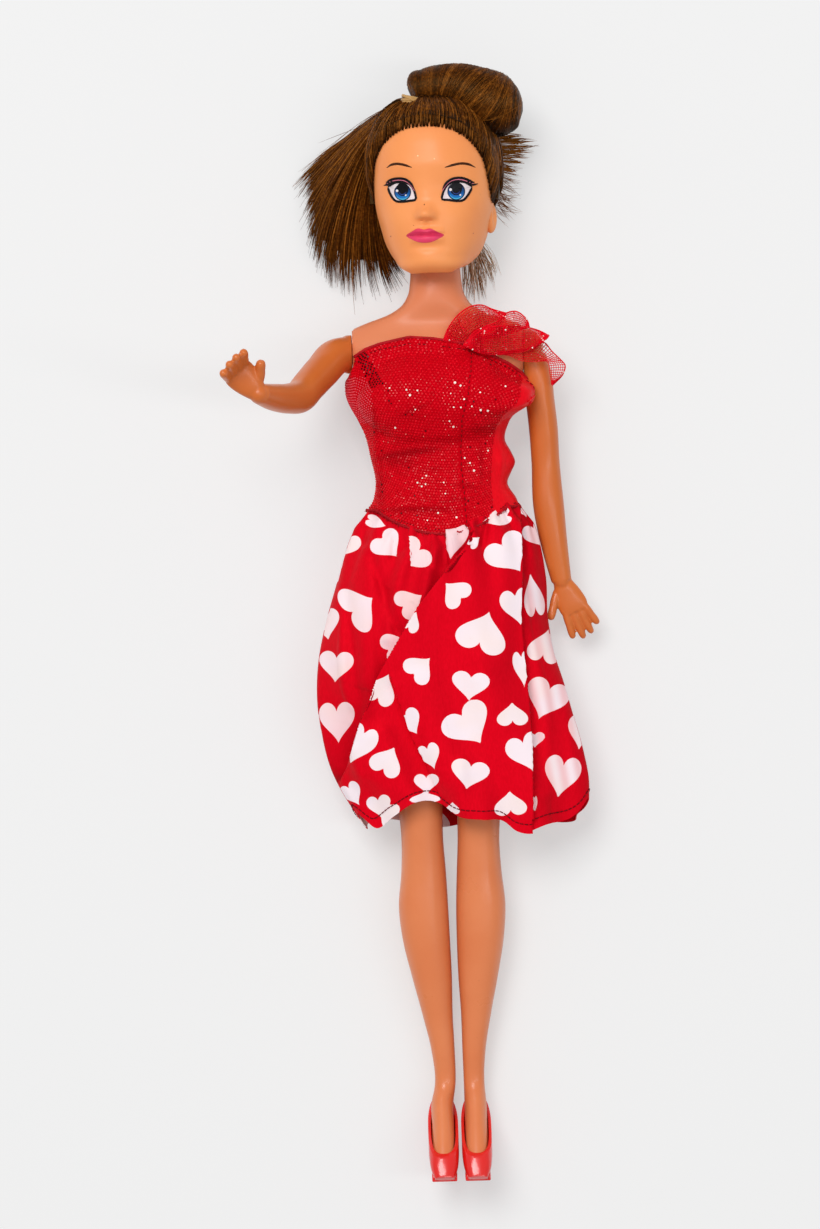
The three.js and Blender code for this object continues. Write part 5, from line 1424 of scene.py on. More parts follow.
def build_tufts(context, finish, worn):
    """The wisps that stand out behind the head and under the neck."""
    side = Locks(41)
    roots = photo_places([(487, 137), (488, 140), (489, 143), (490, 147), (490, 150), (490.5, 154), (491, 159),
                          (491, 165)], 7.5)
    tips = photo_places([(521.7, 135.5), (527.6, 138.6), (533, 141.8), (537.8, 146), (533.4, 151), (529.5, 157.5),
                         (524, 163), (517, 172)], 4)
    spray(side, roots, tips, 15, 0.1, 0.82, 0.15, 0.5)
    roots = photo_places([(490, 148 + i * 6) for i in range(9)], 6.5)
    tips = photo_places([(520, 150), (527, 155), (522, 168), (518, 176), (521, 183), (517, 192), (513, 203), (511, 212),
                         (510, 221)], 2.5)
    spray(side, roots, tips, 6, 0.065, 0.78, 0.4, 0.6)
    fine = side.chance
    for _ in range(55):
        start = fine.uniform(148, 205)
        ends = photo_places([(507 + fine.uniform(0, 17), start + fine.uniform(-6, 36))], 1.5)
        spray(side, photo_places([(491, start)], 6), ends, 2, 0.045, 0.84, 0.7, 0.6)
    tuft = side.finished("side_wisps")
    finish.on(tuft)
    nape = Locks(43)
    roots = photo_places([(464 + i * 2.4, 244) for i in range(8)], 7)
    tips = photo_places([(463, 298), (467, 301), (473, 303), (479, 300), (483.4, 298), (488, 289), (493, 283),
                         (497.5, 277)], 2)
    spray(nape, roots, tips, 9, 0.085, 0.8, -0.4, 0.7)
    spray(nape, roots[:5], tips[2:7], 6, 0.085, 0.58, -0.3, 0.7)
    tips = photo_places([(466, 304), (484, 304), (495, 292), (500, 276)], 1.4)
    spray(nape, roots[::2], tips, 4, 0.05, 0.85, -1.2, 1.0)
    lower = nape.finished("nape_wisps")
    worn.on(lower)
    return tuft, lower


def build_band(finish):
    """The elastic round the gathered hair, in turns side by side, with a loose turn across them."""
    rings = []
    for shift, size, lean in ((-0.62, 1.0, 0.03), (0.05, 1.03, -0.06), (0.7, 0.97, 0.1), (0.15, 1.07, 0.42)):
        deselect_all()
        bpy.ops.mesh.primitive_torus_add(major_segments=64, minor_segments=12, major_radius=2.35 * size * MM,
                                         minor_radius=0.4 * MM)
        ring = bpy.context.object
        ring.rotation_euler = Vector((0.12 + lean, 1, 0.08)).to_track_quat("Z", "Y").to_euler()
        ring.location = Vector((-5.2, 130.0 + shift, 26.2)) * MM
        rings.append(settle(ring))
    band = smooth(merge(rings, "tan_elastic"))
    finish.on(band)
    return band


def build_hair(context):
    hair = context.scene.doll_hair
    brown = hair_finish("brown_fibre", tuple(hair.dark), tuple(hair.middle), tuple(hair.light))
    worn = hair_finish("worn_fibre", darker(tuple(hair.nape), 0.42), tuple(hair.nape), paint(196, 172, 146), 0.5, 0.08)
    wispy = hair_finish("wispy_fibre", tuple(hair.dark), tuple(hair.middle), tuple(hair.light), 0.4, 0.05)
    elastic = Finish("tan_elastic", paint(188, 142, 74), 0.55, Sheen_Weight=0.2)
    elastic.mottle(260, 3, paint(160, 112, 52), paint(212, 168, 98))
    elastic.bump(elastic.noise(900, 2), 0.08, 0.6)
    side, nape = build_tufts(context, wispy, worn)
    pieces = {
        "hair_cap": (build_cap(context, brown), "hair"), "hair_bun": (build_roll(context, brown), "hair"),
        "hair_tail": (build_fan(context, brown), "hair"), "hair_side_tuft": (side, "hair"),
        "hair_nape_tuft": (nape, "hair"), "hair_band": (build_band(elastic), "band"),
    }
    for node, (piece, slot) in pieces.items():
        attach(piece, "head")
        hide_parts(node)


# Bodice

WAIST_Y, WAIST_DIP = 21.0, 7.0
NECKLINE = np.array([[-29, 54], [-25.4, 56.6], [-23.6, 59.6], [-22.4, 62], [-19.5, 63.8], [-15.6, 65.1], [-7.6, 66.7],
                     [-1, 66.1], [6.9, 64.6], [15, 60.9], [19, 58.9], [22.2, 56.6], [24.4, 54.2], [26.0, 51.4],
                     [27.2, 48.4], [30, 46]])
SEAMS = {"princess": np.array([[14, 6.3], [21, 6.1], [30, 5.4], [37, 5.3], [44, 5.8], [51, 7.6], [58, 8.6], [68, 9]]),
         "side": np.array([[14, 13.4], [21, 13.6], [28, 13.2], [36, 13.8], [42, 15.0], [45, 17.0], [47.5, 20.4],
                           [50, 21.6], [68, 21.8]])}
# how far the cloth stands off the body at each side, at heights along it
STAND_RIGHT = np.array([[14, 3.6], [20, 3.4], [23.2, 2], [26.7, 1.7], [33.8, 2.7], [41.7, 2.9], [45, 3.4], [52.6, 4.1],
                        [56, 2.4], [58.3, 0.8], [60, 0], [70, 0]])
STAND_LEFT = np.array([[14, 3.6], [20, 3.8], [22.7, 3.6], [27.3, 1.9], [30, 3.2], [32.7, 4.3], [35.4, 3.0], [38.7, 0.7],
                       [43, 0.5], [46, 1.0], [50, 2.0], [54, 1.2], [57, 0.4], [62, 0], [70, 0]])


def waist_seam(x):
    """Height of the waist seam at places across the front."""
    half = torso_row(np.array([WAIST_Y]))[0][0] + 1.2
    return WAIST_Y - WAIST_DIP * (1 - np.minimum(np.abs(x) / half, 1) ** 2)


def neckline(x):
    """Height of the bodice's upper edge at places across the front."""
    return np.interp(x, NECKLINE[:, 0], NECKLINE[:, 1])


# middle, reach both ways and height of each crease across the front, then of each fold along it
BODICE_CREASES = (
    (-5.5, 37.0, 9.5, 1.2, -1.0), (-5.5, 39.6, 10, 1.5, 0.6), (-4.0, 22.4, 5.5, 0.9, -0.7), (-6.5, 19.8, 7, 1.1, 0.5),
    (11.4, 31, 3, 1.5, 0.5), (3, 27.5, 8, 1.6, 0.3), (-9, 43.5, 6, 1.2, -0.4), (11, 40.5, 5, 1.2, -0.4))
BODICE_FOLDS = ((-17.6, 40, 1.5, 7, 0.9), (-15.2, 37, 1.3, 8, -0.8), (16.2, 32, 1.1, 6, 0.5))


def bridged_bust(x, y, grow):
    """Height of cloth that is stretched from one side of the bust to the other."""
    beside = np.maximum(np.abs(x) - 7.4, 0)
    out = (beside / (10.6 + grow)) ** 2 + ((y - 50.5) / (11.2 + grow)) ** 2
    dome = 6.6 + (8.6 + grow) * np.sqrt(np.maximum(1 - out, 0))
    sag = 0.5 * np.clip(1 - (x / 8.6) ** 2, 0, 1)
    return np.where(out < 1, dome - sag, 6.6 - 10 * (out - 1))


def bodice_surface(y, turn, grow=0.55):
    """Where the bodice's cloth lies: on the torso, standing off at both sides, with its creases."""
    width, front, back = torso_row(y).T
    x, z = oval(width + grow, front + grow, back + grow, TORSO_POWER, turn)
    skin = np.where(z > 0, soft_max(z, bust_height(x, y, grow), 0.9), z) - 0.15
    z = np.where(z > 0, soft_max(z, bridged_bust(x, y, grow), 3.0), z)
    share = np.clip(np.abs(x) / (width + grow), 0, 1)
    near = np.clip((share - 0.5) / 0.5, 0, 1) ** 2
    stand_right, stand_left = (through(table[:, 0], table[:, 1:], y)[..., 0] for table in (STAND_RIGHT, STAND_LEFT))
    x = np.clip(x, -22.6, 22.6) + np.where(x < 0, -stand_right, stand_left) * near
    tip = np.exp(-((y - 50.2) / 4.6) ** 4 - ((turn - 0.5) / 0.42) ** 2)
    x = x + 5.4 * tip
    z = z + 1.6 * tip
    curl = np.exp(-((y - 46.2) / 1.5) ** 2 - ((turn - 0.5) / 0.5) ** 2)
    z = z + 0.9 * curl
    front_side = np.clip(z / 6, 0, 1)
    for centre_x, centre_y, reach_x, reach_y, depth in BODICE_CREASES:
        slope = centre_y + 0.06 * (x - centre_x)
        z = z + front_side * depth * np.exp(-((x - centre_x) / reach_x) ** 4 - ((y - slope) / reach_y) ** 2)
    for centre_x, centre_y, reach_x, reach_y, depth in BODICE_FOLDS:
        z = z + front_side * depth * np.exp(-((x - centre_x) / reach_x) ** 2 - ((y - centre_y) / reach_y) ** 2)
    z = np.where(z > 0, np.maximum(z, skin), z)
    return np.stack([x, y, z + BODY_HEIGHT], axis=-1)


def bodice_front_rows(rows, dense=260):
    """Curves across the front from the right side seam to the left, from the waist up."""
    turn = np.linspace(math.pi, 0, dense)
    curves = []
    for share in np.linspace(0, 1, rows):
        y = np.full(dense, 21 + share * 40)
        for _ in range(6):
            x = bodice_surface(y, turn)[:, 0]
            y = waist_seam(x) - 0.4 + share * (neckline(x) - waist_seam(x) + 0.4)
        curves.append(bodice_surface(y, turn))
    return np.array(curves)


def between_seams(curves, low, high, columns):
    """Columns spread evenly between two seams on each curve; None stands for the side seam."""
    rows = []
    for curve in curves:
        place = lengths_along(curve)
        ends = [0.0, place[-1]]
        for index, name in enumerate((low, high)):
            if name:
                seam = np.interp(curve[:, 1], *SEAMS[name].T)
                crossing = np.nonzero(curve[:, 0] > seam)[0][0]
                ends[index] = place[crossing]
        rows.append(on_line(np.linspace(*ends, columns), place, curve))
    return np.array(rows)


def sheet_area(grid):
    """Area of a grid of points."""
    first = np.cross(grid[1:, :-1] - grid[:-1, :-1], grid[:-1, 1:] - grid[:-1, :-1])
    last = np.cross(grid[:-1, 1:] - grid[1:, 1:], grid[1:, :-1] - grid[1:, 1:])
    return (np.linalg.norm(first, axis=-1).sum() + np.linalg.norm(last, axis=-1).sum()) / 2


def cloth(name, grid, thickness):
    """A thin closed sheet whose outer face is the grid."""
    rows, columns, _ = grid.shape
    faces = ring_faces(rows, columns, wrap=False)
    away = (grid_normals(grid) * (grid - [0, 0, BODY_HEIGHT]) * [1, 0, 1]).sum(axis=-1)
    if away.mean() < 0:
        faces = [face[::-1] for face in faces]
    piece = new_piece(name, grid.reshape(-1, 3), faces)
    modify(piece, "SOLIDIFY", thickness=thickness * MM, offset=-1)
    return smooth(piece, 50)


def grid_normals(grid):
    along = np.gradient(grid, axis=0)
    across = np.gradient(grid, axis=1)
    return unit(np.cross(across, along))


def outward_normals(grid, height=BODY_HEIGHT):
    """Normals of a sheet of cloth that point away from the body."""
    normals = grid_normals(grid)
    away = (normals * (grid - [0, 0, height]) * [1, 0, 1]).sum(axis=-1)
    return normals * (1 if away.mean() > 0 else -1)


def at_places(values, row, column):
    """Read a grid between its points."""
    row = np.clip(row, 0, values.shape[0] - 1.001)
    column = np.clip(column, 0, values.shape[1] - 1.001)
    i, j = row.astype(int), column.astype(int)
    a, b = (row - i)[:, None], (column - j)[:, None]
    return ((values[i, j] * (1 - b) + values[i, j + 1] * b) * (1 - a)
            + (values[i + 1, j] * (1 - b) + values[i + 1, j + 1] * b) * a)


def scatter_discs(name, spots, normals, radius, height, colours, tilt, chance, sides=6):
    """Small raised discs that lie on a surface, each with its colour."""
    number = len(spots)
    lean = unit(normals + chance.normal(0, 1, (number, 3)) * tilt)
    across = unit(np.cross(lean, [0.13, 0.97, 0.2]))
    up = np.cross(lean, across)
    turn = full_turn(sides) + 0.3
    ring = across[:, None] * np.cos(turn)[:, None] + up[:, None] * np.sin(turn)[:, None]
    radius = np.broadcast_to(radius, number)[:, None, None]
    low = spots[:, None] + ring * radius - normals[:, None] * 0.06
    high = spots[:, None] + ring * radius * 0.86 + lean[:, None] * height
    points = np.concatenate([low, high], axis=1).reshape(-1, 3)
    faces = []
    for start in range(0, number * sides * 2, sides * 2):
        faces.append(list(range(start + sides, start + 2 * sides)))
        faces.append(list(range(start + sides - 1, start - 1, -1)))
        for j in range(sides):
            step = (j + 1) % sides
            faces.append([start + j, start + step, start + sides + step, start + sides + j])
    piece = new_piece(name, points, faces)
    write_attribute(piece, "paint", np.repeat(np.column_stack([colours, np.ones(number)]), sides * 2, axis=0),
                    "FLOAT_COLOR")
    return piece


# Places on the bodice where a foil dot is drawn near white as a painted glint.
PAINTED_GLINTS = [
    (-9.0, 52.0), (-7.7, 50.8), (-6.2, 52.1), (-13.0, 53.0), (-6.3, 47.0), (-11.8, 42.2), (-4.0, 29.7), (-5.3, 28.5),
    (-6.5, 27.6), (-4.3, 27.4), (-5.2, 26.7), (0.8, 27.2), (0.8, 24.8), (2.8, 50.8), (4.3, 54.3), (5.4, 52.9),
    (6.1, 49.1), (5.7, 46.8), (3.7, 47.0), (2.6, 43.5), (3.9, 42.2), (10.8, 50.6), (8.9, 47.0), (11.0, 46.6),
    (13.2, 45.8), (17.9, 52.5), (12.7, 35.4), (6.6, 33.7), (7.6, 32.4), (8.8, 30.6), (-1.0, 19.6), (-4.3, 17.3),
    (3.7, 18.4)]


def knit_dots(context, grid, chance):
    """The foil dots of one panel, in staggered rows: white and pale pink dots are painted glints, pink dots on the
    right side a painted sheen, dots in the creases are drawn darker as painted shade, and some are dark.
    """
    dress = context.scene.doll_dress
    spacing, radius = dress.dot_spacing / MM, dress.dot_radius / MM
    rows, columns, _ = grid.shape
    width = np.linalg.norm(np.diff(grid, axis=1), axis=-1).sum(axis=1).mean()
    height = np.linalg.norm(np.diff(grid, axis=0), axis=-1).sum(axis=0).mean()
    across, down = max(int(width / spacing), 1), int(height / (spacing * 0.866))
    j, i = np.meshgrid(np.arange(across), np.arange(down))
    v = (i.ravel() + 0.5) / down * (rows - 1)
    u = (j.ravel() + 0.25 + 0.5 * (i.ravel() % 2)) / across * (columns - 1)
    v, u = v + chance.normal(0, 0.03, len(v)), u + chance.normal(0, 0.03, len(u))
    spots, normals = at_places(grid, v, u), unit(at_places(outward_normals(grid), v, u))
    x, y = spots[:, 0], spots[:, 1]
    seam = np.interp(y, *SEAMS["princess"].T)
    clear = (np.abs(x - seam) > 0.55) | (normals[:, 2] < 0.2)
    spots, normals, x, y = spots[clear], normals[clear], x[clear], y[clear]
    number = len(x)
    red = np.array(tuple(dress.foil))
    bright = np.array(paint(240, 10, 34))
    colours = red * 0.94 + (bright - red) * chance.uniform(0.0, 1.0, (number, 1)) ** 1.4
    along, across = (x + 18.6) * 0.43 - (y - 58.2) * 0.905, (x + 18.6) * 0.905 + (y - 58.2) * 0.43
    patch = (np.abs(along) < 5.2) & (np.abs(across) < 1.6)
    colours[patch & (chance.random(number) < 0.92)] = paint(44, 0, 3)
    # Smaller pink dots on the strip at the right side: a painted sheen of the foil where it turns away at a glancing
    # angle.
    net = (x < -17.9) & (y < 56.5) & (y > 44) & ~patch & (normals[:, 2] > 0)
    colours[net] = np.array(paint(232, 84, 98))
    colours[(chance.random(number) < 0.01)] = paint(96, 4, 12)
    # Painted shade: dots on the front are drawn darker in the creases.
    front = normals[:, 2] > 0
    colours *= 1 - 0.75 * (crease_shade(x, y) * front)[:, None]
    # Painted glints: the dot nearest each listed glint place is drawn near white and larger, and pale pink dots strewn
    # round those places and at random stand for fainter glints.
    spark = np.zeros(number, bool)
    for spot_x, spot_y in PAINTED_GLINTS:
        away = (x - spot_x) ** 2 + (y - spot_y) ** 2
        if away.min() < 1:
            spark[away.argmin()] = True
    close = np.array([np.hypot(x - a, y - b) for a, b in PAINTED_GLINTS]).min(axis=0)
    faint = chance.random(number) < 0.012 + 0.2 * np.exp(-(close / 2.4) ** 2)
    colours[faint] = paint(252, 132, 124)
    colours[spark] = paint(255, 244, 232)
    size = np.where(spark, chance.uniform(0.8, 1.3, number), np.where(net, 0.7, np.where(faint, 0.55, 1)))
    size = radius * size * chance.uniform(0.85, 1.1, number)
    return scatter_discs("foil_dots", spots, normals, size, 0.12, colours, 0.16, chance)


# Painted shade along the bodice's creases: middle across and along, reach both ways, strength and slope of each.
KNIT_SHADES = (
    (-9, 35.6, 9, 1.3, .62, .12), (-12, 34, 5, 2.0, .4, -.2), (2, 38.2, 6, 1.0, .3, .05), (-6, 20.4, 9, .9, .5, -.02),
    (4, 22.6, 5, .7, .3, .1), (-16.5, 26, 1.1, 6, .3, 0), (-17.5, 44, .8, 4, .35, 0), (-7, 46.8, 4, .6, .4, .35),
    (10.8, 33, .6, 5, .3, 0), (11, 41.5, 4, .9, .3, .15), (-3, 31, 3, .7, .2, .2), (7, 26, 3, .8, .25, -.2))


def crease_shade(x, y):
    """How much painted shade darkens the knit in its creases."""
    shade = np.zeros(np.shape(x))
    for centre_x, centre_y, reach_x, reach_y, share, slope in KNIT_SHADES:
        line = centre_y + slope * (x - centre_x)
        shade = np.maximum(shade, share * np.exp(-np.abs((x - centre_x) / reach_x) ** 3 - ((y - line) / reach_y) ** 2))
    return shade


def knit_finish(context):
    """Red knit with small loops, with painted shade where it is creased."""
    foil = tuple(context.scene.doll_dress.foil)
    finish = Finish("red_knit", foil, 0.6, Specular_IOR_Level=0.1, Specular_Tint=(1, 0.05, 0.08, 1))
    loops = finish.node("ShaderNodeTexVoronoi", {"Vector": finish.place((1, 0.7, 1)), "Scale": 2600.0})
    shade = finish.mix(finish.span(loops.outputs["Distance"], 0.1, 0.7), toned(foil, 1.12, 1.2, 1.2), darker(foil, 0.7))
    shade = finish.mix(finish.span(finish.noise(140, 4), 0.45, 0.75), shade, darker(foil, 0.8))
    # Painted shade: the knit turns darker where the shade attribute is high.
    finish.colour(finish.mix(finish.attribute("shade"), shade, darker(foil, 0.3)))
    finish.bump(loops.outputs["Distance"], 0.12, 0.7)
    return finish


def satin_finish(name, colour):
    """Plain satin, with the threads of its weave."""
    finish = Finish(name, colour, 0.42, Specular_IOR_Level=0.3, Specular_Tint=(1, 0.12, 0.1, 1))
    weave = finish.noise(2400, 2, (1, 0.25, 1))
    low, high = toned(colour, 0.93, 0.9, 0.9), toned(colour, 1.05, 1.2, 1.2)
    finish.colour(finish.mix(finish.span(weave, 0.35, 0.65), low, high))
    finish.patchy(160, 3, 0.34, 0.5)
    finish.bump(weave, 0.03, 0.5)
    return finish


def build_bodice(context):
    dress = context.scene.doll_dress
    chance = np.random.default_rng(5)
    knit = knit_finish(context)
    satin = satin_finish("bodice_satin", toned(tuple(dress.satin), 1.1, 2.4, 1.0))
    foil = Finish("foil_dots", paint(220, 20, 34), 0.4, Specular_IOR_Level=0.15)
    foil.colour(foil.attribute("paint", "Color"))
    foil.patchy(500, 2, 0.25, 0.4)
    seam_red = tuple(dress.thread)
    thread = Finish("red_thread", seam_red, 0.7, Specular_IOR_Level=0.2)
    thread.mottle(1800, 2, darker(seam_red, 0.5), toned(seam_red, 1.9))
    edge = Finish("frayed_edge", paint(178, 8, 24), 0.7, Specular_IOR_Level=0.2)
    edge.mottle(700, 2, paint(120, 2, 14), paint(214, 14, 32))
    curves = bodice_front_rows(90)
    panels = {"bodice_front_panel": (None, "princess", 84, knit),
              "bodice_princess_panel": ("princess", "side", 44, knit),
              "bodice_side_panel": ("side", None, 44, satin)}
    made = []
    for node, (low, high, columns, finish) in panels.items():
        grid = between_seams(curves, low, high, columns)
        panel = cloth(node.replace("_panel", "_cloth"), grid, 0.3)
        # The crease shade is stored on each panel for the knit's painted shade.
        write_attribute(panel, "shade", np.tile(crease_shade(grid[..., 0], grid[..., 1]).ravel(), 2))
        finish.on(panel)
        extra = []
        if finish is knit:
            dots = knit_dots(context, grid, chance)
            dots.name = node.replace("_panel", "_dots")
            foil.on(dots)
            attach(dots, "torso")
            extra = [dots]
        made.append((panel, node, grid, extra))
    for node, side in (("bodice_back_right_panel", -1), ("bodice_back_left_panel", 1)):
        grid = bodice_back_grid(side)
        panel = cloth(node.replace("_panel", "_cloth"), grid, 0.3)
        write_attribute(panel, "shade", np.zeros(2 * grid[..., 0].size))
        knit.on(panel)
        made.append((panel, node, grid, []))
    stitches, frayed = bodice_thread(curves)
    thread.on(stitches)
    edge.on(frayed)
    for piece in (stitches, frayed):
        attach(piece, "torso")
    for panel, node, grid, extra in made:
        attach(panel, "torso")
        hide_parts(node)
    tape = Finish("hook_and_loop", paint(204, 24, 34), 0.8, Specular_IOR_Level=0.1)
    fuzz = tape.noise(1500, 4)
    tape.colour(tape.mix(fuzz, paint(150, 10, 22), paint(228, 60, 66)))
    tape.bump(fuzz, 0.25, 0.9)
    for node in ("closure_loop_strip", "closure_hook_strip"):
        tape.on(bpy.data.objects[node])


def bodice_back_grid(side):
    """Rows of one back panel, from the side seam to its lap over the other panel."""
    reach = 0.8 if side < 0 else -5.0
    rows = []
    for share in np.linspace(0, 1, 70):
        end = 0 if side > 0 else math.pi
        turn = np.linspace(end, 1.5 * math.pi if side < 0 else -0.5 * math.pi, 200)
        y = np.full(200, 21 + share * 30)
        for _ in range(3):
            x = bodice_surface(y, turn)[:, 0]
            rise = np.clip((np.abs(x) - 12) / 11, 0, 1) ** 2
            y = 20.6 + share * (30.6 + 8 * rise)
        curve = bodice_surface(y, turn)
        lap = np.linspace(0, reach, 16)[1:, None]
        if side > 0:
            curve[:, 2] -= 3.3 * np.clip(1 - np.abs(curve[:, 0]) / 9, 0, 1)
        curve = np.concatenate([curve, curve[-1] + lap * [1, 0, 0]])
        place = lengths_along(curve)
        rows.append(on_line(np.linspace(0, place[-1], 60), place, curve))
    grid = np.array(rows)
    grid[..., 2] = np.maximum(grid[..., 2], 0.4)
    return grid


def bodice_thread(curves):
    """Stitches along the neckline and the princess seam, and the frayed edge of the waist seam."""
    thread, frayed = Locks(61), Locks(62)
    chance = thread.chance
    normals = outward_normals(curves)

    def stitch(line, rise, number, fill, lift, radius, keep=1.0):
        place = lengths_along(line)
        for index in range(number):
            if chance.random() > keep:
                continue
            start = (index + 0.2) / number * place[-1]
            spots = np.linspace(start, start + fill * place[-1] / number, 5)
            arc = np.sin(np.linspace(0, math.pi, 5))[:, None] * 0.12 + lift
            path = on_line(spots, place, line) + on_line(spots, place, rise) * arc
            thread.add(path[None], radius, 0.5, 5)

    stitch(curves[-4], normals[-4], 52, 0.6, 0.02, 0.13, 0.8)
    stitch(curves[2], normals[2], 60, 0.5, 0.02, 0.12, 0.7)
    seam = between_seams(curves, "princess", None, 2)[:, 0]
    stitch(seam, np.repeat([[0, 0, 1.0]], len(seam), axis=0), 34, 0.5, 0.04, 0.12)
    hem = curves[-1]
    frayed.add(hem[None, ::3] + normals[-1][None, ::3] * 0.05, 0.42, 0.5, 8)
    low = curves[0]
    number = 300
    spots = chance.uniform(3, len(low) - 4, number)
    roots = on_line(spots, np.arange(len(low)), low)
    ways = np.column_stack([chance.normal(0, 0.5, number), chance.normal(-0.6, 0.4, number),
                            chance.uniform(0, 0.6, number)])
    steps = np.linspace(0, 1, 5)[None, :, None]
    paths = roots[:, None] + ways[:, None] * steps * chance.uniform(0.3, 1.1, (number, 1, 1)) + [0, 0.25, 0.1]
    frayed.add(paths, 0.12, 0.5)
    bumps = np.sin(np.arange(len(low)) * 1.9) * 0.16 + chance.normal(0, 0.1, len(low))
    roll = low + normals[0] * 0.16 + np.outer(bumps, [0, 1, 0.4])
    frayed.add(roll[None], 0.3, 0.5, 6)
    return thread.finished("bodice_thread"), frayed.finished("bodice_edge")


# Skirt

SKIRT_WIDTH = 35.0
SKIRT_HEIGHT = 31.0
SKIRT_POWER = 1.9
# share from the waist to the hem, then left, right, top and lift off the table
SKIRT_ROWS = np.array([
    [.03, -.625, .63, .94, .3], [.09, -.7, .7, .965, .12], [.17, -.78, .75, .985, 0], [.26, -.845, .782, 1, 0],
    [.37, -.92, .79, .99, 0], [.49, -.975, .84, .965, 0], [.61, -.985, .92, .94, 0], [.73, -.95, .98, .91, 0],
    [.85, -.88, 1.03, .88, 0], [.94, -.78, 1.05, .85, 0], [1, -.7, 1.04, .83, 0],
])
# the front's pleats: their lines, which side lies on top, and how deep they are
FOLDS = {
    "A": np.array([(9.0, 15.4), (5.5, 9.9), (0.0, 3.5), (-7.3, -5.2), (-11.7, -12.2), (-16.7, -20.4), (-21.1, -27.9),
                   (-24.9, -37.3), (-28.2, -48.5), (-30.1, -52.6)]),
    "B": np.array([(21.2, 19.2), (21.1, 1.7), (20.3, -8.4), (20.9, -18.5), (21.9, -31.6), (22.4, -43.5),
                   (22.2, -61.3)]),
    "C": np.array([(-15.6, -23.4), (-13.4, -30.6), (-10.1, -40.8), (-6.2, -48.6), (-2.6, -57.6)]),
    "D": np.array([(-10.1, 15.0), (-9.6, 8.5), (-8.6, 1.0)]),
    "E": np.array([(0.6, 17.0), (0.6, 10.6), (0.9, 3.8)]),
}
FOLD_SIDE = {"A": 1, "B": -1, "C": 1, "D": 1, "E": 1}
FOLD_DEPTH = {"A": 2.0, "B": 1.7, "C": 0.9, "D": 0.7, "E": 0.7}
# middle, size, the way its tip points, width to height, and the pleats that cut it
HEARTS = [
    (-14.8, 10.8, 8.3, -52, 1.0, ""), (-8.5, 7.9, 9.0, -141, 1.03, "D>"), (2.6, 11.9, 12.0, -100, 0.62, "A<E>"),
    (8.3, 11.3, 4.2, 40, 0.7, "A>"), (17.5, 7.3, 11.7, -56, 1.0, "B<"), (2.5, -2.0, 7.5, 134, 1.08, ""),
    (-22.8, -5.2, 9.0, 33, 1.45, ""), (-9.2, -4.4, 7.9, 30, 1.02, "A<"), (9.9, -12.7, 11.9, 71, 1.12, ""),
    (-7.1, -21.9, 7.8, 43, 1.05, ""), (6.0, -27.4, 8.4, -98, 1.16, ""), (-32.4, -9.9, 9.0, -80, 0.9, ""),
    (-29.8, -21.3, 9.1, -95, 1.0, ""), (-13.3, -16.0, 8.1, 25, 1.0, "A<"), (-9.1, -9.4, 6.3, 60, 0.8, "A>"),
    (-26.5, 11.4, 8.1, -120, 0.9, ""), (-17.7, 17.2, 6.6, -25, 0.5, ""), (25.7, 12.6, 8.4, -60, 0.85, "B>"),
    (23.8, -3.1, 12.9, 97, 0.42, "B>"), (19.3, -6.7, 10.7, -80, 0.8, "B<"), (26.7, -17.0, 9.9, 75, 0.9, "B>"),
    (14.2, 17.4, 9.0, -165, 0.5, ""), (21.6, 20.6, 6.9, -70, 0.9, "B>"), (-17.5, -27.2, 9.4, 64, 0.85, "A>"),
    (-10.3, -36.7, 7.8, -60, 0.85, "C>"), (5.5, -38.1, 12.2, -57, 1.07, ""), (17.1, -35.0, 6.8, 90, 1.2, ""),
    (26.3, -31.8, 11.7, -112, 0.98, "B>"), (-29.9, -36.4, 12.0, -88, 0.78, ""), (-24.3, -42.4, 12.2, -117, 0.68, "A>"),
    (-16.6, -46.5, 8.8, 61, 0.96, ""), (-5.2, -45.9, 7.6, -72, 0.75, "C>"), (5.1, -51.1, 8.5, -103, 1.18, ""),
    (20.7, -45.8, 11.1, -72, 0.9, "B<"), (23.0, -42.4, 4.5, -90, 1.2, "B>"), (30.0, -52.7, 12.3, -102, 0.78, ""),
    (35.7, -41.0, 9.9, -100, 0.75, ""), (-6.4, -53.3, 5.9, -90, 1.1, ""), (-6.9, -56.7, 3.1, 90, 2.6, ""),
    (15.9, -58.9, 7.2, 92, 1.18, ""), (-19.2, -59.2, 6.7, -80, 0.95, ""), (-26.3, -55.8, 7.2, -60, 0.75, ""),
    (22.4, -59.8, 5.4, -90, 0.3, "B>"), (0.4, -59.8, 3.7, 90, 1.0, ""), (-17.1, -61.2, 5.4, 150, 1.3, ""),
    (20.2, -23.3, 10.5, -85, 0.45, "B<"),
]


def to_line(x, y, line):
    """Signed distance of places from a line, the share along it, and the way square to it."""
    start, run = line[:-1], np.diff(line, axis=0)
    long = (run ** 2).sum(axis=1)
    offset = np.stack([x, y], axis=-1)[..., None, :] - start
    share = np.clip((offset * run).sum(axis=-1) / long, 0, 1)
    gap = offset - share[..., None] * run
    distance = np.linalg.norm(gap, axis=-1)
    near = distance.argmin(axis=-1)
    share, distance = (np.take_along_axis(values, near[..., None], axis=-1)[..., 0] for values in (share, distance))
    way = unit(run)[near]
    square = np.stack([-way[..., 1], way[..., 0]], axis=-1)
    side = (np.take_along_axis(gap, near[..., None, None], axis=-2)[..., 0, :] * square).sum(axis=-1)
    beyond = ((near == 0) & (share <= 0)) | ((near == len(run) - 1) & (share >= 1))
    return np.where(beyond, np.sign(side) * distance, side), (near + share) / len(run), square


SKIRT_HEM = np.array([
    (-33, -47), (-31.5, -49.5), (-28.9, -55.1), (-26.9, -58.9), (-23.4, -62.6), (-20.1, -65.0), (-15.5, -61.8),
    (-10.7, -58.6), (-6.9, -57.9), (-2.9, -58.6), (1.6, -62.0), (8.3, -63.2), (14, -63.8), (17.4, -66.6), (20.1, -67.4),
    (27.4, -65.4), (35.4, -61.5), (38, -57.4)])


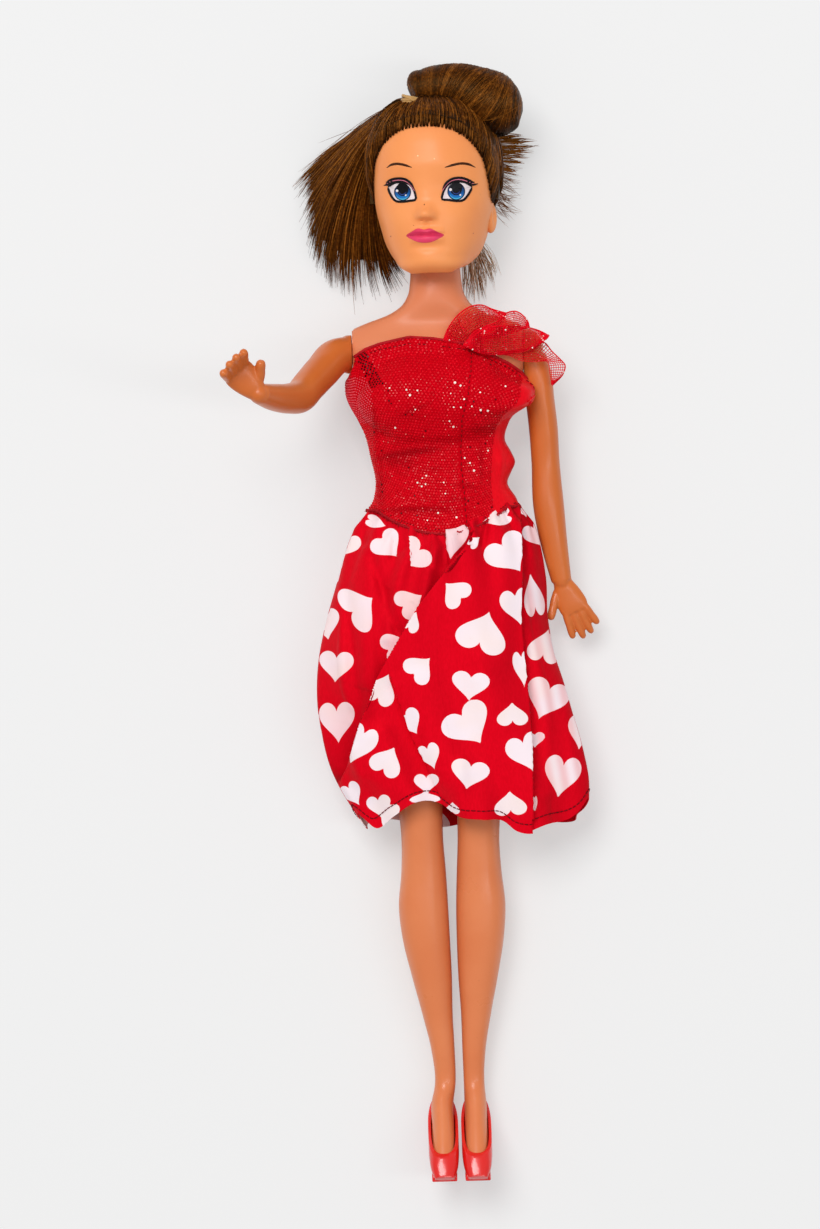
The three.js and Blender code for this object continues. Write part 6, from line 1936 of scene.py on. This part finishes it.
def skirt_grid(rows, columns):
    """The skirt's cloth: gathered at the waist, with a wavy hem."""
    share = (np.linspace(0, 1, rows) ** 1.12)[:, None]
    turn = np.linspace(-math.pi / 2, 1.5 * math.pi, columns + 1)[None, :]
    table = through(SKIRT_ROWS[:, 0], SKIRT_ROWS[:, 1:], np.clip(share[:, 0], 0.03, 1))
    left, right, top, lift = [column[:, None] for column in table.T]
    middle, half = (left + right) / 2 * SKIRT_WIDTH, (right - left) / 2 * SKIRT_WIDTH
    flat_turn, above = turn[0], np.sin(turn[0])
    across, rise = oval(1, 1, 1, SKIRT_POWER, turn)
    wave = 1.3 * share * np.cos(9 * turn + 1.6 * share * math.pi)
    x = middle + across * (half + wave)
    low = lift * BODY_HEIGHT
    depth = np.where(rise > 0, top * SKIRT_HEIGHT - BODY_HEIGHT + wave, BODY_HEIGHT - low + 0.1)
    z = np.maximum(BODY_HEIGHT + rise * depth, low)
    begin_y = np.full(columns + 1, 20.0)
    for _ in range(5):
        waist = bodice_surface(begin_y, flat_turn, 0.1)
        begin_y = np.where(above > 0, waist_seam(waist[:, 0]) + 1.7, 22.0)
    waist[:, 0] *= 0.95
    begin = (np.clip(share / 0.075, 0, 1)) ** 0.45
    x = waist[None, :, 0] * (1 - begin) + x * begin
    z = waist[None, :, 2] * (1 - begin) + z * begin
    front_hem = through(SKIRT_HEM[:, 0], SKIRT_HEM[:, 1:], np.clip(x[-1], -33, 38))[..., 0]
    back_hem = -64.5 + 1.6 * np.cos(5 * flat_turn) + 0.02 * x[-1]
    blend = np.clip((above + 0.25) / 0.4, 0, 1)
    hem = back_hem * (1 - blend) + front_hem * blend
    y = begin_y[None] * (1 - share) + hem[None] * share
    gather = np.exp(-share * 8) * np.clip(share / 0.02, 0, 1)
    pleat = np.cos(21 * turn + 1.7 * np.sin(3 * turn)) * gather * 0.8
    turn = np.broadcast_to(turn, pleat.shape)
    out = unit(np.stack([np.cos(turn), np.zeros(turn.shape), np.sin(turn)], axis=-1))
    return np.stack([x, y, z], axis=-1) + out * pleat[..., None], turn


def fold_cloth(grid):
    """Lay the front's pleats: one side passes over the other along each fold line."""
    sides = {}
    for name, line in FOLDS.items():
        x, y, z = grid[..., 0], grid[..., 1], grid[..., 2]
        front = np.clip((z - 17) / 5, 0, 1)
        side, along, square = to_line(x, y, line)
        sides[name] = side
        side, square = side * FOLD_SIDE[name], square * FOLD_SIDE[name]
        ends = np.clip(along / 0.12, 0, 1) * np.clip((1.001 - along) / 0.1, 0, 1)
        if name == "B":
            ends = np.clip(along / 0.05, 0, 1)
        if name in "DE":
            ends = np.clip((1.001 - along) / 0.6, 0, 1)
        depth = FOLD_DEPTH[name] * ends * front
        tuck, under = 2.6 * depth / 2, 1.7 * depth / 2
        inside = np.clip(-side / np.maximum(tuck, 1e-6), 0, 1)
        beyond = np.maximum(-side - tuck, 0)
        shift = np.where(side >= 0, 0, np.where(-side < tuck, (under + tuck) * inside,
                                                (under + tuck) * np.exp(-beyond / 12)))
        raised = np.where(side >= 0, depth * np.exp(-np.maximum(side, 0) / 9), depth * (1 - inside))
        lowered = np.where(side < 0, 0.35 * depth * inside * np.exp(-beyond / 8), 0)
        grid[..., 0] += shift * square[..., 0]
        grid[..., 1] += shift * square[..., 1]
        grid[..., 2] += raised - lowered
    return sides


# the line, width and height of each soft fold
SOFT_FOLDS = [
    ([(-19.5, 12), (-22.5, -2), (-23.5, -20), (-24.5, -34)], 2.6, 1.3),
    ([(-29, 6), (-30.5, -10), (-31, -30)], 2.2, 1.1),
    ([(-12.5, 9), (-15, 0), (-18.5, -12)], 1.8, 1.0), ([(-4.5, 12), (-7.5, 3), (-11, -6)], 1.5, 1.1),
    ([(27, -8), (28.5, -30), (30, -56)], 2.4, 1.2), ([(24, 15), (26.5, 4), (26, -8)], 1.6, 1.2),
    ([(9, -20), (10, -40), (10.5, -60)], 5, 1.0), ([(-19, -40), (-14, -52), (-11, -58)], 3, 1.2),
    ([(15.5, 14), (15.8, 0), (15.4, -20)], 3.2, 0.7), ([(33.5, -35), (35, -55)], 1.6, 0.9),
    ([(-27, -44), (-24, -56)], 1.8, 1.0), ([(3, -48), (2.5, -60)], 2.0, 0.6),
    ([(-14.8, 16.5), (-15.6, 8.7)], 0.8, -1.1), ([(-6.8, 15), (-6.3, 7.3)], 0.8, -1.0),
    ([(-2, 15), (-2.5, 7.7)], 0.7, -0.9), ([(6, 16.5), (7.9, 11)], 0.9, -1.3),
    ([(12.3, 18), (10.3, 10.3)], 0.9, -0.9), ([(16.5, 20), (18.5, 15.2)], 0.8, -1.0),
    ([(-20, 19.5), (-22.6, 12.5)], 0.9, -1.1), ([(23.3, 19.5), (24, 11.1), (24.5, 7.6)], 0.9, -1.3),
    ([(-20.6, 8.3), (-17.9, -0.7), (-16.4, -9.7)], 1.3, -0.9), ([(-27.5, 0), (-27, -16), (-28, -34)], 1.6, -0.9),
]


def heart_outline(count=56):
    """A heart of height one that points down."""
    t = np.linspace(0, 2 * math.pi, count, endpoint=False)
    x = 16 * np.sin(t) ** 3
    y = 13 * np.cos(t) - 5 * np.cos(2 * t) - 2 * np.cos(3 * t) - np.cos(4 * t)
    return np.column_stack([x, y + 2.5]) / 29


def heart_depth(x, y, hearts, sides):
    """How far each place lies inside the nearest printed heart, in millimetres, or how far outside."""
    best = np.full(x.shape, -2.0)
    shape = heart_outline()
    for centre_x, centre_y, size, tip, width, clip in hearts:
        size *= 0.94
        near = (np.abs(x - centre_x) < size * max(width, 1)) & (np.abs(y - centre_y) < size * max(width, 1))
        if not near.any():
            continue
        angle = math.radians(tip + 90)
        outline = shape * [size * width, size]
        outline = outline @ np.array([[math.cos(angle), math.sin(angle)], [-math.sin(angle), math.cos(angle)]])
        outline += [centre_x, centre_y]
        spots = np.stack([x[near], y[near]], axis=1)
        start, end = outline, np.roll(outline, -1, axis=0)
        run = end - start
        gap = spots[:, None] - start
        share = np.clip((gap * run).sum(-1) / (run ** 2).sum(-1), 0, 1)
        distance = np.linalg.norm(gap - share[..., None] * run, axis=-1).min(axis=1)
        crossing = ((start[:, 1] > spots[:, None, 1]) != (end[:, 1] > spots[:, None, 1])) & (
            spots[:, None, 0] < run[:, 0] * (spots[:, None, 1] - start[:, 1]) / (run[:, 1] + 1e-12) + start[:, 0])
        depth = np.where(crossing.sum(axis=1) % 2 == 1, distance, -distance)
        for fold, side in zip(clip[::2], clip[1::2]):
            depth = np.minimum(depth, sides[fold][near] * (1 if side == ">" else -1))
        best[near] = np.maximum(best[near], depth)
    return best


def back_hearts(chance):
    """Hearts strewn over the cloth that lies on the table."""
    found = []
    for _ in range(900):
        spot = chance.uniform([-58, -64], [58, 20])
        if all((spot[0] - h[0]) ** 2 + (spot[1] - h[1]) ** 2 > 130 for h in found):
            found.append((*spot, chance.uniform(7.5, 12.5), chance.uniform(0, 360), 1.0, ""))
    return found


def heart_print_finish(context):
    """Red satin with printed hearts, with painted shade in its folds and painted pink bounce light on the hearts there.
    """
    dress = context.scene.doll_dress
    red, white = tuple(dress.satin), tuple(dress.heart)
    finish = Finish("heart_satin", red, 0.55, Specular_IOR_Level=0.12, Specular_Tint=(1, 0.1, 0.12, 1))
    weave = finish.noise(2200, 2, (1, 0.3, 1))
    ground = finish.mix(finish.span(weave, 0.35, 0.65), toned(red, 0.96, 0.9, 0.9), toned(red, 1.05, 1.1, 1.1))
    # Painted shade: the red is drawn darker where the shade attribute is high.
    ground = finish.mix(finish.attribute("shade"), ground, darker(red, 0.36))
    print_colour = finish.mix(finish.span(finish.noise(70, 2), 0.42, 0.66), white, paint(255, 236, 234))
    # Painted bounce light: hearts in shaded folds are drawn pink, as if lit by the red cloth round them.
    print_colour = finish.mix(finish.attribute("painted_bounce"), print_colour, paint(246, 170, 172))
    edge = finish.span(finish.attribute("heart"), -0.05, 0.05)
    finish.colour(finish.mix(edge, ground, print_colour))
    finish.patchy(160, 3, 0.45, 0.6)
    finish.bump(weave, 0.03, 0.4)
    return finish


def skirt_marks(grid, turn, sides):
    """For each point of the cloth: its depth in a printed heart, the painted pink bounce light on the print, and the
    painted shade of the red.
    """
    x, y = grid[..., 0], grid[..., 1]
    normals = outward_normals(grid)
    round_way = np.linalg.norm(np.diff(grid, axis=1), axis=2).cumsum(axis=1)
    round_way = np.concatenate([np.zeros((len(grid), 1)), round_way], axis=1)
    unrolled = np.where(turn > math.pi / 2, round_way - round_way[:, -1:], round_way)
    steep = (np.abs(np.cos(turn)) > 0.93) & (normals[..., 2] < 0.3)
    is_front = (np.sin(turn) > 0.02) & ~steep
    rear_hearts = back_hearts(np.random.default_rng(8))
    depth = np.where(is_front, heart_depth(x, y, HEARTS, sides), heart_depth(unrolled, y, rear_hearts, sides))
    # Painted red bounce and shade on the hearts: the print turns pink on the low side of fold A and in stripes beyond
    # fold B.
    shade = np.where(sides["A"] < 0, 0.75 * np.exp(sides["A"] / 9), 0)
    shade = np.where(sides["B"] > 0, 0.55 * (0.55 + 0.45 * np.sin(x * 1.5 + y * 0.25)), shade)
    painted_bounce = np.where(is_front, np.clip(shade, 0, 0.9), 0.1)
    # Painted shade on the red: darker where the cloth slopes to the sides, more on the side away from the key lamp, in
    # the tucks beside folds A and B, in stripes along the gathers under the waist, and evenly on the cloth under the
    # doll.
    slope = np.clip(normals[..., 0] - 0.06, 0, 1) + 0.5 * np.clip(-normals[..., 0] - 0.25, 0, 1)
    tucked = 0.8 * np.exp(-np.abs(np.minimum(sides["A"], 0)) / 3.5) * (sides["A"] < 0) * (y < 14)
    tucked = np.maximum(tucked, 0.4 * np.exp(-np.abs(sides["B"]) / 2.2) * (sides["B"] > 0))
    gathers = 0.45 * np.exp(-(y.max(axis=0, keepdims=True) - y) / 5)
    dark = np.where(is_front, np.clip(0.6 * slope + tucked + gathers * (0.5 + 0.5 * np.sin(x * 2.3)), 0, 1), 0.2)
    return {"heart": depth, "painted_bounce": painted_bounce, "shade": dark}


def build_skirt(context):
    columns = 400
    grid, turn = skirt_grid(150, columns)
    for line, width, height in SOFT_FOLDS:
        front = np.clip((grid[..., 2] - 17) / 5, 0, 1)
        distance = to_line(grid[..., 0], grid[..., 1], np.array(line, float))[0]
        grid[..., 2] += front * height * np.exp(-(distance / width) ** 2)
    sides = fold_cloth(grid)
    covers = (np.sin(turn) > 0.02) & (grid[..., 1] > 2)
    body = torso_front(grid[..., 0], np.maximum(grid[..., 1], 2), 0.4)
    grid[..., 2] = np.maximum(grid[..., 2], np.where(covers, body, 0.45))
    marks = skirt_marks(grid, turn, sides)
    finish = heart_print_finish(context)
    thread = Finish("hem_thread", tuple(context.scene.doll_dress.thread), 0.6, Specular_IOR_Level=0.1)
    thread.mottle(1500, 2, paint(70, 2, 10), paint(140, 10, 24))
    half = columns // 2
    for name, low, high, leg, under in (("skirt_left_half", 0, half, "left_leg", 0),
                                        ("skirt_right_half", half, columns, "right_leg", 14)):
        span = np.arange(low - under, high + 1 + under)
        part = grid[:, span % columns].copy()
        if under:
            inward = outward_normals(part)
            beyond = np.maximum(np.maximum(low - span, span - high), 0)
            part -= inward * np.minimum(beyond, 2)[None, :, None] * 0.28
            part[..., 2] = np.maximum(part[..., 2], 0.45)
        piece = cloth(name, part, 0.28)
        for label, values in marks.items():
            write_attribute(piece, label, np.tile(values[:, span % columns].ravel(), 2))
        finish.on(piece)
        stitches = hem_thread(part, name.replace("skirt", "hem"))
        thread.on(stitches)
        for made in (piece, stitches):
            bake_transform(made)
        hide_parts("skirt")


def hem_thread(part, name):
    """The row of stitches a little above the hem."""
    thread = Locks(71)
    line, normals = part[-5], outward_normals(part)[-5]
    place = lengths_along(line)
    number = int(place[-1] / 1.3)
    for index in range(number):
        spots = np.linspace((index + 0.1) / number, (index + 0.85) / number, 4) * place[-1]
        path = on_line(spots, place, line) + on_line(spots, place, normals) * 0.1
        thread.add(path[None], 0.15, 0.5, 5)
    return thread.finished(name)


# Ruffle

# root line and free edge in the photograph's pixels, height at both ends, plies, thread spacing, waves
RUFFLE_LAYERS = [
    ([(443.7, 341), (452.9, 342), (463.6, 342.3), (475.8, 332), (495.6, 321), (506, 317.5)],
     [(443.7, 340), (446.8, 331.6), (454.4, 319.4), (465.1, 309.5), (474.3, 305.7), (482.7, 305.4), (491.1, 308.7),
      (506.3, 313.2)], 25.6, 24.6, 2, 0.62, 2),
    ([(465.1, 344.2), (480.4, 341), (506.3, 335), (528, 328)],
     [(465.1, 343.4), (475.8, 330.9), (486.5, 326.3), (497.2, 321.7), (507.9, 312.6), (515.5, 311.5), (523.1, 315.6),
      (528.5, 322.5), (529.2, 327.8)], 27, 26, 2, 0.55, 3),
    ([(463.9, 345.6), (481.9, 353.8), (494.1, 354.6), (509.4, 353), (521.6, 352.3), (530.8, 348.4), (539.9, 343.9),
      (547, 338.6)],
     [(463.9, 344.4), (488, 327.8), (506.3, 326.3), (527.7, 327.8), (539.9, 330.9), (549, 335.6)], 28.4, 26.4, 2, 0.5,
     3),
    ([(494.1, 354.8), (509.4, 355.6), (520.1, 360.6), (533.8, 362.2), (547.6, 362.2), (549.8, 372.9), (552, 384.6)],
     [(497, 352), (521.6, 350), (533.8, 347.7), (543.7, 342.3), (552.1, 351.5), (561.3, 360.6), (565.1, 365.2),
      (563.6, 372.9), (552.8, 385.2)], 27, 20.5, 1, 0.8, 1.5),
]


def spread_line(pixels, count, heights):
    """Evenly spaced places in millimetres along a line given in the photograph's pixels."""
    pixels = np.asarray(pixels, float)
    place = lengths_along(pixels)
    line = through(place, pixels, np.linspace(0, place[-1], count))
    return np.array([(*camera_point(px, py, z), z) for (px, py), z in zip(line, heights)])


NET_COLUMNS = 46


def net_grid(low, high, first, last, spacing, waves, ply, net_spacing):
    """One ply of the net, in rows from its root line to its free edge, and how wide it is."""
    heights = np.linspace(first, last, NET_COLUMNS) - 0.5 * ply
    bottom, top = spread_line(low, NET_COLUMNS, heights), spread_line(high, NET_COLUMNS, heights - 1.2)
    tall = np.linalg.norm(top - bottom, axis=1).max()
    wide = np.linalg.norm(np.diff((top + bottom) / 2, axis=0), axis=1).sum()
    rows, turns = max(int(tall / spacing), 4), max(int(wide / net_spacing), 8)
    share = np.linspace(0, 1, rows)[:, None, None]
    grid = (bottom[None] * (1 - share) + top[None] * share).transpose(1, 0, 2).reshape(NET_COLUMNS, -1)
    grid = through(np.arange(NET_COLUMNS), grid, np.linspace(0, NET_COLUMNS - 1, turns))
    grid = grid.reshape(turns, rows, 3).transpose(1, 0, 2)
    place, share = np.linspace(0, 1, turns)[None, :], share[..., 0]
    grid[..., 2] += 0.6 * np.sin(place * waves * 2 * math.pi + ply * 1.3) * np.sin(share * 2.2)
    grid[..., 2] += 0.8 * np.sin(share * math.pi)
    if ply:
        grid[:, :-1] += (grid[:, 1:] - grid[:, :-1]) * 0.5
    return grid, wide


def build_ruffle(context):
    """The gathered net over one shoulder, in layers, with corded edges."""
    dress = context.scene.doll_dress
    net = tuple(dress.net)
    tulle = Finish("tulle", net, 0.5, Specular_IOR_Level=0.15, Specular_Tint=(1, 0.2, 0.2, 1))
    tulle.mottle(240, 3, darker(net, 0.8), toned(net, 1.1, 1.4, 1.2))
    tulle.patchy(900, 2, 0.4, 0.6)
    layers, specks, ways, area, long = [], [], [], 0, 0
    chance = np.random.default_rng(3)
    cords = Locks(91)
    for low, high, first, last, plies, spacing, waves in RUFFLE_LAYERS:
        for ply in range(plies):
            grid, wide = net_grid(low, high, first, last, spacing, waves, ply, dress.net_spacing / MM)
            rows, turns = grid.shape[:2]
            layer = new_piece("net", grid.reshape(-1, 3), ring_faces(rows, turns, wrap=False))
            modify(layer, "WIREFRAME", thickness=dress.net_thread, use_replace=True, use_even_offset=False)
            layers.append(layer)
            area += sheet_area(grid)
            long = max(long, wide)
            if not ply:
                edge = np.concatenate([grid[:, 0], grid[-1], grid[::-1, -1]])
                cords.add(edge[None], 0.2, 0.5, 6)
                for line in np.linspace(2, turns - 3, max(int(turns / 7), 3)).astype(int):
                    cords.add(grid[None, :, line], 0.13, 0.5, 5)
            number = int(rows * turns / 6)
            u, v = chance.uniform(0, turns - 1, number), chance.uniform(0, rows - 1, number)
            specks.append(at_places(grid, v, u))
            ways.append(unit(at_places(grid_normals(grid), v, u)))
    ruffle = merge(layers + [cords.finished("cords")], "net_ruffle")
    tulle.on(ruffle)
    spots, normals = np.concatenate(specks), np.concatenate(ways)
    normals *= np.sign(normals[:, 2:3] + 1e-9)
    red = np.array(paint(232, 26, 52))
    colours = red * chance.uniform(0.7, 1.3, (len(spots), 1))
    bright = chance.random(len(spots))
    colours[bright < 0.16] = paint(250, 120, 120)
    colours[bright < 0.06] = paint(255, 236, 226)
    size = np.where(bright < 0.06, 0.22, chance.uniform(0.1, 0.2, len(spots)))
    glitter = scatter_discs("ruffle_glitter", spots + normals * 0.18, normals, size, 0.08,
                            np.clip(colours, 0, 1), 0.3, chance)
    shine = Finish("glitter", paint(255, 120, 120), 0.35, Specular_IOR_Level=0.2)
    shine.colour(shine.attribute("paint", "Color"))
    shine.patchy(700, 2, 0.2, 0.45)
    shine.on(glitter)
    for piece in (ruffle, glitter):
        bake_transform(piece)
    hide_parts("shoulder_ruffle")


# Operators, panel and the run

class DOLL_OT_stage(bpy.types.Operator):
    """Set up the table, the lamps and the overhead camera"""
    bl_idname = "doll.stage"
    bl_label = "Stage"
    bl_options = {"REGISTER", "UNDO"}

    def execute(self, context):
        build_stage(context)
        return {"FINISHED"}


class DOLL_OT_torso(bpy.types.Operator):
    """Mould the two shells of the torso"""
    bl_idname = "doll.torso"
    bl_label = "Torso"
    bl_options = {"REGISTER", "UNDO"}

    def execute(self, context):
        build_torso(context)
        return {"FINISHED"}


class DOLL_OT_arms(bpy.types.Operator):
    """Mould both arms with their hands"""
    bl_idname = "doll.arms"
    bl_label = "Arms"
    bl_options = {"REGISTER", "UNDO"}

    def execute(self, context):
        build_arms(context)
        return {"FINISHED"}


class DOLL_OT_legs(bpy.types.Operator):
    """Mould both legs"""
    bl_idname = "doll.legs"
    bl_label = "Legs"
    bl_options = {"REGISTER", "UNDO"}

    def execute(self, context):
        build_legs(context)
        return {"FINISHED"}


class DOLL_OT_pumps(bpy.types.Operator):
    """Mould both pumps"""
    bl_idname = "doll.pumps"
    bl_label = "Pumps"
    bl_options = {"REGISTER", "UNDO"}

    def execute(self, context):
        build_pumps(context)
        return {"FINISHED"}


class DOLL_OT_head(bpy.types.Operator):
    """Mould the head and paint its face"""
    bl_idname = "doll.head"
    bl_label = "Head"
    bl_options = {"REGISTER", "UNDO"}

    def execute(self, context):
        build_head(context)
        return {"FINISHED"}


class DOLL_OT_hair(bpy.types.Operator):
    """Root the cap, wind the roll, band the fan and lay the wisps"""
    bl_idname = "doll.hair"
    bl_label = "Hair"
    bl_options = {"REGISTER", "UNDO"}

    def execute(self, context):
        build_hair(context)
        return {"FINISHED"}


class DOLL_OT_bodice(bpy.types.Operator):
    """Cut and stretch the bodice with its foil dots"""
    bl_idname = "doll.bodice"
    bl_label = "Bodice"
    bl_options = {"REGISTER", "UNDO"}

    def execute(self, context):
        build_bodice(context)
        return {"FINISHED"}


class DOLL_OT_skirt(bpy.types.Operator):
    """Gather the skirt with its printed hearts"""
    bl_idname = "doll.skirt"
    bl_label = "Skirt"
    bl_options = {"REGISTER", "UNDO"}

    def execute(self, context):
        build_skirt(context)
        return {"FINISHED"}


class DOLL_OT_ruffle(bpy.types.Operator):
    """Lay the net ruffle over the shoulder"""
    bl_idname = "doll.ruffle"
    bl_label = "Ruffle"
    bl_options = {"REGISTER", "UNDO"}

    def execute(self, context):
        build_ruffle(context)
        return {"FINISHED"}


OPERATORS = (DOLL_OT_stage, DOLL_OT_torso, DOLL_OT_arms, DOLL_OT_legs, DOLL_OT_pumps,
             DOLL_OT_head, DOLL_OT_hair, DOLL_OT_bodice, DOLL_OT_skirt, DOLL_OT_ruffle)
SETTINGS = {"doll_skin": DollSkin, "doll_hair": DollHair, "doll_dress": DollDress, "doll_stage": DollStage}


class DOLL_PT_pieces(bpy.types.Panel):
    """Buttons for each group of pieces, and the settings they read"""
    bl_label = "Fashion doll"
    bl_idname = "DOLL_PT_pieces"
    bl_space_type = "VIEW_3D"
    bl_region_type = "UI"
    bl_category = "Doll"

    def draw(self, context):
        for operator in OPERATORS:
            self.layout.operator(operator.bl_idname)
        for name, kind in SETTINGS.items():
            box = self.layout.box()
            for setting in kind.__annotations__:
                box.prop(getattr(context.scene, name), setting)


def register():
    for kind in (*SETTINGS.values(), *OPERATORS, DOLL_PT_pieces):
        bpy.utils.register_class(kind)
    for name, kind in SETTINGS.items():
        setattr(bpy.types.Scene, name, bpy.props.PointerProperty(type=kind))


def unregister():
    for name in SETTINGS:
        delattr(bpy.types.Scene, name)
    for kind in reversed((*SETTINGS.values(), *OPERATORS, DOLL_PT_pieces)):
        bpy.utils.unregister_class(kind)


def main():
    register()
    for operator in OPERATORS:
        getattr(bpy.ops.doll, operator.bl_idname.split(".")[1])()


if __name__ == "__main__":
    main()
